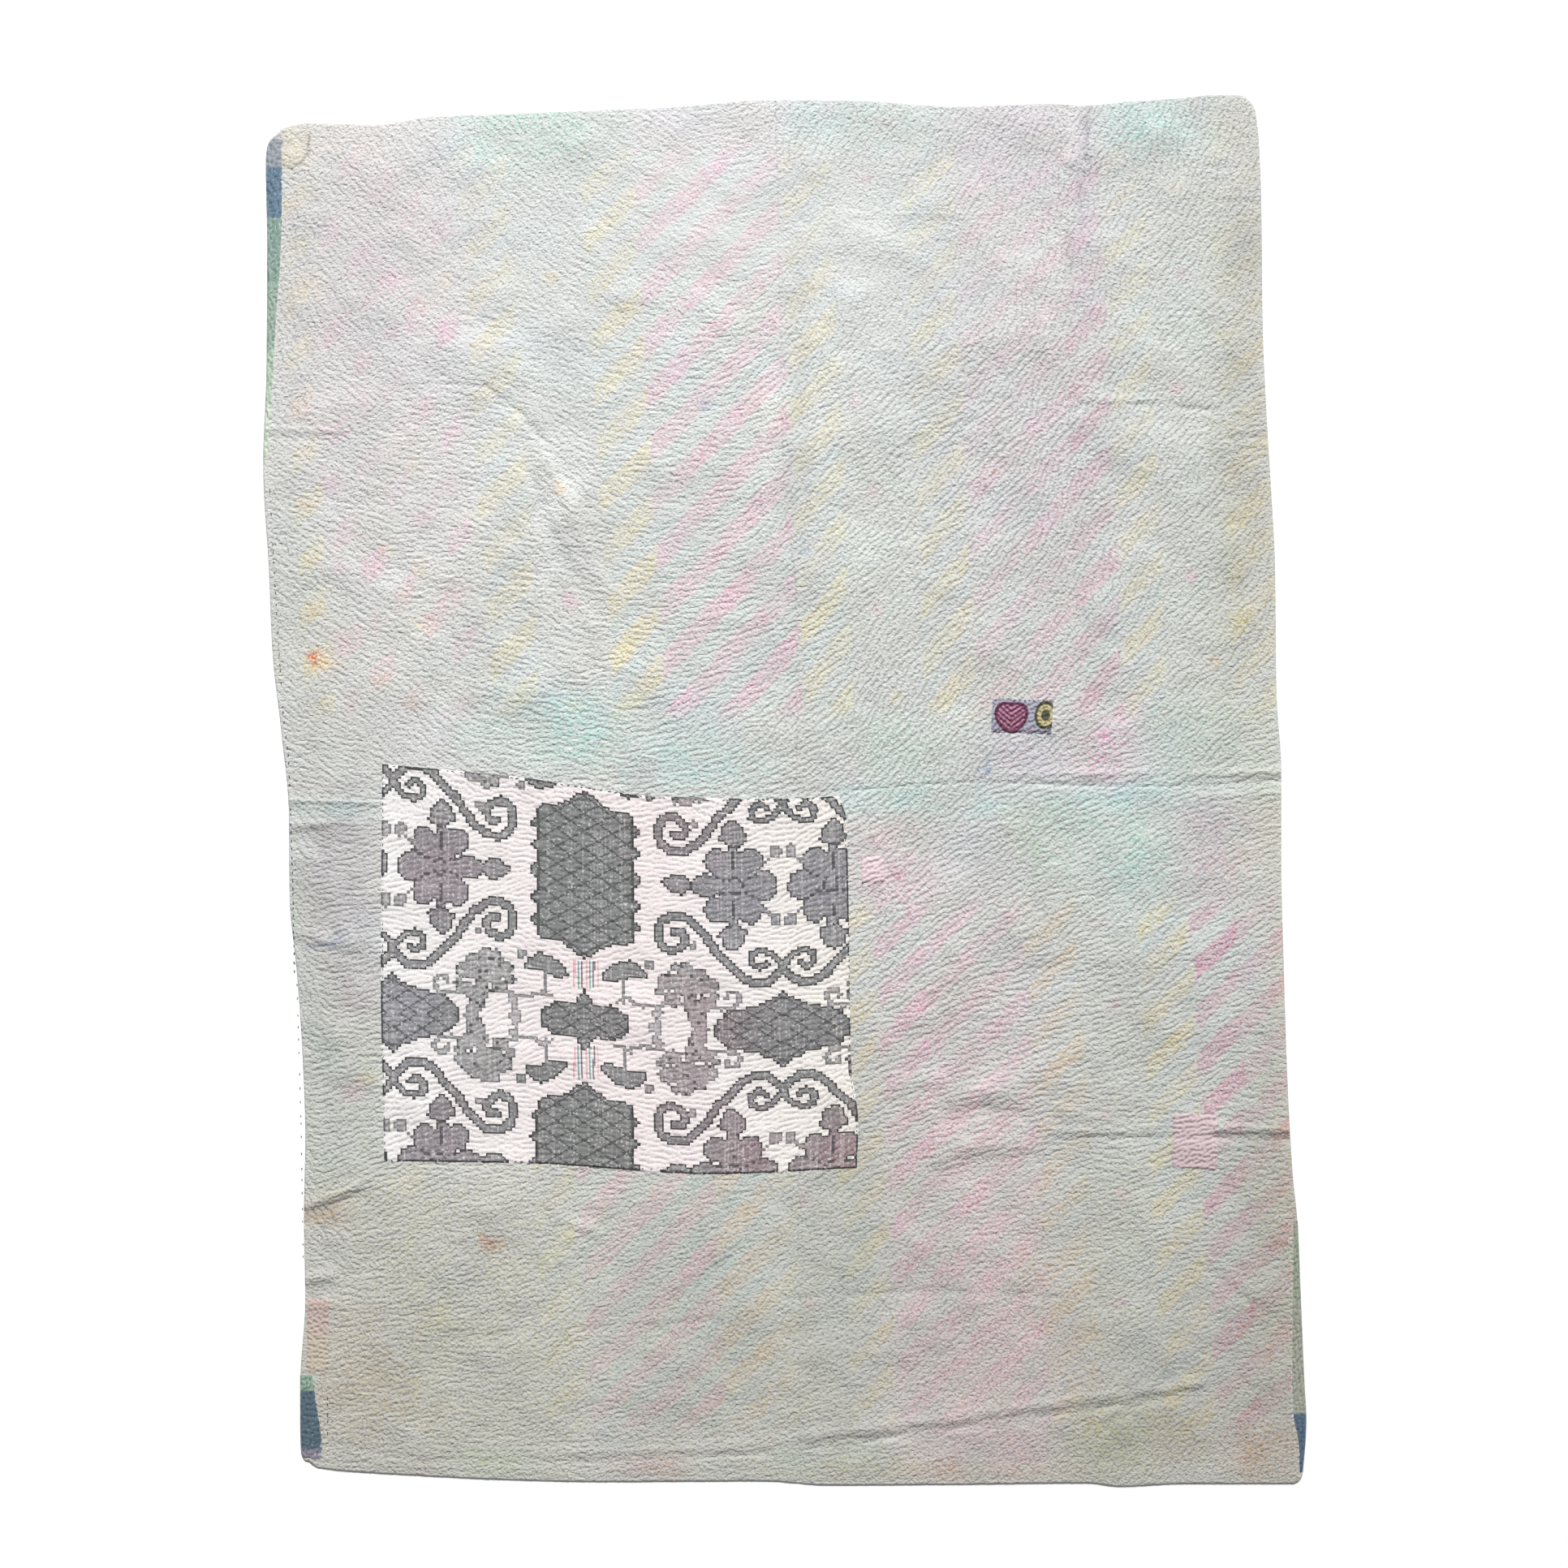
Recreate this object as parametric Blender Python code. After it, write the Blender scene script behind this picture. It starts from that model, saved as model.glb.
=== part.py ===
"""A kantha quilt, laid out flat on a surface.

The quilt is one solid: several worn cloths laid on each other and sewn through.
Its outline, its two seams and its soft folds come from the short tables below,
and its quilting is raised in the points of the upper face, as rows of puckers.
The sewn-on patches, and the edges of the back cloth that show on the front, are
thin sheets that lie on it.

Metres, +Z up, +Y towards the top of the quilt, the origin under its middle.
"""

import math
import random
from collections import namedtuple

import bmesh
import bpy

# Driving sizes
LAYERS_THICK = 0.0040
HEM_THICK = 0.0030
HEM_WIDTH = 0.020
SHEET_THICK = 0.0010
SEAT_GAP = 0.0003

# The grid of the quilt's upper face, on each side of the centre seam and of the cross fold
COLUMNS_PER_SIDE = 16
ROWS_PER_HALF = 74
UNDERSIDE_COLUMN_STEP = 2
UNDERSIDE_ROW_STEP = 4

# Puckers between the sewing rows: every second row of the grid is a ridge
PUCKER_HEIGHT = 0.0010
PUCKER_UNEVEN = 0.6
PUCKER_RISE = 0.030
SEAM_DEPTH = 0.0010
SEED = 7

# Steps that settle where two of the curves below meet
MEETING_STEPS = 6

# The underside lifts off the surface below a swelling higher than this
LIFT_FROM = 0.0010

# The body stays flat under a sheet, and this far past it
FLAT_PAST_X = 0.056
FLAT_PAST_Y = 0.024
FLAT_FADE = 0.060

# Sheets: cells about this large, and the height of their own puckers
SHEET_CELL_X = 0.043
SHEET_CELL_Y = 0.0137
SHEET_PUCKER = 0.00035
STRIP_INSET = 0.0010

EdgePoint = namedtuple("EdgePoint", "along across")

# Side edges and centre seam: along is y, across is x
LEFT_EDGE = (
    EdgePoint(-0.982, -0.696),
    EdgePoint(-0.975, -0.702),
    EdgePoint(-0.916, -0.704),
    EdgePoint(-0.857, -0.704),
    EdgePoint(-0.739, -0.697),
    EdgePoint(-0.621, -0.699),
    EdgePoint(-0.503, -0.697),
    EdgePoint(-0.385, -0.701),
    EdgePoint(-0.267, -0.709),
    EdgePoint(-0.149, -0.720),
    EdgePoint(-0.031, -0.721),
    EdgePoint(0.087, -0.732),
    EdgePoint(0.205, -0.745),
    EdgePoint(0.323, -0.750),
    EdgePoint(0.471, -0.758),
    EdgePoint(0.618, -0.753),
    EdgePoint(0.795, -0.752),
    EdgePoint(0.913, -0.754),
    EdgePoint(0.961, -0.748),
)
RIGHT_EDGE = (
    EdgePoint(-1.005, 0.752),
    EdgePoint(-0.916, 0.758),
    EdgePoint(-0.857, 0.755),
    EdgePoint(-0.739, 0.750),
    EdgePoint(-0.621, 0.745),
    EdgePoint(-0.562, 0.739),
    EdgePoint(-0.444, 0.732),
    EdgePoint(-0.267, 0.726),
    EdgePoint(-0.090, 0.722),
    EdgePoint(0.028, 0.722),
    EdgePoint(0.146, 0.715),
    EdgePoint(0.323, 0.713),
    EdgePoint(0.441, 0.707),
    EdgePoint(0.559, 0.700),
    EdgePoint(0.677, 0.695),
    EdgePoint(0.854, 0.693),
    EdgePoint(0.949, 0.689),
    EdgePoint(1.010, 0.681),
)
CENTRE_SEAM = (
    EdgePoint(-1.008, 0.020),
    EdgePoint(-0.031, 0.017),
    EdgePoint(0.276, 0.015),
    EdgePoint(0.418, -0.001),
    EdgePoint(0.630, -0.007),
    EdgePoint(1.004, -0.014),
)

# Top edge, cross fold and bottom edge: along is x, across is y
TOP_EDGE = (
    EdgePoint(-0.742, 0.963),
    EdgePoint(-0.693, 0.971),
    EdgePoint(-0.598, 0.969),
    EdgePoint(-0.504, 0.981),
    EdgePoint(-0.362, 0.986),
    EdgePoint(-0.173, 0.994),
    EdgePoint(-0.008, 1.005),
    EdgePoint(0.110, 1.003),
    EdgePoint(0.251, 0.995),
    EdgePoint(0.393, 0.999),
    EdgePoint(0.431, 0.996),
    EdgePoint(0.487, 1.001),
    EdgePoint(0.582, 1.008),
    EdgePoint(0.629, 1.012),
    EdgePoint(0.683, 1.011),
)
CROSS_FOLD = (
    EdgePoint(-0.734, -0.013),
    EdgePoint(-0.586, -0.026),
    EdgePoint(0.086, -0.001),
    EdgePoint(0.263, 0.011),
    EdgePoint(0.511, 0.005),
    EdgePoint(0.723, 0.013),
)
BOTTOM_EDGE = (
    EdgePoint(-0.697, -0.982),
    EdgePoint(-0.645, -0.989),
    EdgePoint(-0.551, -0.995),
    EdgePoint(-0.409, -1.002),
    EdgePoint(-0.268, -1.005),
    EdgePoint(-0.032, -1.004),
    EdgePoint(0.063, -1.010),
    EdgePoint(0.251, -1.009),
    EdgePoint(0.440, -1.007),
    EdgePoint(0.487, -1.012),
    EdgePoint(0.582, -1.008),
    EdgePoint(0.754, -1.008),
)

# How far each corner is drawn in from the point where its two edges meet
Corner = namedtuple("Corner", "right top draw_in")
CORNERS = (
    Corner(False, False, 0.006),
    Corner(True, False, 0.004),
    Corner(False, True, 0.009),
    Corner(True, True, 0.007),
)

# Soft swellings of the lying cloth: centre, reach each way, turn of the long way, and height
Swelling = namedtuple("Swelling", "x y long wide turn height")
SWELLINGS = (
    Swelling(-0.335, 0.470, 0.115, 0.075, 60.0, 0.0065),
    Swelling(-0.440, 0.640, 0.120, 0.070, -35.0, 0.0025),
    Swelling(-0.735, 0.480, 0.110, 0.045, 88.0, 0.0030),
    Swelling(0.445, 0.900, 0.130, 0.050, 82.0, 0.0040),
    Swelling(0.560, 0.500, 0.110, 0.060, 5.0, 0.0030),
    Swelling(0.520, -0.310, 0.140, 0.080, 20.0, 0.0022),
    Swelling(-0.120, -0.830, 0.180, 0.070, 8.0, 0.0026),
    Swelling(0.700, -0.500, 0.080, 0.060, 0.0, 0.0028),
)

# Creases: a line from one point to another, how wide it spreads, and its rise or drop
Crease = namedtuple("Crease", "x0 y0 x1 y1 spread rise")
CREASES = (
    Crease(-0.433, 0.583, -0.315, 0.394, 0.022, -0.0018),
    Crease(0.428, 0.998, 0.445, 0.640, 0.020, 0.0020),
    Crease(0.540, 0.557, 0.611, 0.556, 0.016, -0.0018),
    Crease(-0.512, -0.984, -0.152, -0.969, 0.016, -0.0012),
    Crease(-0.152, -0.969, 0.100, -0.947, 0.016, -0.0013),
    Crease(0.100, -0.947, 0.594, -0.878, 0.016, -0.0013),
    Crease(-0.664, 0.584, -0.667, 0.087, 0.018, 0.0008),
    Crease(0.000, 0.837, 0.534, 0.837, 0.018, 0.0008),
)

# The large patch: its four edges, along and across as above
LARGE_TOP = (
    EdgePoint(-0.585, 0.038),
    EdgePoint(-0.392, 0.020),
    EdgePoint(-0.197, -0.008),
    EdgePoint(0.004, -0.013),
    EdgePoint(0.079, -0.008),
)
LARGE_BOTTOM = (
    EdgePoint(-0.582, -0.539),
    EdgePoint(-0.378, -0.542),
    EdgePoint(-0.105, -0.558),
    EdgePoint(0.105, -0.549),
)
LARGE_LEFT = (
    EdgePoint(-0.539, -0.582),
    EdgePoint(-0.250, -0.587),
    EdgePoint(0.038, -0.585),
)
LARGE_RIGHT = (
    EdgePoint(-0.549, 0.105),
    EdgePoint(-0.484, 0.107),
    EdgePoint(-0.402, 0.097),
    EdgePoint(-0.045, 0.090),
    EdgePoint(-0.008, 0.079),
)

# The small patches are four-sided: left, right, bottom, top
SmallPatch = namedtuple("SmallPatch", "name left right bottom top skew colour")
SMALL_PATCHES = (
    SmallPatch("print_patch_small", 0.301, 0.389, 0.083, 0.132, 0.003, (0.42, 0.34, 0.40)),
    SmallPatch("pink_patch_middle", 0.111, 0.144, -0.134, -0.096, -0.002, (0.80, 0.60, 0.64)),
    SmallPatch("pink_patch_right", 0.564, 0.629, -0.550, -0.470, 0.003, (0.68, 0.50, 0.53)),
    SmallPatch("cream_patch_left", -0.694, -0.663, -0.845, -0.739, 0.002, (0.66, 0.52, 0.44)),
)

# Edges of the back cloth on the front: one row for each place along the edge
StripPoint = namedtuple("StripPoint", "y width")
Strip = namedtuple("Strip", "name edge side rows colour")
STRIPS = (
    Strip("back_edge_left_upper", LEFT_EDGE, 1.0, (
        StripPoint(0.480, 0.008),
        StripPoint(0.560, 0.009),
        StripPoint(0.677, 0.013),
        StripPoint(0.780, 0.020),
        StripPoint(0.913, 0.024),
        StripPoint(0.950, 0.018),
    ), (0.22, 0.36, 0.40)),
    Strip("back_edge_left_lower", LEFT_EDGE, 1.0, (
        StripPoint(-0.972, 0.030),
        StripPoint(-0.950, 0.031),
        StripPoint(-0.880, 0.022),
        StripPoint(-0.850, 0.018),
    ), (0.16, 0.26, 0.34)),
    Strip("back_edge_right_lower", RIGHT_EDGE, -1.0, (
        StripPoint(-0.992, 0.005),
        StripPoint(-0.950, 0.010),
        StripPoint(-0.905, 0.019),
        StripPoint(-0.780, 0.014),
        StripPoint(-0.625, 0.006),
    ), (0.24, 0.34, 0.30)),
)

BODY_COLOUR = (0.68, 0.68, 0.64)
LARGE_COLOUR = (0.42, 0.40, 0.41)
CLOTH_ROUGHNESS = 0.9

# A patch's flat bed on the quilt: its sides, which may reach past the patch
Bed = namedtuple("Bed", "left right bottom top")


def clear_scene():
    """Removes what the scene holds."""
    for item in list(bpy.data.objects):
        bpy.data.objects.remove(item, do_unlink=True)


def cloth_material(name, colour):
    """A plain matt cloth material of one colour."""
    material = bpy.data.materials.new(name + "_cloth")
    material.use_nodes = True
    shader = material.node_tree.nodes["Principled BSDF"]
    shader.inputs["Base Color"].default_value = (*colour, 1.0)
    shader.inputs["Roughness"].default_value = CLOTH_ROUGHNESS
    shader.inputs["Metallic"].default_value = 0.0
    return material


def mix(low, high, share):
    """The value at a share of the way from low to high."""
    return low + (high - low) * share


def smoothstep(low, high, value):
    """0 below low, 1 above high, and a soft step between them."""
    share = min(max((value - low) / (high - low), 0.0), 1.0)
    return share * share * (3.0 - 2.0 * share)


def slope_at(rows, index):
    """The slope of the curve at a row, level where the table turns round."""
    if index in (0, len(rows) - 1):
        first = rows[max(index - 1, 0)]
        last = rows[min(index + 1, len(rows) - 1)]
        return (last.across - first.across) / (last.along - first.along)
    before = rows[index - 1]
    here = rows[index]
    after = rows[index + 1]
    fall_in = (here.across - before.across) / (here.along - before.along)
    fall_out = (after.across - here.across) / (after.along - here.along)
    if fall_in * fall_out <= 0.0:
        return 0.0
    return 2.0 * fall_in * fall_out / (fall_in + fall_out)


def edge_at(rows, along):
    """The smooth curve through a table's rows, which never swings past them."""
    along = min(max(along, rows[0].along), rows[-1].along)
    index = 0
    while index < len(rows) - 2 and rows[index + 1].along < along:
        index += 1
    start = rows[index]
    end = rows[index + 1]
    span = end.along - start.along
    share = (along - start.along) / span
    lift = share * share * (3.0 - 2.0 * share)
    leave = share * (1.0 - share) ** 2 * span * slope_at(rows, index)
    arrive = -share * share * (1.0 - share) * span * slope_at(rows, index + 1)
    return mix(start.across, end.across, lift) + leave + arrive


def meeting_point(low, high, left, right, across, up):
    """The point at the given shares between two rows and between two columns of curves."""
    x = mix(left[0].across, right[0].across, across)
    y = 0.0
    for _ in range(MEETING_STEPS):
        y = mix(edge_at(low, x), edge_at(high, x), up)
        x = mix(edge_at(left, y), edge_at(right, y), across)
    return x, y


def swell_at(x, y):
    """The height of the soft swellings."""
    total = 0.0
    for swelling in SWELLINGS:
        turn = math.radians(swelling.turn)
        dx = x - swelling.x
        dy = y - swelling.y
        far = (dx * math.cos(turn) + dy * math.sin(turn)) / swelling.long
        wide = (dy * math.cos(turn) - dx * math.sin(turn)) / swelling.wide
        total += swelling.height * math.exp(-far * far - wide * wide)
    return total


def crease_at(x, y):
    """The rise or drop of the creases."""
    total = 0.0
    for crease in CREASES:
        run_x = crease.x1 - crease.x0
        run_y = crease.y1 - crease.y0
        share = ((x - crease.x0) * run_x + (y - crease.y0) * run_y) / (run_x ** 2 + run_y ** 2)
        share = min(max(share, 0.0), 1.0)
        off = math.hypot(x - crease.x0 - share * run_x, y - crease.y0 - share * run_y)
        total += crease.rise * math.exp(-((off / crease.spread) ** 2))
    return total


def hem_drop(x, y):
    """How much thinner the quilt is at its stitched hem."""
    inside = min(
        x - edge_at(LEFT_EDGE, y),
        edge_at(RIGHT_EDGE, y) - x,
        edge_at(TOP_EDGE, x) - y,
        y - edge_at(BOTTOM_EDGE, x),
    )
    return (LAYERS_THICK - HEM_THICK) * (1.0 - smoothstep(0.0, HEM_WIDTH, inside))


def bed_share(beds, x, y):
    """1 on the flat bed of a patch, 0 away from it."""
    most = 0.0
    for bed in beds:
        off_x = max(bed.left - FLAT_PAST_X - x, x - bed.right - FLAT_PAST_X, 0.0)
        off_y = max(bed.bottom - FLAT_PAST_Y - y, y - bed.top - FLAT_PAST_Y, 0.0)
        most = max(most, 1.0 - smoothstep(0.0, FLAT_FADE, math.hypot(off_x, off_y)))
    return most


def strip_bed(strip):
    """The sides of the flat bed under an edge strip."""
    places = [(edge_at(strip.edge, row.y), row) for row in strip.rows]
    inner = [edge + strip.side * row.width for edge, row in places]
    outer = [edge for edge, row in places]
    return Bed(min(inner + outer), max(inner + outer), strip.rows[0].y, strip.rows[-1].y)


def all_beds():
    """The flat beds of all patches and strips."""
    beds = [Bed(LARGE_LEFT[1].across, LARGE_RIGHT[1].across, LARGE_BOTTOM[2].across, LARGE_TOP[0].across)]
    beds += [Bed(patch.left, patch.right, patch.bottom, patch.top) for patch in SMALL_PATCHES]
    beds += [strip_bed(strip) for strip in STRIPS]
    return beds


def add_object(name, mesh_builder, colour):
    """Makes an object of a finished bmesh, with its faces pointing out."""
    bmesh.ops.recalc_face_normals(mesh_builder, faces=mesh_builder.faces)
    mesh = bpy.data.meshes.new(name)
    mesh_builder.to_mesh(mesh)
    mesh_builder.free()
    item = bpy.data.objects.new(name, mesh)
    bpy.context.scene.collection.objects.link(item)
    mesh.materials.append(cloth_material(name, colour))
    return item


def quilt_plan():
    """The places of the upper face's grid, row by row, with the rounded corners."""
    last_column = 2 * COLUMNS_PER_SIDE
    last_row = 2 * ROWS_PER_HALF
    plan = []
    for row in range(last_row + 1):
        upper = row > ROWS_PER_HALF
        low, high = (CROSS_FOLD, TOP_EDGE) if upper else (BOTTOM_EDGE, CROSS_FOLD)
        up = (row - (ROWS_PER_HALF if upper else 0)) / ROWS_PER_HALF
        line = []
        for column in range(last_column + 1):
            right_side = column > COLUMNS_PER_SIDE
            left, right = (CENTRE_SEAM, RIGHT_EDGE) if right_side else (LEFT_EDGE, CENTRE_SEAM)
            across = (column - (COLUMNS_PER_SIDE if right_side else 0)) / COLUMNS_PER_SIDE
            x, y = meeting_point(low, high, left, right, across, up)
            from_seam = (column - COLUMNS_PER_SIDE) / COLUMNS_PER_SIDE
            y += PUCKER_RISE * (abs(from_seam) - 0.5) * math.sin(math.pi * up)
            line.append(round_in(x, y, column, row, last_column, last_row))
        plan.append(line)
    return plan


def round_in(x, y, column, row, last_column, last_row):
    """A corner of the grid drawn in, and any other point as it is."""
    if column not in (0, last_column) or row not in (0, last_row):
        return x, y
    for corner in CORNERS:
        if corner.right == (column == last_column) and corner.top == (row == last_row):
            x += -corner.draw_in if corner.right else corner.draw_in
            y += -corner.draw_in if corner.top else corner.draw_in
    return x, y


def upper_height(x, y, column, row, uneven, beds):
    """The height of the quilt's upper face at a point of the grid."""
    pucker = PUCKER_HEIGHT * (1.0 if row % 2 else -1.0)
    pucker *= 1.0 - PUCKER_UNEVEN * uneven
    on_seam = column == COLUMNS_PER_SIDE or row == ROWS_PER_HALF
    seam = -SEAM_DEPTH if on_seam else 0.0
    free = LAYERS_THICK + swell_at(x, y) + crease_at(x, y) + pucker + seam - hem_drop(x, y)
    return mix(free, LAYERS_THICK, bed_share(beds, x, y))


def under_height(x, y, beds):
    """The height of the underside, which lies flat except below a swelling."""
    lift = max(swell_at(x, y) - LIFT_FROM, 0.0)
    return lift * (1.0 - bed_share(beds, x, y))


def rim_keys(last_column, last_row):
    """The grid's rim, once round."""
    keys = [(column, 0) for column in range(last_column)]
    keys += [(last_column, row) for row in range(last_row)]
    keys += [(column, last_row) for column in range(last_column, 0, -1)]
    keys += [(0, row) for row in range(last_row, 0, -1)]
    return keys


def coarse_cell(column, row, last_column, last_row):
    """The corners of one large cell of the underside, with every rim point on its sides."""
    right = column + UNDERSIDE_COLUMN_STEP
    top = row + UNDERSIDE_ROW_STEP
    keys = []
    if row == 0:
        keys += [(place, row) for place in range(column, right)]
    else:
        keys.append((column, row))
    if right == last_column:
        keys += [(right, place) for place in range(row, top)]
    else:
        keys.append((right, row))
    if top == last_row:
        keys += [(place, top) for place in range(right, column, -1)]
    else:
        keys.append((right, top))
    if column == 0:
        keys += [(column, place) for place in range(top, row, -1)]
    else:
        keys.append((column, top))
    return keys


def build_quilt_body(beds):
    """The quilted layers as one closed solid."""
    random_source = random.Random(SEED)
    plan = quilt_plan()
    last_row = len(plan) - 1
    last_column = len(plan[0]) - 1
    builder = bmesh.new()
    upper = {}
    for row, line in enumerate(plan):
        for column, (x, y) in enumerate(line):
            z = upper_height(x, y, column, row, random_source.random(), beds)
            upper[(column, row)] = builder.verts.new((x, y, z))
    for row in range(last_row):
        for column in range(last_column):
            corners = ((column, row), (column + 1, row), (column + 1, row + 1), (column, row + 1))
            builder.faces.new([upper[key] for key in corners])

    under = {}
    cells = []
    for row in range(0, last_row, UNDERSIDE_ROW_STEP):
        for column in range(0, last_column, UNDERSIDE_COLUMN_STEP):
            cells.append(coarse_cell(column, row, last_column, last_row))
    rim = rim_keys(last_column, last_row)
    on_rim = set(rim)
    for cell in cells:
        for key in cell:
            if key not in under:
                x, y, _ = upper[key].co
                z = 0.0 if key in on_rim else under_height(x, y, beds)
                under[key] = builder.verts.new((x, y, z))
        builder.faces.new([under[key] for key in reversed(cell)])
    for here, after in zip(rim, rim[1:] + rim[:1]):
        builder.faces.new((under[here], under[after], upper[after], upper[here]))
    return add_object("quilt_body", builder, BODY_COLOUR)


def build_sheet(name, place_at, width, length, colour):
    """A thin sewn-on sheet with a flat underside and puckered upper face.

    place_at gives the place at a share across and a share up.
    """
    columns = max(1, round(width / SHEET_CELL_X))
    rows = max(2, round(length / SHEET_CELL_Y))
    random_source = random.Random(name)
    low = LAYERS_THICK + SEAT_GAP
    builder = bmesh.new()
    upper = {}
    for row in range(rows + 1):
        for column in range(columns + 1):
            x, y = place_at(column / columns, row / rows)
            pucker = SHEET_PUCKER * (1.0 if row % 2 else -1.0)
            pucker *= 1.0 - PUCKER_UNEVEN * random_source.random()
            upper[(column, row)] = builder.verts.new((x, y, low + SHEET_THICK + pucker))
    for row in range(rows):
        for column in range(columns):
            corners = ((column, row), (column + 1, row), (column + 1, row + 1), (column, row + 1))
            builder.faces.new([upper[key] for key in corners])
    rim = rim_keys(columns, rows)
    under = {key: builder.verts.new((upper[key].co.x, upper[key].co.y, low)) for key in rim}
    builder.faces.new([under[key] for key in reversed(rim)])
    for here, after in zip(rim, rim[1:] + rim[:1]):
        builder.faces.new((under[here], under[after], upper[after], upper[here]))
    return add_object(name, builder, colour)


def build_large_patch():
    """The large printed patch, with its slanting top edge and uneven sides."""
    width = LARGE_RIGHT[0].across - LARGE_LEFT[0].across
    length = LARGE_TOP[0].across - LARGE_BOTTOM[0].across

    def place_at(across, up):
        return meeting_point(LARGE_BOTTOM, LARGE_TOP, LARGE_LEFT, LARGE_RIGHT, across, up)

    return build_sheet("print_patch_large", place_at, width, length, LARGE_COLOUR)


def build_small_patch(patch):
    """A small four-sided patch, a little out of square."""

    def place_at(across, up):
        x = mix(patch.left, patch.right, across) + patch.skew * (up - 0.5)
        y = mix(patch.bottom, patch.top, up) - patch.skew * (across - 0.5)
        return x, y

    width = patch.right - patch.left
    return build_sheet(patch.name, place_at, width, patch.top - patch.bottom, patch.colour)


def build_strip(strip):
    """An edge of the back cloth, lying on the front along the quilt's edge."""
    bottom = strip.rows[0].y
    top = strip.rows[-1].y
    widths = tuple(EdgePoint(row.y, row.width) for row in strip.rows)

    def place_at(across, up):
        y = mix(bottom, top, up)
        outer = edge_at(strip.edge, y) + strip.side * STRIP_INSET
        inner = edge_at(strip.edge, y) + strip.side * edge_at(widths, y)
        left, right = sorted((outer, inner))
        return mix(left, right, across), y

    return build_sheet(strip.name, place_at, SHEET_CELL_X, top - bottom, strip.colour)


def main():
    """Builds the quilt and what is sewn on it."""
    clear_scene()
    build_quilt_body(all_beds())
    build_large_patch()
    for patch in SMALL_PATCHES:
        build_small_patch(patch)
    for strip in STRIPS:
        build_strip(strip)


main()
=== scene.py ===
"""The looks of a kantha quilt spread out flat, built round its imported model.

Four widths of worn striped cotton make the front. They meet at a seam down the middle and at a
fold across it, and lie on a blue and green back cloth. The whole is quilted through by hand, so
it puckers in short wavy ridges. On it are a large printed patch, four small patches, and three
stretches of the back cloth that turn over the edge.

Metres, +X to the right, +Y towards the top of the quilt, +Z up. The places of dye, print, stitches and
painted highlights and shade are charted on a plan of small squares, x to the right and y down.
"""

from __future__ import annotations

import logging
import math
from dataclasses import dataclass, field
from enum import Enum

import bpy
import numpy as np
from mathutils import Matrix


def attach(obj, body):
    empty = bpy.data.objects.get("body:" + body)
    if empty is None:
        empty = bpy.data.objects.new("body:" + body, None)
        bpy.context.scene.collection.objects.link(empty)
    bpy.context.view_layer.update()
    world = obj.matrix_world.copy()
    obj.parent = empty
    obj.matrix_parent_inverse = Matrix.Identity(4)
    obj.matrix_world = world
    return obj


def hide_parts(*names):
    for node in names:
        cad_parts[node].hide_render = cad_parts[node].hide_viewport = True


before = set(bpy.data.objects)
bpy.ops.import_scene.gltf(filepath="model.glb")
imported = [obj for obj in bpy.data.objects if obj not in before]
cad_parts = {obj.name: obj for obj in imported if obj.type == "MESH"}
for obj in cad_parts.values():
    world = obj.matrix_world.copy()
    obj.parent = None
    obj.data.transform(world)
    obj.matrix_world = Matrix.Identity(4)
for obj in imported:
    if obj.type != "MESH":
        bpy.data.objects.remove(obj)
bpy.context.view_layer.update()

LOG = logging.getLogger("quilt")
BODY = "root"

Array = np.ndarray
Colour = tuple[float, float, float]

# The plan: the side of one square, and the square that lies on the quilt's origin
PLAN_SQUARE = 0.00118
PLAN_X = 967.0
PLAN_Y = 974.0

# Layers of the quilt
LAYERS_THICK = 0.0040
LAYERS_LOW = 0.0030
LAYERS_SOFT = 0.0003
BACK_SLACK = 0.0020
HEM_THICK = 0.0030
HEM_WIDTH = 0.020
RIM_LOW = 0.0003
RIM_ROUND = 0.0022
SHEET_LIFT = 0.0009
PUCKER_HEIGHT = 0.0016
SEAM_DEPTH = 0.0011
SEAM_REACH = 0.0026


def to_plan(x: Array, y: Array) -> tuple[Array, Array]:
    """The plan squares under places in metres.

    Args:
        x: Places across, in metres.
        y: Places up, in metres.

    Returns:
        The places on the plan, across and down.
    """
    return x / PLAN_SQUARE + PLAN_X, PLAN_Y - y / PLAN_SQUARE


def from_plan(across: Array, down: Array) -> tuple[Array, Array]:
    """The places in metres of squares on the plan.

    Args:
        across: Squares across.
        down: Squares down.

    Returns:
        The places in metres, across and up.
    """
    return (across - PLAN_X) * PLAN_SQUARE, (PLAN_Y - down) * PLAN_SQUARE


def smoothstep(low: float, high: float, value: Array) -> Array:
    """A soft step from 0 at low to 1 at high.

    Args:
        low: Where the step starts.
        high: Where it ends; it may be the smaller of the two.
        value: What is stepped.

    Returns:
        The step, from 0 to 1.
    """
    share = np.clip((value - low) / (high - low), 0.0, 1.0)
    return share * share * (3.0 - 2.0 * share)


def mix(low: Array, high: Array, share: Array) -> Array:
    """The value at a share of the way from low to high."""
    return low + (high - low) * share


def linear(tone: Array) -> Array:
    """Linear light from display tones of 0 to 1."""
    tone = np.clip(tone, 0.0, 1.0)
    return np.where(tone <= 0.04045, tone / 12.92, ((tone + 0.055) / 1.055) ** 2.4)


def off_line(x: Array, y: Array, start: tuple[float, float], end: tuple[float, float]) -> Array:
    """How far places lie from a straight line between two points.

    Args:
        x: Places across.
        y: Places along.
        start: The line's first end.
        end: The line's other end.

    Returns:
        The distances.
    """
    run_x, run_y = end[0] - start[0], end[1] - start[1]
    length = max(run_x * run_x + run_y * run_y, 1e-12)
    share = np.clip(((x - start[0]) * run_x + (y - start[1]) * run_y) / length, 0.0, 1.0)
    return np.hypot(x - start[0] - share * run_x, y - start[1] - share * run_y)


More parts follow.
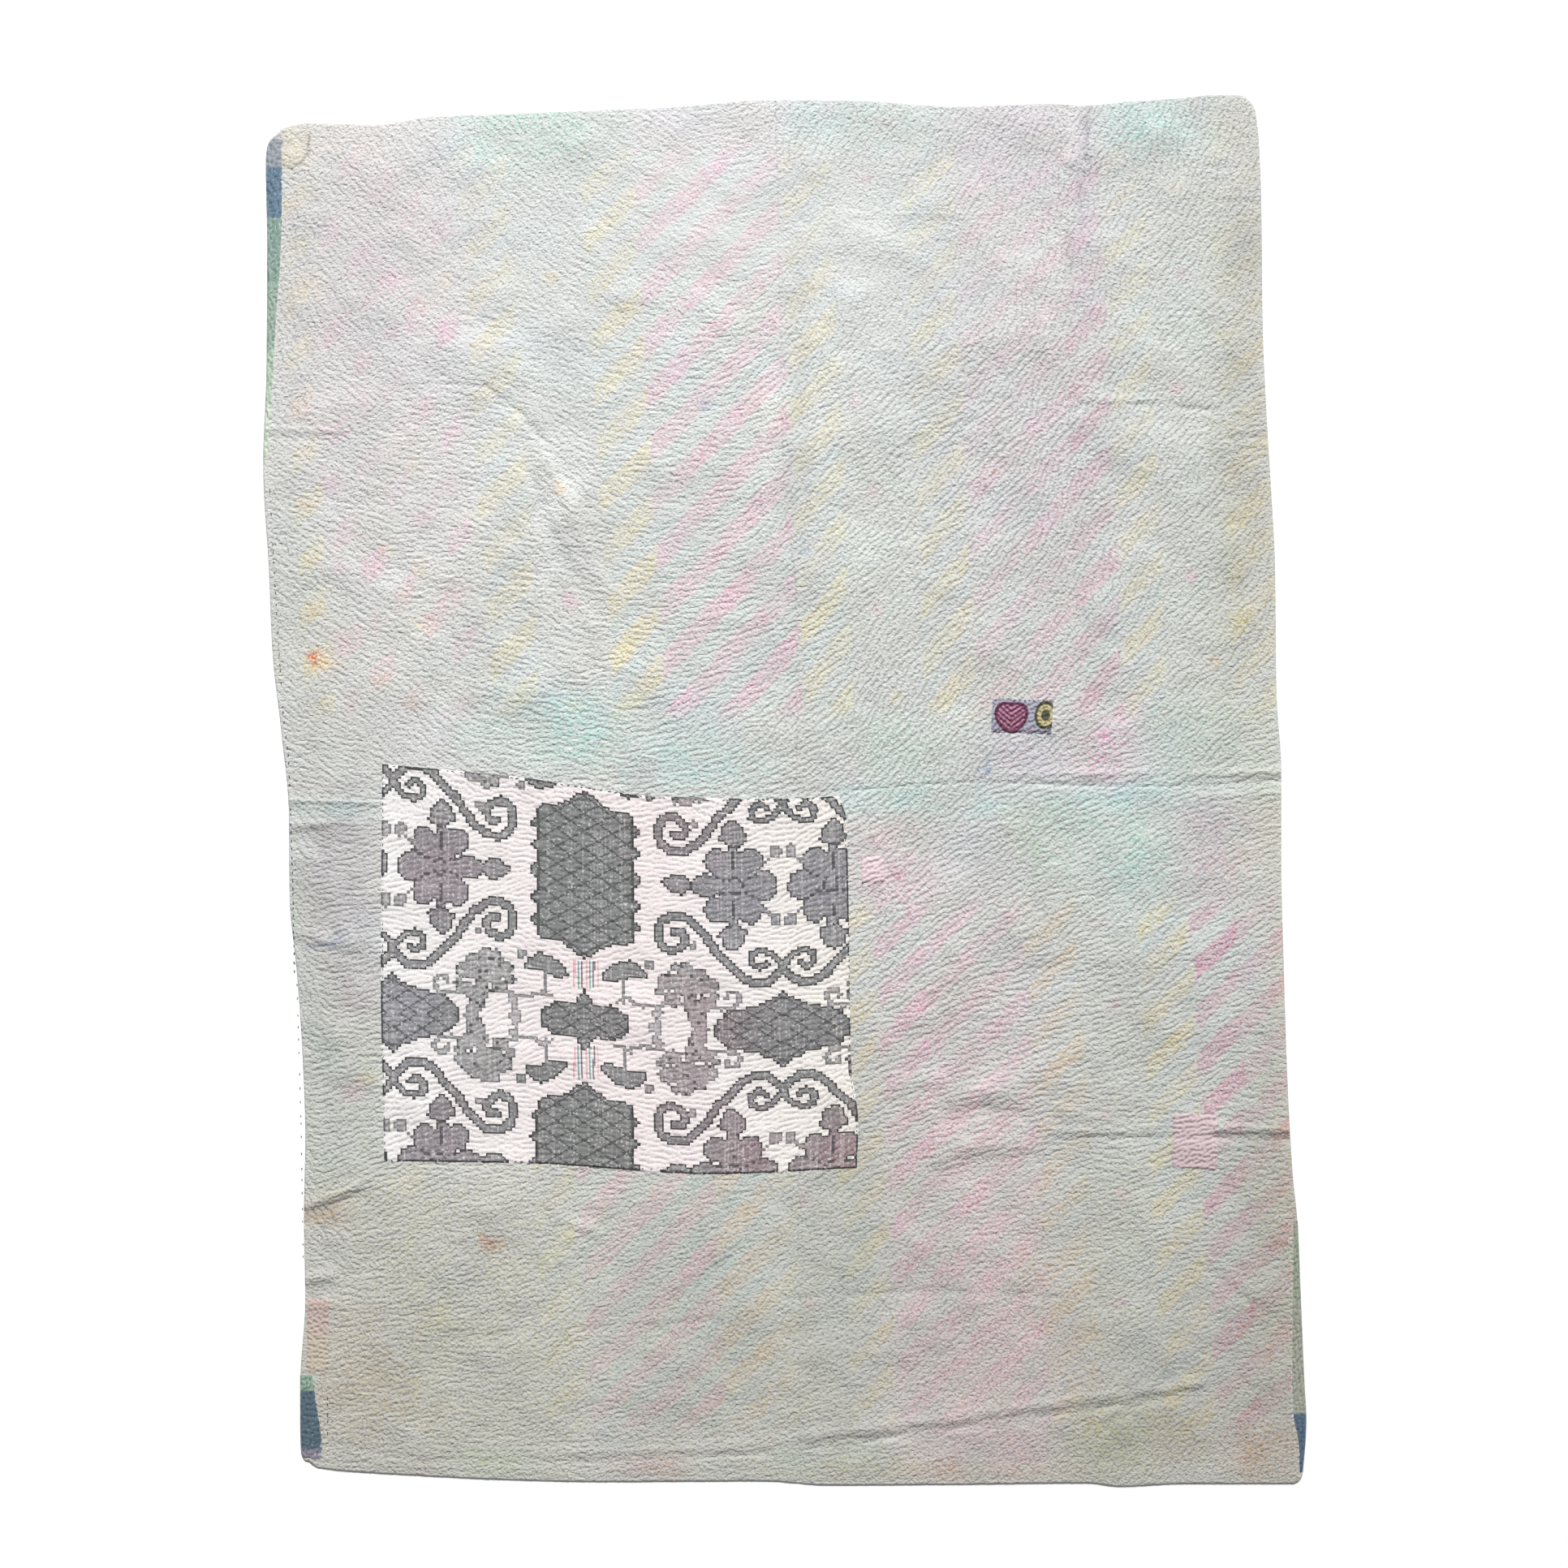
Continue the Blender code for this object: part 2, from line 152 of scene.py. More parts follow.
def soft_noise(shape: tuple[int, int], cells: float, seed: int) -> Array:
    """Smooth seeded noise on a raster, of unit spread.

    Args:
        shape: Rows and columns.
        cells: The size of its blotches, in cells.
        seed: The seed.

    Returns:
        The raster.
    """
    source = np.random.default_rng(seed).standard_normal(shape)
    down = np.fft.fftfreq(shape[0])[:, None]
    across = np.fft.rfftfreq(shape[1])[None, :]
    keep = np.exp(-0.5 * (down * down + across * across) * (2.0 * math.pi * cells / 2.5) ** 2)
    made = np.fft.irfft2(np.fft.rfft2(source) * keep, s=shape)
    return made / made.std()


@dataclass(frozen=True)
class Curve:
    """A smooth edge through a short table that never swings past its rows.

    Attributes:
        rows: Pairs of the place along the edge and the place across it.
    """

    rows: tuple[tuple[float, float], ...]

    def slopes(self) -> Array:
        """The slope at each row, level where the table turns round."""
        table = np.array(self.rows)
        steps = np.diff(table[:, 1]) / np.diff(table[:, 0])
        slopes = np.empty(len(table))
        slopes[0], slopes[-1] = steps[0], steps[-1]
        before, after = steps[:-1], steps[1:]
        same_way = before * after > 0.0
        total = np.where(same_way, before + after, 1.0)
        slopes[1:-1] = np.where(same_way, 2.0 * before * after / total, 0.0)
        return slopes

    def at(self, along: Array) -> Array:
        """The place across at each place along.

        Args:
            along: Places along the edge.

        Returns:
            The places across.
        """
        table = np.array(self.rows)
        slopes = self.slopes()
        along = np.clip(along, table[0, 0], table[-1, 0])
        index = np.clip(np.searchsorted(table[:, 0], along, side="left") - 1, 0, len(table) - 2)
        start, end = table[index], table[index + 1]
        span = end[..., 0] - start[..., 0]
        share = (along - start[..., 0]) / span
        lift = share * share * (3.0 - 2.0 * share)
        leave = share * (1.0 - share) ** 2 * span * slopes[index]
        arrive = -share * share * (1.0 - share) * span * slopes[index + 1]
        return mix(start[..., 1], end[..., 1], lift) + leave + arrive


# Side edges and centre seam: pairs of y and x
LEFT_EDGE = Curve((
    (-0.982, -0.696), (-0.975, -0.702), (-0.916, -0.704), (-0.857, -0.704), (-0.739, -0.697),
    (-0.621, -0.699), (-0.503, -0.697), (-0.385, -0.701), (-0.267, -0.709), (-0.149, -0.720),
    (-0.031, -0.721), (0.087, -0.732), (0.205, -0.745), (0.323, -0.750), (0.471, -0.758),
    (0.618, -0.753), (0.795, -0.752), (0.913, -0.754), (0.961, -0.748),
))
RIGHT_EDGE = Curve((
    (-1.005, 0.752), (-0.916, 0.758), (-0.857, 0.755), (-0.739, 0.750), (-0.621, 0.745),
    (-0.562, 0.739), (-0.444, 0.732), (-0.267, 0.726), (-0.090, 0.722), (0.028, 0.722),
    (0.146, 0.715), (0.323, 0.713), (0.441, 0.707), (0.559, 0.700), (0.677, 0.695),
    (0.854, 0.693), (0.949, 0.689), (1.010, 0.681),
))
CENTRE_SEAM = Curve((
    (-1.008, 0.020), (-0.031, 0.017), (0.276, 0.015), (0.418, -0.001), (0.630, -0.007),
    (1.004, -0.014),
))

# Top edge, cross fold and bottom edge: pairs of x and y
TOP_EDGE = Curve((
    (-0.742, 0.963), (-0.693, 0.971), (-0.598, 0.969), (-0.504, 0.981), (-0.362, 0.986),
    (-0.173, 0.994), (-0.008, 1.005), (0.110, 1.003), (0.251, 0.995), (0.393, 0.999),
    (0.431, 0.996), (0.487, 1.001), (0.582, 1.008), (0.629, 1.012), (0.683, 1.011),
))
CROSS_FOLD = Curve((
    (-0.734, -0.013), (-0.586, -0.026), (0.086, -0.001), (0.263, 0.011), (0.511, 0.005),
    (0.723, 0.013),
))
BOTTOM_EDGE = Curve((
    (-0.697, -0.982), (-0.645, -0.989), (-0.551, -0.995), (-0.409, -1.002), (-0.268, -1.005),
    (-0.032, -1.004), (0.063, -1.010), (0.251, -1.009), (0.440, -1.007), (0.487, -1.012),
    (0.582, -1.008), (0.754, -1.008),
))

# The large patch's edges
LARGE_TOP = Curve((
    (-0.585, 0.038), (-0.392, 0.020), (-0.197, -0.008), (0.004, -0.013), (0.079, -0.008),
))
LARGE_BOTTOM = Curve((
    (-0.582, -0.539), (-0.378, -0.542), (-0.105, -0.558), (0.105, -0.549),
))
LARGE_LEFT = Curve(((-0.539, -0.582), (-0.250, -0.587), (0.038, -0.585)))
LARGE_RIGHT = Curve((
    (-0.549, 0.105), (-0.484, 0.107), (-0.402, 0.097), (-0.045, 0.090), (-0.008, 0.079),
))


@dataclass(frozen=True)
class Quarter:
    """Four edges between which a piece of cloth is spread.

    Attributes:
        low: The lower edge.
        high: The upper edge.
        left: The left edge.
        right: The right edge.
    """

    low: Curve
    high: Curve
    left: Curve
    right: Curve

    def place(self, across: Array, up: Array) -> tuple[Array, Array]:
        """The places at shares of the way across and up.

        Args:
            across: Shares across, 0 at the left edge.
            up: Shares up, 0 at the lower edge.

        Returns:
            The places in metres, across and up.
        """
        x = mix(self.left.rows[0][1], self.right.rows[0][1], across)
        y = np.zeros_like(x)
        for _ in range(6):
            y = mix(self.low.at(x), self.high.at(x), up)
            x = mix(self.left.at(y), self.right.at(y), across)
        return x, y


@dataclass(frozen=True)
class Corner:
    """A rounded corner of the quilt.

    Attributes:
        side: The side edge that it ends.
        end: The top or bottom edge that it ends.
        right: Whether it is at the right.
        top: Whether it is at the top.
        radius: How far the rounding reaches.
    """

    side: Curve
    end: Curve
    right: bool
    top: bool
    radius: float


CORNERS = (
    Corner(LEFT_EDGE, BOTTOM_EDGE, False, False, 0.020),
    Corner(RIGHT_EDGE, BOTTOM_EDGE, True, False, 0.014),
    Corner(LEFT_EDGE, TOP_EDGE, False, True, 0.031),
    Corner(RIGHT_EDGE, TOP_EDGE, True, True, 0.024),
)


@dataclass(frozen=True)
class Swelling:
    """A soft rise of the lying cloth: its middle, its reach each way, its turn and height."""

    x: float
    y: float
    long: float
    wide: float
    turn: float
    height: float

    def rise(self, x: Array, y: Array) -> Array:
        """How high it lifts each place."""
        turn = math.radians(self.turn)
        dx, dy = x - self.x, y - self.y
        far = (dx * math.cos(turn) + dy * math.sin(turn)) / self.long
        wide = (dy * math.cos(turn) - dx * math.sin(turn)) / self.wide
        return self.height * np.exp(-far * far - wide * wide)


SWELLINGS = (
    Swelling(-0.335, 0.450, 0.115, 0.075, 60.0, 0.0060),
    Swelling(-0.440, 0.640, 0.120, 0.070, -35.0, 0.0025),
    Swelling(-0.735, 0.480, 0.110, 0.045, 88.0, 0.0030),
    Swelling(0.445, 0.900, 0.130, 0.050, 82.0, 0.0040),
    Swelling(0.560, 0.500, 0.110, 0.060, 5.0, 0.0030),
    Swelling(0.655, 0.790, 0.050, 0.034, 70.0, -0.0024),
    Swelling(0.520, -0.310, 0.140, 0.080, 20.0, 0.0022),
    Swelling(-0.120, -0.830, 0.180, 0.070, 8.0, 0.0026),
    Swelling(0.700, -0.500, 0.080, 0.060, 0.0, 0.0028),
    Swelling(-0.540, -0.905, 0.040, 0.030, 30.0, 0.0022),
    Swelling(-0.290, -0.650, 0.040, 0.022, 30.0, 0.0020),
    Swelling(0.330, -0.420, 0.100, 0.030, 8.0, 0.0022),
    Swelling(0.300, -0.500, 0.090, 0.026, 10.0, 0.0018),
    Swelling(0.480, -0.930, 0.070, 0.028, 35.0, 0.0024),
)


@dataclass(frozen=True)
class Crease:
    """A crease on the plan from one square to another, how wide it spreads, and its rise.

    Attributes:
        x0: Where it starts, across.
        y0: Where it starts, down.
        x1: Where it ends, across.
        y1: Where it ends, down.
        spread: How far it spreads to each side, in metres.
        rise: How high it rises, or drops if below 0, in metres.
    """

    x0: float
    y0: float
    x1: float
    y1: float
    spread: float
    rise: float

    def lift(self, across: Array, down: Array) -> Array:
        """How high it lifts each place of the plan."""
        off = off_line(across, down, (self.x0, self.y0), (self.x1, self.y1)) * PLAN_SQUARE
        return self.rise * np.exp(-((off / self.spread) ** 2))


CREASES = (
    # The hump at the upper left and its valley
    Crease(556, 474, 600, 478, 0.0050, -0.0012),
    Crease(600, 478, 640, 510, 0.0055, -0.0018),
    Crease(640, 510, 668, 542, 0.0060, -0.0026),
    Crease(650, 574, 668, 622, 0.0080, -0.0026),
    Crease(666, 630, 692, 690, 0.0110, -0.0028),
    Crease(692, 690, 738, 752, 0.0110, -0.0028),
    Crease(674, 568, 704, 628, 0.0120, 0.0048),
    Crease(708, 644, 748, 722, 0.0120, 0.0024),
    # The pleat that comes down from the top edge
    Crease(1318, 118, 1316, 200, 0.0110, 0.0030),
    Crease(1316, 200, 1296, 300, 0.0100, 0.0024),
    Crease(1296, 300, 1284, 430, 0.0080, 0.0014),
    Crease(1337, 122, 1336, 200, 0.0036, -0.0026),
    Crease(1336, 200, 1314, 320, 0.0036, -0.0020),
    Crease(1290, 560, 1272, 740, 0.0070, 0.0014),
    Crease(1302, 540, 1292, 780, 0.0040, -0.0012),
    # Short creases at the right
    Crease(1290, 522, 1345, 496, 0.0050, -0.0014),
    Crease(1345, 494, 1425, 492, 0.0050, 0.0012),
    Crease(1400, 500, 1500, 506, 0.0042, -0.0022),
    Crease(1510, 540, 1575, 540, 0.0040, -0.0014),
    Crease(1490, 207, 1548, 210, 0.0050, -0.0009),
    Crease(1500, 250, 1550, 252, 0.0050, -0.0009),
    Crease(1300, 1395, 1420, 1392, 0.0060, 0.0014),
    Crease(1300, 1404, 1500, 1402, 0.0050, -0.0014),
    Crease(1500, 1402, 1592, 1404, 0.0070, -0.0030),
    Crease(1500, 1390, 1592, 1392, 0.0070, 0.0028),
    # Lines where the folded cloths lay under each other
    Crease(960, 265, 1420, 265, 0.0030, 0.0005),
    Crease(1250, 350, 1350, 350, 0.0030, -0.0005),
    Crease(1427, 240, 1424, 430, 0.0026, -0.0007),
    Crease(1440, 262, 1440, 440, 0.0026, 0.0005),
    Crease(402, 480, 402, 900, 0.0030, 0.0007),
    Crease(430, 200, 431, 270, 0.0026, -0.0007),
    Crease(1215, 480, 1225, 860, 0.0030, 0.0007),
    Crease(1240, 500, 1238, 800, 0.0026, -0.0006),
    Crease(1352, 520, 1348, 700, 0.0026, 0.0006),
    Crease(1339, 560, 1336, 720, 0.0020, -0.0006),
    Crease(320, 528, 420, 532, 0.0040, 0.0012),
    Crease(320, 540, 410, 544, 0.0040, -0.0012),
    Crease(700, 410, 880, 404, 0.0040, -0.0007),
    Crease(680, 724, 860, 716, 0.0050, -0.0008),
    Crease(1120, 548, 1200, 520, 0.0080, -0.0016),
    # Wrinkles beside the centre seam
    Crease(978, 240, 980, 420, 0.0050, -0.0012),
    Crease(982, 420, 998, 960, 0.0090, -0.0020),
    Crease(968, 430, 976, 760, 0.0016, -0.0009),
    Crease(974, 620, 992, 985, 0.0016, -0.0009),
    Crease(996, 700, 1008, 960, 0.0016, -0.0006),
    # Wrinkles along the cross fold
    Crease(345, 986, 470, 990, 0.0040, 0.0022),
    Crease(345, 1000, 470, 1002, 0.0036, -0.0018),
    Crease(345, 1014, 450, 1014, 0.0036, 0.0012),
    Crease(345, 1036, 400, 1030, 0.0060, -0.0026),
    Crease(1060, 972, 1300, 966, 0.0036, -0.0014),
    Crease(1190, 950, 1220, 972, 0.0040, -0.0020),
    Crease(1180, 954, 1420, 952, 0.0040, 0.0014),
    Crease(1300, 968, 1480, 966, 0.0044, -0.0020),
    Crease(1480, 966, 1585, 962, 0.0050, -0.0028),
    Crease(1450, 954, 1520, 953, 0.0050, 0.0018),
    Crease(1520, 953, 1578, 950, 0.0060, 0.0022),
    Crease(1195, 959, 1225, 958, 0.0050, 0.0016),
    Crease(1330, 956, 1372, 955, 0.0050, 0.0014),
    Crease(1480, 982, 1580, 978, 0.0040, 0.0012),
    # The crease inside the bottom hem
    Crease(400, 1778, 520, 1800, 0.0040, -0.0012),
    Crease(520, 1800, 683, 1803, 0.0040, -0.0018),
    Crease(683, 1803, 838, 1796, 0.0040, -0.0018),
    Crease(838, 1796, 964, 1790, 0.0044, -0.0022),
    Crease(964, 1788, 1052, 1777, 0.0052, -0.0030),
    Crease(1052, 1777, 1140, 1765, 0.0052, -0.0032),
    Crease(1140, 1765, 1300, 1743, 0.0056, -0.0034),
    Crease(1300, 1743, 1400, 1728, 0.0050, -0.0026),
    Crease(1400, 1728, 1480, 1716, 0.0056, -0.0032),
    Crease(1000, 1768, 1130, 1752, 0.0080, 0.0020),
    Crease(1130, 1754, 1250, 1736, 0.0090, 0.0014),
    Crease(1250, 1736, 1370, 1718, 0.0080, 0.0022),
    Crease(840, 1785, 1000, 1772, 0.0080, 0.0012),
    Crease(660, 1790, 840, 1785, 0.0060, 0.0012),
    Crease(1410, 1713, 1480, 1702, 0.0080, 0.0020),
    Crease(1360, 1760, 1440, 1700, 0.0080, -0.0016),
    # Soft creases of the lower half
    Crease(560, 1646, 640, 1646, 0.0060, -0.0008),
    Crease(700, 1638, 800, 1636, 0.0050, -0.0006),
    Crease(800, 1636, 876, 1626, 0.0060, -0.0009),
    Crease(600, 1632, 830, 1624, 0.0080, 0.0005),
    Crease(835, 1600, 905, 1545, 0.0090, -0.0018),
    Crease(967, 1600, 1148, 1592, 0.0060, -0.0012),
    Crease(1148, 1592, 1300, 1600, 0.0060, -0.0012),
    Crease(1190, 1630, 1280, 1585, 0.0100, -0.0020),
    Crease(664, 1450, 679, 1550, 0.0060, -0.0018),
    Crease(690, 1500, 740, 1520, 0.0080, 0.0018),
    Crease(700, 1540, 760, 1500, 0.0060, -0.0014),
    Crease(1168, 1380, 1215, 1368, 0.0110, -0.0024),
    Crease(1215, 1368, 1262, 1376, 0.0090, -0.0016),
    Crease(1160, 1450, 1212, 1436, 0.0110, -0.0022),
    Crease(1212, 1436, 1282, 1428, 0.0080, -0.0014),
    Crease(1176, 1354, 1216, 1344, 0.0130, 0.0024),
    Crease(1216, 1344, 1256, 1352, 0.0120, 0.0016),
    Crease(1156, 1428, 1190, 1414, 0.0120, 0.0024),
    Crease(1190, 1414, 1262, 1410, 0.0120, 0.0016),
    Crease(1100, 1262, 1170, 1240, 0.0120, 0.0014),
    Crease(1090, 1340, 1160, 1330, 0.0120, 0.0014),
    Crease(1260, 1320, 1330, 1300, 0.0120, 0.0012),
    Crease(1180, 1215, 1300, 1190, 0.0060, -0.0009),
    Crease(1300, 1364, 1352, 1380, 0.0080, 0.0014),
    Crease(1480, 1560, 1590, 1640, 0.0080, -0.0014),
    Crease(378, 1500, 440, 1474, 0.0080, -0.0032),
    Crease(378, 1486, 440, 1462, 0.0080, 0.0030),
    Crease(374, 1576, 408, 1572, 0.0070, 0.0028),
    Crease(345, 1020, 400, 1016, 0.0060, 0.0024),
    Crease(352, 1146, 430, 1164, 0.0080, 0.0014),
    Crease(350, 1062, 410, 1058, 0.0080, 0.0014),
    Crease(372, 1592, 405, 1588, 0.0070, -0.0032),
    Crease(372, 1610, 420, 1606, 0.0070, 0.0012),
    Crease(350, 1160, 440, 1180, 0.0080, -0.0014),
    Crease(348, 1230, 450, 1250, 0.0120, -0.0018),
    Crease(360, 1330, 450, 1350, 0.0110, -0.0016),
)


@dataclass(frozen=True)
class Lean:
    """How the sewing rows run near one place of the plan.

    Attributes:
        x: The place across.
        y: The place down.
        degrees: How the rows lean, above 0 where they rise to the right.
        fine: 1 where the rows are close, 0 where they are wide apart, and below 0 where the
            cloth is more crinkled than rowed.
    """

    x: float
    y: float
    degrees: float
    fine: float = 0.0


LEANS = (
    Lean(350, 200, -48), Lean(460, 200, -52), Lean(580, 210, -58), Lean(680, 230, -50),
    Lean(760, 240, -32), Lean(850, 230, -32), Lean(925, 230, 15), Lean(345, 300, -80),
    Lean(440, 340, -45), Lean(540, 350, -34), Lean(620, 350, -38), Lean(700, 350, -48),
    Lean(780, 350, -35), Lean(860, 350, -20), Lean(930, 360, 8), Lean(350, 430, -80),
    Lean(440, 440, -38), Lean(560, 430, -25), Lean(650, 440, -24), Lean(760, 440, -22),
    Lean(860, 440, -5), Lean(930, 440, 25), Lean(360, 540, -40), Lean(450, 530, -30),
    Lean(540, 540, -18), Lean(610, 550, -10), Lean(670, 560, -38), Lean(750, 540, -15),
    Lean(850, 540, 2), Lean(930, 540, 15), Lean(370, 680, -42), Lean(450, 670, -35),
    Lean(540, 670, -18), Lean(610, 670, -12), Lean(680, 670, -35), Lean(750, 690, -20),
    Lean(850, 690, 0), Lean(930, 690, 25), Lean(370, 830, -48), Lean(450, 830, -31),
    Lean(540, 830, -30), Lean(640, 840, -20), Lean(760, 830, -15), Lean(850, 840, 8),
    Lean(930, 830, 25), Lean(390, 930, -32, 0.2), Lean(530, 910, -30, 0.1), Lean(700, 920, -10),
    Lean(840, 930, 12), Lean(930, 930, 25), Lean(1000, 200, 69), Lean(1060, 300, 70),
    Lean(1180, 210, 60), Lean(1180, 330, 65), Lean(1270, 210, 75), Lean(1270, 350, 75),
    Lean(1350, 210, 79), Lean(1350, 350, 72), Lean(1430, 200, 70), Lean(1430, 300, 55),
    Lean(1500, 210, 62), Lean(1500, 330, 45), Lean(1570, 220, 82), Lean(1565, 350, 55),
    Lean(985, 380, 82), Lean(1090, 400, 65), Lean(985, 500, 55), Lean(1060, 500, 40),
    Lean(1160, 500, 41), Lean(1260, 470, 55), Lean(1350, 480, 65), Lean(1440, 470, 45),
    Lean(1510, 480, 40), Lean(1570, 500, 6), Lean(980, 640, 58), Lean(1060, 640, 48),
    Lean(1150, 640, 48), Lean(1240, 620, 52), Lean(1300, 640, 75), Lean(1370, 640, 55),
    Lean(1440, 640, 55), Lean(1510, 640, 42), Lean(1575, 650, 75), Lean(980, 780, 30),
    Lean(1050, 760, 50), Lean(1150, 780, 48), Lean(1240, 780, 35), Lean(1340, 780, 52),
    Lean(1440, 780, 50), Lean(1520, 780, 48), Lean(1580, 780, 82), Lean(980, 880, 42),
    Lean(1090, 880, 50), Lean(1220, 880, 35), Lean(1340, 880, 42), Lean(1450, 880, 48),
    Lean(1560, 880, 30), Lean(1010, 950, 32), Lean(1130, 950, 40), Lean(1270, 950, 25),
    Lean(1400, 950, 30), Lean(1550, 950, 15), Lean(1030, 1050, 11), Lean(1130, 1060, 35),
    Lean(1270, 1060, 35), Lean(1400, 1060, 32), Lean(1490, 1060, 40), Lean(1570, 1060, 5),
    Lean(1060, 1170, 38), Lean(1200, 1180, 32), Lean(1290, 1180, 22), Lean(1380, 1170, 30),
    Lean(1470, 1180, 35), Lean(1570, 1180, 11), Lean(1060, 1290, 16), Lean(1200, 1280, 24),
    Lean(1300, 1290, 16), Lean(1390, 1280, 34), Lean(1470, 1290, 32), Lean(1570, 1290, -16),
    Lean(1060, 1400, 27), Lean(1200, 1400, 20), Lean(1320, 1410, 11), Lean(1440, 1410, 7),
    Lean(1570, 1410, -4), Lean(1060, 1500, 32, -0.5), Lean(1200, 1500, 22, -0.5),
    Lean(1320, 1500, 13, -0.5), Lean(1440, 1500, 10, -0.5), Lean(1570, 1500, -5, -0.5),
    Lean(1060, 1590, 58, -0.5), Lean(1180, 1600, 54, -0.5), Lean(1300, 1610, 42, -0.5),
    Lean(1420, 1600, 29, -0.5), Lean(1540, 1600, 13, -0.5), Lean(1090, 1700, 54, -0.7),
    Lean(1220, 1700, 48, -0.7), Lean(1360, 1710, 35, -0.7), Lean(1500, 1700, 26, -0.7),
    Lean(1100, 1780, 35, -0.7), Lean(1260, 1775, 45, -0.7), Lean(1420, 1770, 64, -0.7),
    Lean(1560, 1770, 82, -0.7), Lean(360, 1090, -70), Lean(440, 1080, 3), Lean(360, 1220, -70),
    Lean(440, 1190, 11), Lean(350, 1340, -62), Lean(440, 1330, 16), Lean(360, 1460, -68),
    Lean(440, 1450, 22), Lean(500, 1080, 8, 0.7), Lean(640, 1080, 0, 0.7), Lean(800, 1080, 3, 0.7),
    Lean(970, 1090, 11, 0.7), Lean(500, 1250, 3, 0.7), Lean(640, 1260, 5, 0.7),
    Lean(800, 1260, 5, 0.7), Lean(970, 1260, 0, 0.7), Lean(500, 1400, 14, 0.7),
    Lean(650, 1400, -7, 0.7), Lean(800, 1400, -5, 0.7), Lean(970, 1400, 14, 0.7),
    Lean(520, 1500, 24, -0.7), Lean(600, 1500, 10, -0.7), Lean(700, 1500, 16, -0.7),
    Lean(800, 1510, 26, -0.7), Lean(900, 1500, 6, -0.7), Lean(980, 1500, 32, -0.7),
    Lean(380, 1570, -48, -0.7), Lean(450, 1590, 3, -0.7), Lean(560, 1590, 19, -0.7),
    Lean(660, 1590, 10, -0.7), Lean(740, 1590, 42, -0.7), Lean(860, 1590, 32, -0.7),
    Lean(970, 1590, 48, -0.7), Lean(450, 1700, 13, -0.7), Lean(560, 1700, 0, -0.7),
    Lean(670, 1690, 29, -0.7), Lean(780, 1690, 19, -0.7), Lean(880, 1690, 48, -0.7),
    Lean(980, 1700, 42, -0.7), Lean(460, 1780, 0, -0.7), Lean(620, 1785, 6, -0.7),
    Lean(780, 1780, 0, -0.7), Lean(940, 1775, 16, -0.7),
)


@dataclass(frozen=True)
class Calm:
    """A place of the plan where the puckers are lower: its middle, its reach, and their height."""

    x: float
    y: float
    wide: float
    long: float
    height: float


CALMS = (
    Calm(860, 260, 120, 120, 0.45), Calm(1060, 290, 110, 120, 0.55),
    Calm(1210, 280, 110, 130, 0.85), Calm(480, 250, 150, 110, 0.85),
    Calm(620, 400, 110, 120, 0.80), Calm(1340, 1600, 130, 120, 1.00),
    Calm(1500, 1680, 130, 110, 0.92), Calm(1000, 1650, 120, 110, 0.88),
    Calm(860, 520, 110, 110, 0.90), Calm(1270, 560, 90, 110, 1.75),
    Calm(700, 880, 130, 100, 1.40), Calm(1130, 930, 180, 110, 1.75),
    Calm(1180, 1180, 170, 130, 1.42), Calm(520, 1600, 90, 90, 1.55),
    Calm(410, 1200, 60, 200, 1.26), Calm(1460, 380, 90, 120, 0.90),
)


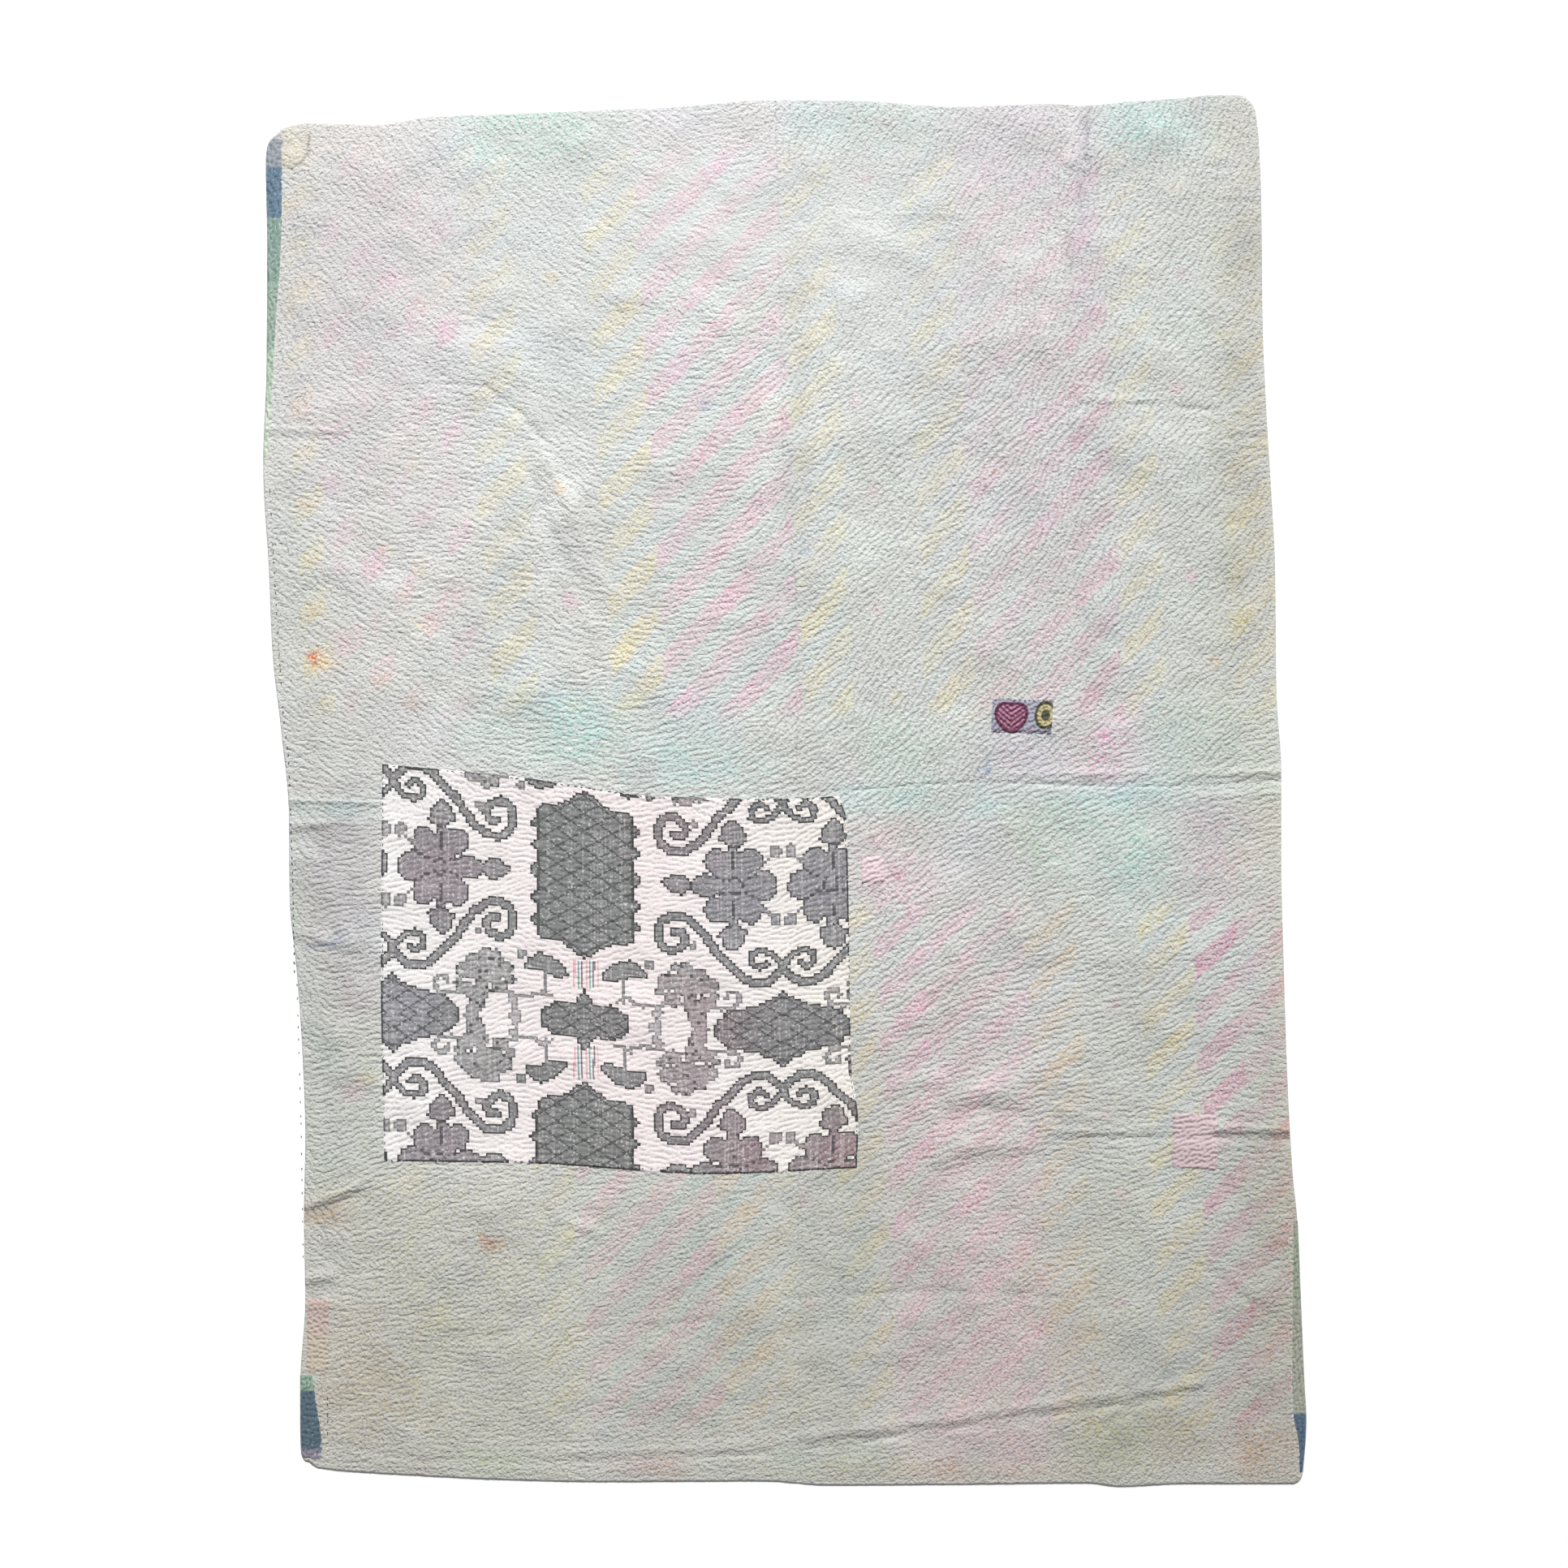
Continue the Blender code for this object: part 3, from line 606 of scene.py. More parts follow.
@dataclass
class Puckers:
    """The hand quilting's wavy ridges, as one raster that every cloth of the quilt shares.

    White noise is passed through a fan of narrow filters, one for each lean of the sewing rows,
    and each place takes the two that are nearest to its own lean.

    Attributes:
        cell: The raster's cell.
        half_width: How far it reaches to each side.
        half_length: How far it reaches up and down.
        wide: The ridges where the rows are wide apart: their pitch, how far they stray from
            their lean in degrees, and how far from their pitch as a share.
        fine: The same where the rows are close.
        fan: How many leans the filters stand for.
        crinkle: From crinkle to crinkle of the cloth between the stitches.
        crinkled: How high the crinkles are, as a share of the ridges.
        lean_reach: How far each row of the table holds, in plan squares.
        slack_near: How high the slack cloth rises and falls from hand to hand, in metres.
        slack_far: The same over wider places.
        seed: The seed of the noise.
    """

    cell: float = 0.00125
    half_width: float = 0.80
    half_length: float = 1.05
    wide: tuple[float, float, float] = (0.0082, 20.0, 0.34)
    fine: tuple[float, float, float] = (0.0070, 15.0, 0.22)
    fan: int = 14
    crinkle: float = 0.0062
    crinkled: float = 0.95
    lean_reach: float = 52.0
    slack_near: float = 0.00042
    slack_far: float = 0.00110
    seed: int = 11
    raster: Array = field(init=False, repr=False)
    slack: Array = field(init=False, repr=False)

    def __post_init__(self) -> None:
        """Makes the raster."""
        columns = int(round(2.0 * self.half_width / self.cell))
        rows = int(round(2.0 * self.half_length / self.cell))
        turn, fine = self.rows_at(rows, columns)
        loose, fine = np.clip(-fine, 0.0, 1.0), np.clip(fine, 0.0, 1.0)
        noise = np.random.default_rng(self.seed).standard_normal((rows, columns))
        spectrum = np.fft.rfft2(noise)
        down = np.fft.fftfreq(rows, self.cell)[:, None]
        across = np.fft.rfftfreq(columns, self.cell)[None, :]
        far = np.hypot(down, across)
        wave_turn = np.arctan2(down, across)
        total = np.zeros((rows, columns))
        for index in range(self.fan):
            lean = math.pi * index / self.fan
            near = np.abs(np.angle(np.exp(2j * (turn - lean)))) / 2.0
            share = np.clip(1.0 - near * self.fan / math.pi, 0.0, 1.0)
            off = np.abs(np.angle(np.exp(2j * (wave_turn - lean - math.pi / 2.0)))) / 2.0
            for (pitch, stray, spread), part in ((self.wide, 1.0 - fine), (self.fine, fine)):
                fan = np.exp(-0.5 * (off / math.radians(stray)) ** 2)
                band = np.exp(-0.5 * ((far * pitch - 1.0) / spread) ** 2)
                ridges = np.fft.irfft2(spectrum * fan * band, s=(rows, columns))
                total += ridges / ridges.std() * share * part
        total = self.evened(total) * (1.0 - 0.5 * loose)
        total += self.crinkles(far, 1.0 - 0.75 * fine + 0.45 * loose)
        total = 1.12 * total / np.sqrt(1.0 + 0.30 * total * total)
        self.raster = total * self.calmed(rows, columns)
        step = 5
        shape = (rows // step + 2, columns // step + 2)
        slack = self.slack_near * soft_noise(shape, 3.6, self.seed + 4)
        slack += self.slack_far * soft_noise(shape, 9.0, self.seed + 5)
        self.slack = self.enlarge(slack, (rows, columns), step)

    def calmed(self, rows: int, columns: int) -> Array:
        """How high the puckers are over the raster, as a share."""
        step = 10
        y, x = np.mgrid[0 : rows + step : step, 0 : columns + step : step].astype(float)
        across, down = to_plan(x * self.cell - self.half_width, y * self.cell - self.half_length)
        share = np.ones(across.shape)
        for calm in CALMS:
            off = ((across - calm.x) / calm.wide) ** 2 + ((down - calm.y) / calm.long) ** 2
            share *= 1.0 + (calm.height - 1.0) * np.exp(-off)
        return self.enlarge(share, (rows, columns), step)

    def crinkles(self, far: Array, share: Array) -> Array:
        """The fine crinkles of the cloth between the stitches.

        Args:
            far: How many waves to a metre each part of the spectrum has.
            share: How strong they are at each place.

        Returns:
            The crinkles, as heights like those of the ridges.
        """
        noise = np.random.default_rng(self.seed + 7).standard_normal(share.shape)
        band = np.exp(-0.5 * ((far * self.crinkle - 1.0) / 0.28) ** 2)
        fine = np.fft.irfft2(np.fft.rfft2(noise) * band, s=share.shape)
        return self.crinkled * 0.7 * share * fine / fine.std()

    def rows_at(self, rows: int, columns: int) -> tuple[Array, Array]:
        """The lean and the closeness of the sewing rows over the raster.

        Args:
            rows: The raster's rows.
            columns: The raster's columns.

        Returns:
            The lean in radians, and the closeness, below 0 where the cloth is crinkled.
        """
        step = 10
        y, x = np.mgrid[0 : rows + step : step, 0 : columns + step : step].astype(float)
        across, down = to_plan(x * self.cell - self.half_width, y * self.cell - self.half_length)
        wobble_x = 14.0 * soft_noise(across.shape, 7.0, self.seed + 1)
        wobble_y = 14.0 * soft_noise(across.shape, 7.0, self.seed + 2)
        turned = np.zeros(across.shape, complex)
        fine = np.zeros(across.shape)
        weight = np.full(across.shape, 1e-9)
        for lean in LEANS:
            off = np.hypot(across + wobble_x - lean.x, down + wobble_y - lean.y)
            near = np.exp(-((off / self.lean_reach) ** 2)) + 1e-6 / (1.0 + off)
            turned += near * np.exp(2j * math.radians(lean.degrees))
            fine += near * lean.fine
            weight += near
        wander = math.radians(7.0) * soft_noise(across.shape, 5.0, self.seed + 3)
        turned = turned / np.abs(turned) * np.exp(2j * wander)
        full = (rows, columns)
        spread = self.enlarge(turned.real, full, step) + 1j * self.enlarge(turned.imag, full, step)
        return np.angle(spread) / 2.0, self.enlarge(fine / weight, full, step)

    @staticmethod
    def enlarge(coarse: Array, shape: tuple[int, int], step: int) -> Array:
        """A coarse raster drawn out to a fine one.

        Args:
            coarse: The coarse raster.
            shape: The fine raster's rows and columns.
            step: How many fine cells there are to a coarse one.

        Returns:
            The fine raster.
        """
        y = np.arange(shape[0]) / step
        x = np.arange(shape[1]) / step
        row, column = y.astype(int), x.astype(int)
        up, along = (y - row)[:, None], (x - column)[None, :]
        low = mix(coarse[row][:, column], coarse[row][:, column + 1], along)
        high = mix(coarse[row + 1][:, column], coarse[row + 1][:, column + 1], along)
        return mix(low, high, up)

    def evened(self, ridges: Array) -> Array:
        """Ridges of a more even height, from about -1 in the valleys to 1 on the crests.

        Args:
            ridges: The ridges as the filters leave them.

        Returns:
            The evened ridges.
        """
        rows, columns = ridges.shape
        down = np.fft.fftfreq(rows)[:, None]
        across = np.fft.rfftfreq(columns)[None, :]
        keep = np.exp(-0.5 * (down * down + across * across) * (2.0 * math.pi * 7.0) ** 2)
        power = np.fft.irfft2(np.fft.rfft2(ridges * ridges) * keep, s=ridges.shape)
        local = np.sqrt(np.clip(power, 0.0, None))
        evened = ridges / (0.25 * ridges.std() + 0.75 * local)
        return evened / np.sqrt(1.0 + 0.35 * evened * evened)

    def at(self, x: Array, y: Array) -> Array:
        """The ridges at places of the quilt, from about -1 to 1."""
        return self.read(self.raster, x, y)

    def slack_at(self, x: Array, y: Array) -> Array:
        """How high the slack cloth lies at places of the quilt, in metres."""
        return self.read(self.slack, x, y)

    def read(self, raster: Array, x: Array, y: Array) -> Array:
        """One of the rasters at places of the quilt.

        Args:
            raster: The raster.
            x: Places across, in metres.
            y: Places up, in metres.

        Returns:
            Its values there.
        """
        across = np.clip((x + self.half_width) / self.cell, 0.0, raster.shape[1] - 1.001)
        up = np.clip((y + self.half_length) / self.cell, 0.0, raster.shape[0] - 1.001)
        column, row = across.astype(int), up.astype(int)
        side, rise = across - column, up - row
        low = mix(raster[row, column], raster[row, column + 1], side)
        high = mix(raster[row + 1, column], raster[row + 1, column + 1], side)
        return mix(low, high, rise)


@dataclass
class QuiltShape:
    """How the quilt lies: its swellings, creases, seams, puckers and hem.

    Attributes:
        puckers: The quilting's ridges.
    """

    puckers: Puckers

    def inside(self, x: Array, y: Array) -> Array:
        """How far each place is inside the quilt's edge."""
        sides = np.minimum(x - LEFT_EDGE.at(y), RIGHT_EDGE.at(y) - x)
        ends = np.minimum(TOP_EDGE.at(x) - y, y - BOTTOM_EDGE.at(x))
        return np.clip(np.minimum(sides, ends), 0.0, None)

    def soft_height(self, x: Array, y: Array) -> Array:
        """The height of the front without its puckers.

        Args:
            x: Places across, in metres.
            y: Places up, in metres.

        Returns:
            The heights in metres.
        """
        lift = np.zeros(x.shape)
        for swelling in SWELLINGS:
            lift += swelling.rise(x, y)
        lowest = LAYERS_LOW + np.clip(lift - BACK_SLACK, 0.0, None)
        height = lift + LAYERS_THICK
        across, down = to_plan(x, y)
        for crease in CREASES:
            height += crease.lift(across, down)
        height += self.puckers.slack_at(x, y) * smoothstep(0.0, 0.05, self.inside(x, y))
        return lowest + LAYERS_SOFT * np.logaddexp(0.0, (height - lowest) / LAYERS_SOFT)

    def seam_dip(self, x: Array, y: Array) -> Array:
        """How far the front is drawn in at its seam and its fold."""
        off_seam = np.abs(x - CENTRE_SEAM.at(y)) / SEAM_REACH
        off_fold = np.abs(y - CROSS_FOLD.at(x)) / SEAM_REACH
        fold = SEAM_DEPTH * smoothstep(-0.9, 0.25, x) * np.exp(-off_fold * off_fold)
        return np.maximum(SEAM_DEPTH * np.exp(-off_seam * off_seam), fold)

    def ridges(self, x: Array, y: Array) -> Array:
        """The quilting's ridges, fading where the hem is sewn down."""
        return self.puckers.at(x, y) * mix(0.45, 1.0, smoothstep(0.0, 0.010, self.inside(x, y)))

    def height(self, x: Array, y: Array) -> Array:
        """The height of the quilt's front.

        Args:
            x: Places across, in metres.
            y: Places up, in metres.

        Returns:
            The heights in metres.
        """
        inside = self.inside(x, y)
        crest = np.sqrt(np.clip(0.5 + 0.52 * self.ridges(x, y), 0.0, 1.0)) - 0.68
        full = self.soft_height(x, y) - self.seam_dip(x, y) + PUCKER_HEIGHT * crest
        full -= (LAYERS_THICK - HEM_THICK) * (1.0 - smoothstep(0.0, HEM_WIDTH, inside))
        rim = np.clip(1.0 - inside / RIM_ROUND, 0.0, 1.0)
        return RIM_LOW + (full - RIM_LOW) * np.sqrt(1.0 - rim * rim)

    def rounded(self, x: Array, y: Array) -> tuple[Array, Array]:
        """The same places, drawn in at the quilt's rounded corners.

        Args:
            x: Places across, in metres.
            y: Places up, in metres.

        Returns:
            The drawn-in places.
        """
        for corner in CORNERS:
            way_x = -1.0 if corner.right else 1.0
            way_y = -1.0 if corner.top else 1.0
            from_side = (x - corner.side.at(y)) * way_x
            from_end = (y - corner.end.at(x)) * way_y
            reach_x = np.clip(1.0 - from_side / corner.radius, 0.0, 1.0)
            reach_y = np.clip(1.0 - from_end / corner.radius, 0.0, 1.0)
            most = np.maximum(reach_x, reach_y)
            far = np.maximum(np.hypot(reach_x, reach_y), 1e-9)
            pull = np.where((reach_x > 0.0) & (reach_y > 0.0), 1.0 - most / far, 0.0)
            x = x + way_x * reach_x * pull * corner.radius
            y = y + way_y * reach_y * pull * corner.radius
        return x, y


class Hue(Enum):
    """The faded dyes, each as what it leaves of the red, green and blue of bare cloth. The grey serves
    for grey tone in some places and for painted shade in others, the dark grey hue is a painted
    shadow, and the palest hue is a painted highlight.
    """

    PINK = (1.048, 0.938, 0.988)
    ROSE = (1.012, 0.900, 0.948)
    YELLOW = (1.038, 1.012, 0.930)
    ORANGE = (1.050, 0.980, 0.900)
    MINT = (0.972, 1.002, 1.006)
    AQUA = (0.915, 1.000, 0.998)
    LILAC = (0.985, 0.962, 1.000)
    GREEN = (0.955, 1.000, 0.965)
    BEIGE = (0.985, 0.960, 0.905)
    # Grey tone in some washes, painted shade in others
    GREY_AND_SHADE = (0.940, 0.940, 0.940)
    BROWN = (0.900, 0.820, 0.760)
    RED = (1.000, 0.700, 0.720)
    BLUE = (0.800, 0.850, 0.950)
    # Painted shadow
    PAINTED_SHADOW = (0.760, 0.750, 0.740)
    # Painted highlight
    PAINTED_HIGHLIGHT = (1.036, 1.036, 1.036)


@dataclass(frozen=True)
class StripeRun:
    """The slanting lines of one cloth, counted in turns about a middle of the plan.

    Attributes:
        x: The middle, across.
        y: The middle, down.
        start: The turn at the middle.
        per_x: Turns for 100 squares across.
        per_y: Turns for 100 squares down.
        bend_x: How the turns change across.
        bend_xy: How they change both ways.
        bend_y: How they change down.
    """

    x: float
    y: float
    start: float
    per_x: float
    per_y: float
    bend_x: float
    bend_xy: float
    bend_y: float

    def turns(self, across: Array, down: Array) -> Array:
        """The turns at places of the plan; the dashes' middles are at whole turns."""
        dx, dy = (across - self.x) / 100.0, (down - self.y) / 100.0
        bend = self.bend_x * dx * dx + self.bend_xy * dx * dy + self.bend_y * dy * dy
        return self.start + self.per_x * dx + self.per_y * dy + bend


@dataclass(frozen=True)
class StripeColumn:
    """A column of dashes: its sides on the plan, its dye, and how strong it and the mint are.

    Attributes:
        left: The left side at the run's reference row.
        right: The right side there.
        hue: The dye of the dashes.
        strength: How strong the dashes are.
        mint: How strong the mint between the dashes is.
        every: 1 where all dashes are dyed, 2 or more where the dye comes and goes.
        late: How many turns later its dashes come.
    """

    left: float
    right: float
    hue: Hue
    strength: float
    mint: float = 0.5
    every: int = 1
    late: float = 0.0


@dataclass(frozen=True)
class StripedCloth:
    """The dashes of one stretch of the front.

    Attributes:
        run: Its slanting lines.
        columns: Its columns of dashes.
        row: The plan's row at which the columns' sides are given.
        lean: How far the columns move to the right for each square down.
        top: Where the dashes start.
        bottom: Where they end.
        left: The stretch's left side on the plan.
        right: Its right side.
        fade: How strong the dye is at the top and at the bottom of the stretch.
    """

    run: StripeRun
    columns: tuple[StripeColumn, ...]
    row: float
    lean: float
    top: float
    bottom: float
    left: float
    right: float
    fade: tuple[float, float] = (1.0, 1.0)


UPPER_LEFT_RUN = StripeRun(772.5, 535, 0.282, 1.480, 1.463, 0.0047, -0.0140, -0.0143)
UPPER_RIGHT_RUN = StripeRun(1265, 535, 0.950, 1.596, 1.545, -0.0057, 0.0323, -0.0247)
LOWER_LEFT_RUN = StripeRun(875, 1597.5, 0.868, 1.566, 1.567, -0.0176, 0.0132, 0.0495)
LOWER_RIGHT_RUN = StripeRun(1325, 1430, 0.339, 1.676, 1.633, -0.0002, -0.0064, -0.0045)

STRIPED_CLOTHS = (
    StripedCloth(UPPER_LEFT_RUN, (
        StripeColumn(338, 372, Hue.YELLOW, 0.42, 0.0, 1, -0.16),
        StripeColumn(386, 414, Hue.PINK, 0.22, 0.1, 2, 0.06),
        StripeColumn(420, 448, Hue.PINK, 0.24, 0.1, 2, 0.12),
        StripeColumn(454, 482, Hue.PINK, 0.22, 0.1, 2, 0.14),
        StripeColumn(488, 516, Hue.PINK, 0.24, 0.1, 2, 0.14),
        StripeColumn(524, 554, Hue.PINK, 0.26, 0.1, 2, 0.10),
        StripeColumn(565, 625, Hue.YELLOW, 0.48, 0.35, 1, 0.01),
        StripeColumn(715, 780, Hue.YELLOW, 0.66, 0.55, 1, 0.02),
        StripeColumn(780, 838, Hue.PINK, 0.60, 0.55, 1, 0.02),
        StripeColumn(838, 898, Hue.PINK, 0.70, 0.50),
        StripeColumn(898, 975, Hue.PINK, 0.58, 0.45, 1, -0.02),
    ), 200, 0.060, 178, 882, 320, 968, (0.58, 1.16)),
    StripedCloth(UPPER_RIGHT_RUN, (
        StripeColumn(900, 958, Hue.PINK, 0.60, 0.35, 1, -0.10),
        StripeColumn(962, 1022, Hue.YELLOW, 0.56, 0.40, 1, -0.05),
        StripeColumn(1110, 1172, Hue.YELLOW, 0.54, 0.40, 1, 0.02),
        StripeColumn(1176, 1236, Hue.PINK, 0.34, 0.20),
        StripeColumn(1240, 1296, Hue.PINK, 0.38, 0.22),
        StripeColumn(1300, 1354, Hue.ROSE, 0.54, 0.35, 1, 0.01),
        StripeColumn(1357, 1408, Hue.YELLOW, 0.52, 0.35),
        StripeColumn(1490, 1570, Hue.YELLOW, 0.38, 0.15, 1, -0.25),
    ), 200, 0.045, 178, 882, 968, 1620, (0.55, 1.18)),
    StripedCloth(LOWER_LEFT_RUN, (
        StripeColumn(475, 530, Hue.YELLOW, 0.16, 0.05, 1, -0.20),
        StripeColumn(640, 690, Hue.YELLOW, 0.40, 0.05, 1, -0.03),
        StripeColumn(695, 755, Hue.PINK, 0.46, 0.35),
        StripeColumn(757, 812, Hue.PINK, 0.46, 0.50, 1, 0.02),
        StripeColumn(814, 862, Hue.PINK, 0.46, 0.90),
        StripeColumn(864, 925, Hue.ORANGE, 0.34, 0.85),
        StripeColumn(925, 985, Hue.YELLOW, 0.28, 0.35, 1, 0.03),
    ), 1120, 0.052, 1380, 1762, 330, 1020, (1.15, 0.80)),
    StripedCloth(LOWER_RIGHT_RUN, (
        StripeColumn(1018, 1072, Hue.YELLOW, 0.48, 0.25, 1, -0.15),
        StripeColumn(1078, 1138, Hue.PINK, 0.54, 0.20, 1, -0.03),
        StripeColumn(1140, 1200, Hue.PINK, 0.40, 0.15),
        StripeColumn(1202, 1262, Hue.PINK, 0.34, 0.12, 1, 0.03),
        StripeColumn(1264, 1326, Hue.ORANGE, 0.34, 0.15, 1, 0.05),
        StripeColumn(1402, 1464, Hue.YELLOW, 0.58, 0.40, 1, 0.03),
        StripeColumn(1467, 1522, Hue.ROSE, 0.64, 0.30),
        StripeColumn(1524, 1580, Hue.ROSE, 0.40, 0.15, 1, 0.10),
        StripeColumn(1582, 1640, Hue.ORANGE, 0.25, 0.10),
    ), 1120, 0.052, 1112, 1762, 1020, 1640, (1.28, 0.82)),
)


@dataclass(frozen=True)
class Wash:
    """A soft cloud of dye on the plan, which also serves for painted highlights and painted shade: its
    middle, its reach each way, its hue and strength.
    """

    x: float
    y: float
    wide: float
    long: float
    hue: Hue
    strength: float

    def share(self, across: Array, down: Array) -> Array:
        """How much of it lies at each place of the plan."""
        dx = np.abs((across - self.x) / self.wide)
        dy = np.abs((down - self.y) / self.long)
        return self.strength * np.exp(-(dx**3.0) - dy**3.0)


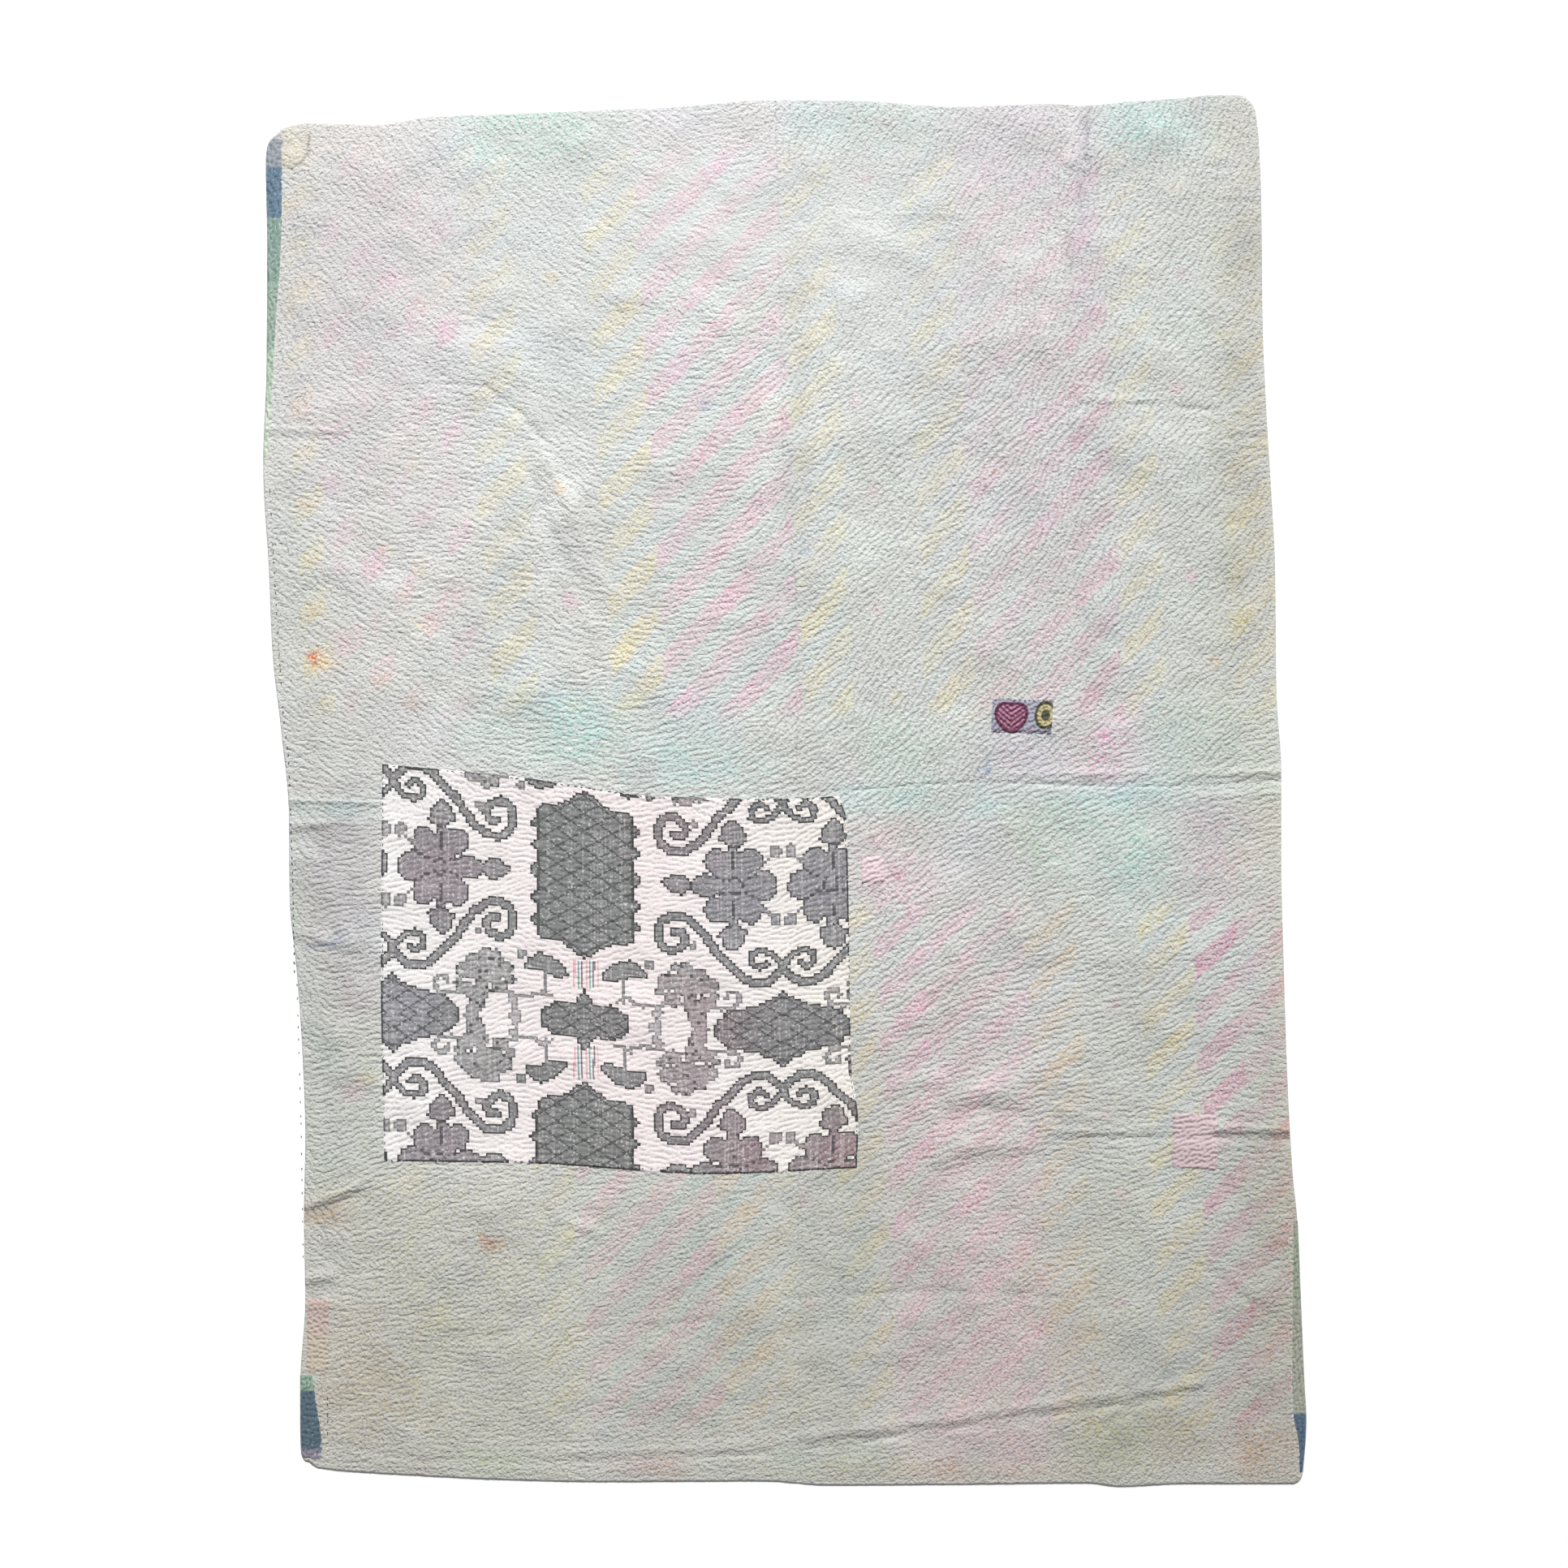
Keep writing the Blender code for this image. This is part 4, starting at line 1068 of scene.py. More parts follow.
WASHES_AND_PAINTED_LIGHT = (
    # Painted highlights and painted shade: pale for painted highlights on the pleat from the top edge,
    # on the hump, beside the centre seam and on short ridges; grey for painted shade beside the pleat,
    # in creases, in the hump's valley and right of the centre seam
    Wash(1322, 165, 10, 50, Hue.PAINTED_HIGHLIGHT, 1.10), Wash(1315, 245, 10, 45, Hue.PAINTED_HIGHLIGHT, 1.00),
    Wash(1300, 325, 10, 50, Hue.PAINTED_HIGHLIGHT, 0.80), Wash(1288, 400, 9, 50, Hue.PAINTED_HIGHLIGHT, 0.60),
    Wash(1338, 165, 4, 50, Hue.GREY_AND_SHADE, 0.80), Wash(1331, 245, 5, 40, Hue.GREY_AND_SHADE, 0.80),
    Wash(1316, 310, 5, 40, Hue.GREY_AND_SHADE, 0.60), Wash(698, 602, 24, 34, Hue.PAINTED_HIGHLIGHT, 1.00),
    Wash(722, 1514, 20, 14, Hue.PAINTED_HIGHLIGHT, 1.00), Wash(511, 1757, 18, 16, Hue.PAINTED_HIGHLIGHT, 1.00),
    Wash(1166, 881, 42, 9, Hue.PAINTED_HIGHLIGHT, 0.90), Wash(948, 530, 10, 90, Hue.PAINTED_HIGHLIGHT, 0.60),
    Wash(1527, 460, 20, 28, Hue.GREY_AND_SHADE, 0.40), Wash(382, 878, 24, 34, Hue.GREY_AND_SHADE, 0.40),
    Wash(1535, 302, 24, 34, Hue.GREY_AND_SHADE, 0.80), Wash(405, 1486, 20, 16, Hue.GREY_AND_SHADE, 0.90),
    Wash(390, 1596, 12, 14, Hue.GREY_AND_SHADE, 0.90), Wash(385, 1105, 20, 34, Hue.GREY_AND_SHADE, 0.60),
    Wash(1140, 545, 40, 16, Hue.GREY_AND_SHADE, 0.50), Wash(1560, 1410, 36, 9, Hue.GREY_AND_SHADE, 0.80),
    Wash(984, 560, 15, 340, Hue.GREY_AND_SHADE, 0.40), Wash(700, 680, 22, 50, Hue.GREY_AND_SHADE, 0.40),
    # Along the top edge
    Wash(400, 175, 60, 40, Hue.BEIGE, 0.12), Wash(655, 158, 105, 42, Hue.AQUA, 0.42),
    Wash(655, 165, 100, 60, Hue.GREEN, 0.24), Wash(835, 152, 52, 34, Hue.LILAC, 0.40),
    Wash(930, 160, 45, 36, Hue.PINK, 0.18), Wash(1060, 150, 105, 34, Hue.AQUA, 0.38),
    Wash(1080, 230, 80, 90, Hue.MINT, 0.30), Wash(1250, 175, 80, 75, Hue.LILAC, 0.55),
    Wash(1335, 270, 15, 160, Hue.LILAC, 0.55), Wash(1425, 150, 66, 40, Hue.AQUA, 0.55),
    Wash(1518, 155, 38, 38, Hue.BEIGE, 0.28), Wash(620, 240, 60, 60, Hue.MINT, 0.25),
    # Upper half
    Wash(480, 290, 130, 110, Hue.GREY_AND_SHADE, 0.25), Wash(470, 430, 110, 300, Hue.PINK, 0.15),
    Wash(480, 300, 130, 160, Hue.LILAC, 0.12),
    Wash(680, 420, 70, 150, Hue.MINT, 0.30), Wash(1085, 480, 60, 160, Hue.MINT, 0.35),
    Wash(1085, 700, 60, 160, Hue.GREEN, 0.20), Wash(1225, 500, 80, 260, Hue.LILAC, 0.22),
    Wash(1315, 520, 50, 260, Hue.PINK, 0.12), Wash(1460, 350, 60, 160, Hue.GREEN, 0.26),
    Wash(1475, 680, 50, 190, Hue.GREEN, 0.26), Wash(1535, 560, 48, 330, Hue.GREY_AND_SHADE, 0.60),
    Wash(1540, 560, 48, 340, Hue.BEIGE, 0.34), Wash(352, 520, 34, 330, Hue.GREY_AND_SHADE, 0.60),
    Wash(360, 720, 40, 130, Hue.GREEN, 0.20), Wash(392, 780, 40, 60, Hue.BEIGE, 0.15),
    Wash(430, 560, 60, 330, Hue.GREY_AND_SHADE, 0.25),
    # The band above the cross fold
    Wash(420, 920, 70, 60, Hue.GREY_AND_SHADE, 0.30), Wash(520, 905, 60, 40, Hue.LILAC, 0.25),
    Wash(590, 895, 40, 40, Hue.GREEN, 0.30), Wash(705, 902, 66, 46, Hue.AQUA, 0.68),
    Wash(640, 880, 60, 40, Hue.MINT, 0.40), Wash(830, 925, 70, 40, Hue.AQUA, 0.35),
    Wash(890, 925, 90, 46, Hue.MINT, 0.60), Wash(960, 925, 60, 44, Hue.GREEN, 0.25),
    Wash(1060, 930, 70, 50, Hue.MINT, 0.45), Wash(1120, 930, 70, 50, Hue.GREEN, 0.40),
    Wash(1255, 945, 60, 34, Hue.LILAC, 0.55), Wash(1310, 930, 95, 52, Hue.LILAC, 0.35),
    Wash(1362, 915, 42, 58, Hue.PINK, 0.20), Wash(1450, 925, 58, 52, Hue.MINT, 0.50),
    Wash(1500, 915, 85, 60, Hue.GREEN, 0.42), Wash(1565, 930, 26, 40, Hue.YELLOW, 0.15),
    # The band below the cross fold
    Wash(1300, 980, 290, 18, Hue.AQUA, 0.38), Wash(1150, 1002, 90, 12, Hue.AQUA, 0.30),
    Wash(1105, 1062, 48, 55, Hue.PINK, 0.25), Wash(1195, 1062, 62, 52, Hue.LILAC, 0.30),
    Wash(1275, 1030, 34, 60, Hue.GREEN, 0.35), Wash(1345, 1030, 76, 62, Hue.AQUA, 0.34),
    Wash(1350, 1050, 100, 62, Hue.GREEN, 0.20), Wash(1430, 1060, 60, 60, Hue.AQUA, 0.26),
    Wash(1492, 1040, 46, 66, Hue.ROSE, 0.16), Wash(1565, 1050, 46, 70, Hue.BEIGE, 0.28),
    Wash(1565, 1000, 60, 30, Hue.BROWN, 0.10),
    # Left of the large patch and below it
    # The grey along the cross fold here and the strong grey down the left of the patch are painted
    # shade
    Wash(400, 997, 70, 13, Hue.AQUA, 0.45), Wash(405, 1024, 66, 15, Hue.GREY_AND_SHADE, 1.00),
    Wash(412, 1190, 58, 235, Hue.GREY_AND_SHADE, 1.30), Wash(420, 1100, 60, 110, Hue.LILAC, 0.50),
    Wash(365, 1120, 18, 90, Hue.GREEN, 0.40), Wash(395, 1160, 26, 12, Hue.LILAC, 0.37),
    Wash(430, 1225, 40, 40, Hue.PINK, 0.14), Wash(390, 1260, 30, 80, Hue.GREEN, 0.30),
    Wash(440, 1300, 40, 50, Hue.GREEN, 0.20), Wash(435, 1345, 18, 14, Hue.PINK, 0.40),
    Wash(452, 1328, 14, 10, Hue.ORANGE, 0.37), Wash(410, 1400, 60, 70, Hue.GREEN, 0.30),
    Wash(400, 1492, 42, 22, Hue.BROWN, 0.22), Wash(470, 1500, 90, 60, Hue.BEIGE, 0.14),
    Wash(560, 1560, 150, 120, Hue.BEIGE, 0.12), Wash(520, 1690, 170, 90, Hue.BEIGE, 0.22),
    Wash(600, 1640, 190, 150, Hue.GREEN, 0.14), Wash(520, 1680, 190, 110, Hue.GREY_AND_SHADE, 0.20),
    Wash(700, 1540, 40, 60, Hue.MINT, 0.20), Wash(430, 1640, 60, 50, Hue.PINK, 0.08),
    Wash(450, 1720, 70, 60, Hue.BROWN, 0.16), Wash(865, 1610, 105, 170, Hue.GREY_AND_SHADE, 0.50),
    Wash(850, 1610, 110, 170, Hue.BEIGE, 0.06), Wash(1030, 1500, 56, 300, Hue.GREY_AND_SHADE, 0.70),
    Wash(1040, 1560, 60, 140, Hue.GREEN, 0.26), Wash(960, 1700, 80, 60, Hue.BEIGE, 0.15),
    # Lower right
    Wash(1365, 1250, 48, 190, Hue.GREEN, 0.24), Wash(1370, 1560, 50, 170, Hue.GREEN, 0.26),
    Wash(1590, 1300, 30, 220, Hue.ORANGE, 0.20), Wash(1570, 1450, 50, 330, Hue.GREY_AND_SHADE, 0.60),
    Wash(1575, 1560, 45, 240, Hue.BEIGE, 0.30), Wash(1220, 1680, 130, 110, Hue.PINK, 0.26),
    Wash(1190, 1400, 120, 230, Hue.PINK, 0.22), Wash(1300, 1590, 60, 120, Hue.BEIGE, 0.14),
    Wash(1480, 1700, 110, 90, Hue.GREY_AND_SHADE, 0.35),
    # Along the bottom hem
    Wash(460, 1790, 60, 22, Hue.GREY_AND_SHADE, 0.30), Wash(600, 1802, 62, 17, Hue.GREEN, 0.55),
    Wash(600, 1802, 60, 17, Hue.BEIGE, 0.28), Wash(512, 1806, 24, 12, Hue.ROSE, 0.20),
    Wash(800, 1805, 46, 16, Hue.ROSE, 0.42), Wash(800, 1805, 46, 16, Hue.BEIGE, 0.36),
    Wash(885, 1806, 40, 16, Hue.MINT, 0.30), Wash(975, 1800, 32, 18, Hue.GREEN, 0.65),
    Wash(1060, 1795, 40, 22, Hue.GREEN, 0.35), Wash(1215, 1790, 85, 34, Hue.ROSE, 0.34),
    Wash(1365, 1770, 56, 44, Hue.GREEN, 0.50), Wash(1365, 1770, 56, 44, Hue.BEIGE, 0.50),
    Wash(1450, 1770, 40, 36, Hue.BEIGE, 0.55), Wash(1560, 1785, 48, 36, Hue.ROSE, 0.24),
    Wash(1560, 1785, 48, 36, Hue.BEIGE, 0.50), Wash(1150, 1812, 200, 12, Hue.BEIGE, 0.35),
    Wash(1380, 1760, 90, 50, Hue.GREY_AND_SHADE, 0.50),
    # The cream flap at the top left corner
    Wash(360, 182, 21, 27, Hue.YELLOW, 0.30), Wash(360, 182, 21, 27, Hue.BEIGE, 0.30),
    Wash(334, 168, 12, 18, Hue.LILAC, 0.70), Wash(334, 168, 12, 18, Hue.GREY_AND_SHADE, 1.50),
)

# Places where the dye is broken up into small lozenges
SPECKLES = (
    Wash(1362, 915, 44, 60, Hue.PINK, 0.75), Wash(1105, 1062, 50, 58, Hue.ROSE, 0.71),
    Wash(1492, 1040, 46, 66, Hue.ROSE, 0.79), Wash(940, 935, 60, 50, Hue.ROSE, 0.22),
    Wash(900, 945, 60, 36, Hue.AQUA, 0.60), Wash(1130, 985, 90, 16, Hue.AQUA, 0.52),
    Wash(1275, 1030, 40, 60, Hue.YELLOW, 0.26), Wash(1420, 1040, 50, 60, Hue.MINT, 0.45),
    Wash(1030, 950, 60, 34, Hue.PINK, 0.38), Wash(820, 940, 60, 40, Hue.MINT, 0.45),
    Wash(1240, 925, 24, 24, Hue.PINK, 0.45),
)

# Spots and stains
FLECKS = (
    Wash(680, 345, 9, 8, Hue.ORANGE, 0.68), Wash(690, 602, 9, 10, Hue.ORANGE, 0.60),
    Wash(702, 742, 10, 10, Hue.PINK, 0.71), Wash(708, 870, 9, 9, Hue.ORANGE, 0.45),
    Wash(1068, 220, 9, 9, Hue.PINK, 0.41), Wash(1056, 495, 9, 10, Hue.PINK, 0.38),
    Wash(1078, 607, 9, 10, Hue.PINK, 0.41), Wash(1080, 750, 9, 9, Hue.PINK, 0.49),
    Wash(1104, 860, 10, 10, Hue.ORANGE, 0.45), Wash(1447, 232, 8, 8, Hue.ORANGE, 0.45),
    Wash(1458, 335, 8, 8, Hue.ROSE, 0.52), Wash(1450, 475, 8, 9, Hue.PINK, 0.60),
    Wash(1466, 710, 8, 8, Hue.PINK, 0.60), Wash(1495, 817, 9, 8, Hue.ORANGE, 0.60),
    Wash(1352, 1135, 9, 8, Hue.ROSE, 0.38), Wash(1374, 1237, 8, 8, Hue.ROSE, 0.45),
    Wash(1362, 1375, 9, 8, Hue.PINK, 0.45), Wash(1384, 1472, 9, 8, Hue.ROSE, 0.45),
    Wash(1380, 1605, 9, 8, Hue.ROSE, 0.45), Wash(992, 1478, 10, 9, Hue.ROSE, 0.38),
    Wash(1002, 1608, 10, 9, Hue.ROSE, 0.34),
    Wash(408, 595, 11, 13, Hue.ROSE, 0.44), Wash(418, 700, 10, 11, Hue.PINK, 0.32),
    Wash(448, 500, 9, 20, Hue.PINK, 0.25), Wash(455, 372, 10, 10, Hue.PINK, 0.28),
    Wash(487, 345, 11, 11, Hue.PINK, 0.25), Wash(547, 408, 11, 11, Hue.PINK, 0.35),
    Wash(548, 345, 10, 10, Hue.ORANGE, 0.25), Wash(520, 378, 8, 8, Hue.ORANGE, 0.25),
    Wash(480, 412, 12, 10, Hue.PINK, 0.28), Wash(455, 700, 13, 14, Hue.PINK, 0.32),
    Wash(512, 575, 11, 10, Hue.ORANGE, 0.25), Wash(553, 598, 13, 13, Hue.ROSE, 0.25),
    Wash(520, 700, 12, 12, Hue.ORANGE, 0.32), Wash(516, 640, 11, 12, Hue.PINK, 0.28),
    Wash(525, 768, 13, 11, Hue.ORANGE, 0.35), Wash(480, 675, 9, 10, Hue.YELLOW, 0.37),
    Wash(466, 838, 11, 10, Hue.ORANGE, 0.37), Wash(462, 770, 11, 12, Hue.PINK, 0.30),
    Wash(560, 735, 16, 16, Hue.ROSE, 0.35), Wash(572, 868, 16, 14, Hue.ROSE, 0.30),
    Wash(420, 790, 12, 18, Hue.PINK, 0.32), Wash(432, 865, 12, 18, Hue.ROSE, 0.28),
    Wash(378, 625, 11, 12, Hue.ORANGE, 0.37), Wash(384, 692, 11, 11, Hue.ORANGE, 0.32),
    Wash(386, 752, 13, 11, Hue.ORANGE, 0.40), Wash(374, 560, 10, 10, Hue.ORANGE, 0.30),
    Wash(372, 505, 16, 14, Hue.PINK, 0.28), Wash(398, 530, 12, 12, Hue.ROSE, 0.28),
    Wash(378, 355, 22, 16, Hue.YELLOW, 0.35), Wash(372, 300, 18, 12, Hue.YELLOW, 0.28),
    Wash(380, 235, 14, 14, Hue.YELLOW, 0.28), Wash(500, 730, 10, 10, Hue.ORANGE, 0.28),
    Wash(505, 870, 12, 9, Hue.ORANGE, 0.25), Wash(395, 818, 18, 13, Hue.ORANGE, 0.75),
    Wash(388, 814, 7, 8, Hue.RED, 0.46), Wash(382, 808, 5, 5, Hue.RED, 0.28),
    Wash(600, 1530, 9, 7, Hue.RED, 0.25), Wash(606, 1533, 15, 8, Hue.BROWN, 0.42),
    Wash(616, 1537, 8, 6, Hue.ORANGE, 0.42), Wash(595, 1526, 7, 5, Hue.ORANGE, 0.37),
    Wash(1215, 946, 3, 14, Hue.BLUE, 0.51), Wash(1209, 950, 6, 4, Hue.BLUE, 0.46),
    Wash(393, 1500, 24, 9, Hue.BROWN, 0.41), Wash(410, 1160, 20, 4, Hue.BLUE, 0.41),
    Wash(386, 1168, 12, 4, Hue.BLUE, 0.38), Wash(420, 1150, 8, 4, Hue.BLUE, 0.30),
    Wash(990, 680, 5, 4, Hue.BLUE, 0.45), Wash(870, 500, 6, 5, Hue.BLUE, 0.34),
    Wash(1210, 575, 7, 4, Hue.GREY_AND_SHADE, 0.68), Wash(1228, 580, 6, 4, Hue.BROWN, 0.52),
    Wash(1372, 905, 3, 3, Hue.BLUE, 0.30),
)

# The painted shadow along the edge of the small turned flap at the top left corner
FLAP_LINE = (
    (381, 166), (380, 190), (372, 200), (361, 208), (346, 202),
)


@dataclass
class FrontColours:
    """The faded colours of the front, with painted highlights, painted shade and a painted light
    falloff among them.

    Attributes:
        bare_top: The tone of the bare cloth at the top, as red, green and blue of 0 to 1.
        bare_middle: Its tone at the middle.
        bare_bottom: Its tone at the bottom. The tones darken from top to bottom, partly as the lower
            cloth's own greyer tone and partly as painted light falloff.
        right_dull: How much duller it is at the right side.
        speckle_pitch: From lozenge to lozenge of the broken dye, in plan squares.
        blotch: How uneven the washed cloth is.
    """

    bare_top: Colour = (0.832, 0.834, 0.826)
    bare_middle: Colour = (0.820, 0.824, 0.812)
    bare_bottom: Colour = (0.745, 0.742, 0.720)
    right_dull: float = 0.036
    speckle_pitch: float = 10.6
    blotch: float = 0.012
    clouds: tuple[Array, ...] = field(init=False, repr=False)

    def __post_init__(self) -> None:
        """Makes the clouds of uneven wear, one raster square for four of the plan."""
        shape = (500, 420)
        sizes = (26.0, 9.0, 3.2, 5.0, 12.0)
        self.clouds = tuple(soft_noise(shape, size, 40 + index) for index, size in enumerate(sizes))

    def cloud(self, index: int, across: Array, down: Array) -> Array:
        """One of the clouds at places of the plan."""
        raster = self.clouds[index]
        column = np.clip((across - 150.0) / 4.0, 0.0, raster.shape[1] - 1.001)
        row = np.clip(down / 4.0, 0.0, raster.shape[0] - 1.001)
        x, y = column.astype(int), row.astype(int)
        low = mix(raster[y, x], raster[y, x + 1], column - x)
        high = mix(raster[y + 1, x], raster[y + 1, x + 1], column - x)
        return mix(low, high, row - y)

    @staticmethod
    def tinted(tone: Array, hue: Hue, share: Array) -> Array:
        """Tones with a share of a dye, a painted highlight or a painted shade added.

        Args:
            tone: The tones.
            hue: The dye, painted highlight or painted shade.
            share: How much of it there is at each place.

        Returns:
            The dyed tones.
        """
        left = np.array(hue.value)
        return tone * (1.0 + np.clip(share, 0.0, 1.6)[..., None] * (left - 1.0))

    def bare(self, across: Array, down: Array) -> Array:
        """The tone of the bare cloth at places of the plan, darker towards the bottom partly as the
        lower cloth's own greyer tone and partly as painted light falloff.
        """
        upper = smoothstep(150.0, 1000.0, down)[..., None]
        lower = smoothstep(1000.0, 1800.0, down)[..., None]
        tone = mix(np.array(self.bare_top), np.array(self.bare_middle), upper)
        tone = mix(tone, np.array(self.bare_bottom), lower)
        return tone * (1.0 - self.right_dull * smoothstep(1000.0, 1480.0, across))[..., None]

    def striped(self, tone: Array, cloth: StripedCloth, across: Array, down: Array) -> Array:
        """Tones with the dashes of one stretch of the front added.

        Args:
            tone: The tones.
            cloth: The stretch.
            across: Places on the plan, across.
            down: Places on the plan, down.

        Returns:
            The dyed tones.
        """
        x = across + 1.2 * self.cloud(3, across, down)
        y = down + 1.2 * self.cloud(3, across + 300.0, down)
        turns = cloth.run.turns(x, y)
        column_x = x - cloth.lean * (y - cloth.row)
        ends = smoothstep(cloth.top - 16.0, cloth.top + 22.0, down)
        ends = ends * smoothstep(cloth.bottom + 14.0, cloth.bottom - 20.0, down)
        seam = CENTRE_SEAM.at(from_plan(across, down)[1]) / PLAN_SQUARE + PLAN_X
        if cloth.right < 1100.0:
            ends = ends * smoothstep(seam + 2.0, seam - 4.0, across)
        else:
            ends = ends * smoothstep(seam - 4.0, seam + 2.0, across)
        wear = 1.0 + 0.16 * self.cloud(1, across, down) + 0.10 * self.cloud(2, across, down)
        wear = wear * mix(*cloth.fade, (down - cloth.top) / (cloth.bottom - cloth.top))
        for number, column in enumerate(cloth.columns):
            wave = np.cos(2.0 * math.pi * (turns - column.late))
            dash, gap = smoothstep(-0.25, 0.40, wave), smoothstep(0.05, -0.60, wave)
            whole = np.round(turns - column.late)
            soft = 3.0
            inside = smoothstep(column.left - soft, column.left + soft, column_x)
            inside = inside * smoothstep(column.right + soft, column.right - soft, column_x)
            kept = 0.95 + 0.18 * np.sin(whole * 2.4 + number * 1.7)
            if column.every > 1:
                kept = 0.55 + 0.75 * np.cos(2.0 * math.pi * (whole + number) / column.every)
            share = inside * ends * wear
            tone = self.tinted(tone, column.hue, share * dash * kept * column.strength)
            tone = self.tinted(tone, Hue.MINT, share * gap * column.mint)
        return tone

    def at(self, x: Array, y: Array) -> Array:
        """The front's colours at places in metres, as linear red, green, blue and 1.

        Args:
            x: Places across.
            y: Places up.

        Returns:
            The colours, with a last axis of four.
        """
        across, down = to_plan(x, y)
        tone = self.bare(across, down)
        for cloth in STRIPED_CLOTHS:
            near = (across > cloth.left - 60.0) & (across < cloth.right + 60.0)
            near &= (down > cloth.top - 60.0) & (down < cloth.bottom + 60.0)
            if near.any():
                tone[near] = self.striped(tone[near], cloth, across[near], down[near])
        wear = 1.0 + 0.22 * self.cloud(1, across, down) + 0.16 * self.cloud(2, across, down)
        # Dye washes, with the painted highlights and painted shade among them
        for wash in WASHES_AND_PAINTED_LIGHT:
            tone = self.tinted(tone, wash.hue, wash.share(across, down) * wear)
        turn = 2.0 * math.pi / self.speckle_pitch
        lozenge = np.sin(turn * (across + down)) + np.sin(turn * (across - down) + 0.8)
        broken = smoothstep(0.1, 1.1, lozenge + 0.35 * self.cloud(2, across, down))
        for speckle in SPECKLES:
            share = speckle.share(across, down) * broken * wear
            tone = self.tinted(tone, speckle.hue, share)
        ragged_x = across + 2.0 * self.cloud(2, across, down)
        ragged_y = down + 2.0 * self.cloud(2, across + 200.0, down)
        for fleck in FLECKS:
            tone = self.tinted(tone, fleck.hue, fleck.share(ragged_x, ragged_y))
        # A thin line of painted shadow along the flap's edge
        for start, end in zip(FLAP_LINE, FLAP_LINE[1:]):
            off = off_line(across, down, start, end)
            tone = self.tinted(tone, Hue.PAINTED_SHADOW, 0.9 * np.exp(-((off / 1.3) ** 2)))
        patchy = 0.5 * self.cloud(0, across, down) + 0.7 * self.cloud(1, across, down)
        tone = tone * (1.0 + self.blotch * patchy)[..., None]
        warm = self.blotch * 0.20 * self.cloud(4, across, down)[..., None]
        tone = tone * (1.0 + warm * np.array((1.0, 0.0, -1.2)))
        colour = np.ones((*x.shape, 4))
        colour[..., :3] = linear(tone)
        return colour


class MeshMaker:
    """Turns flat grids into the cloths of the quilt."""

    @staticmethod
    def deselect() -> None:
        """Takes everything out of the selection."""
        for item in bpy.context.selected_objects:
            item.select_set(False)

    @staticmethod
    def grid(name: str, columns: int, rows: int) -> bpy.types.Object:
        """A flat grid from 0 to 1 both ways, of so many cells.

        Args:
            name: The piece's name.
            columns: Cells across.
            rows: Cells up.

        Returns:
            The new piece.
        """
        MeshMaker.deselect()
        bpy.ops.mesh.primitive_grid_add(
            x_subdivisions=columns, y_subdivisions=rows, size=1.0, location=(0.5, 0.5, 0.0)
        )
        item = bpy.context.active_object
        bpy.ops.object.transform_apply(location=True, rotation=False, scale=False)
        item.name = name
        item.data.name = name
        return item

    @staticmethod
    def points(item: bpy.types.Object) -> Array:
        """The places of a piece's points, one row for each."""
        places = np.empty(len(item.data.vertices) * 3)
        item.data.vertices.foreach_get("co", places)
        return places.reshape(-1, 3)

    @staticmethod
    def shape(item: bpy.types.Object, x: Array, y: Array, z: Array) -> None:
        """Moves a piece's points to new places."""
        places = np.stack((x, y, z), axis=-1).astype(np.float32)
        item.data.vertices.foreach_set("co", places.ravel())
        item.data.update()

    @staticmethod
    def number(item: bpy.types.Object, name: str, values: Array, domain: str = "POINT") -> None:
        """Keeps one number for each point or face of a piece."""
        kept = item.data.attributes.new(name, "FLOAT", domain)
        kept.data.foreach_set("value", values.astype(np.float32).ravel())

    @staticmethod
    def colours(item: bpy.types.Object, name: str, values: Array, domain: str = "POINT") -> None:
        """Keeps one colour for each point or face of a piece."""
        kept = item.data.attributes.new(name, "FLOAT_COLOR", domain)
        kept.data.foreach_set("color", values.astype(np.float32).ravel())

    @staticmethod
    def soften(item: bpy.types.Object) -> None:
        """Gives a piece smooth shading."""
        item.data.shade_smooth()


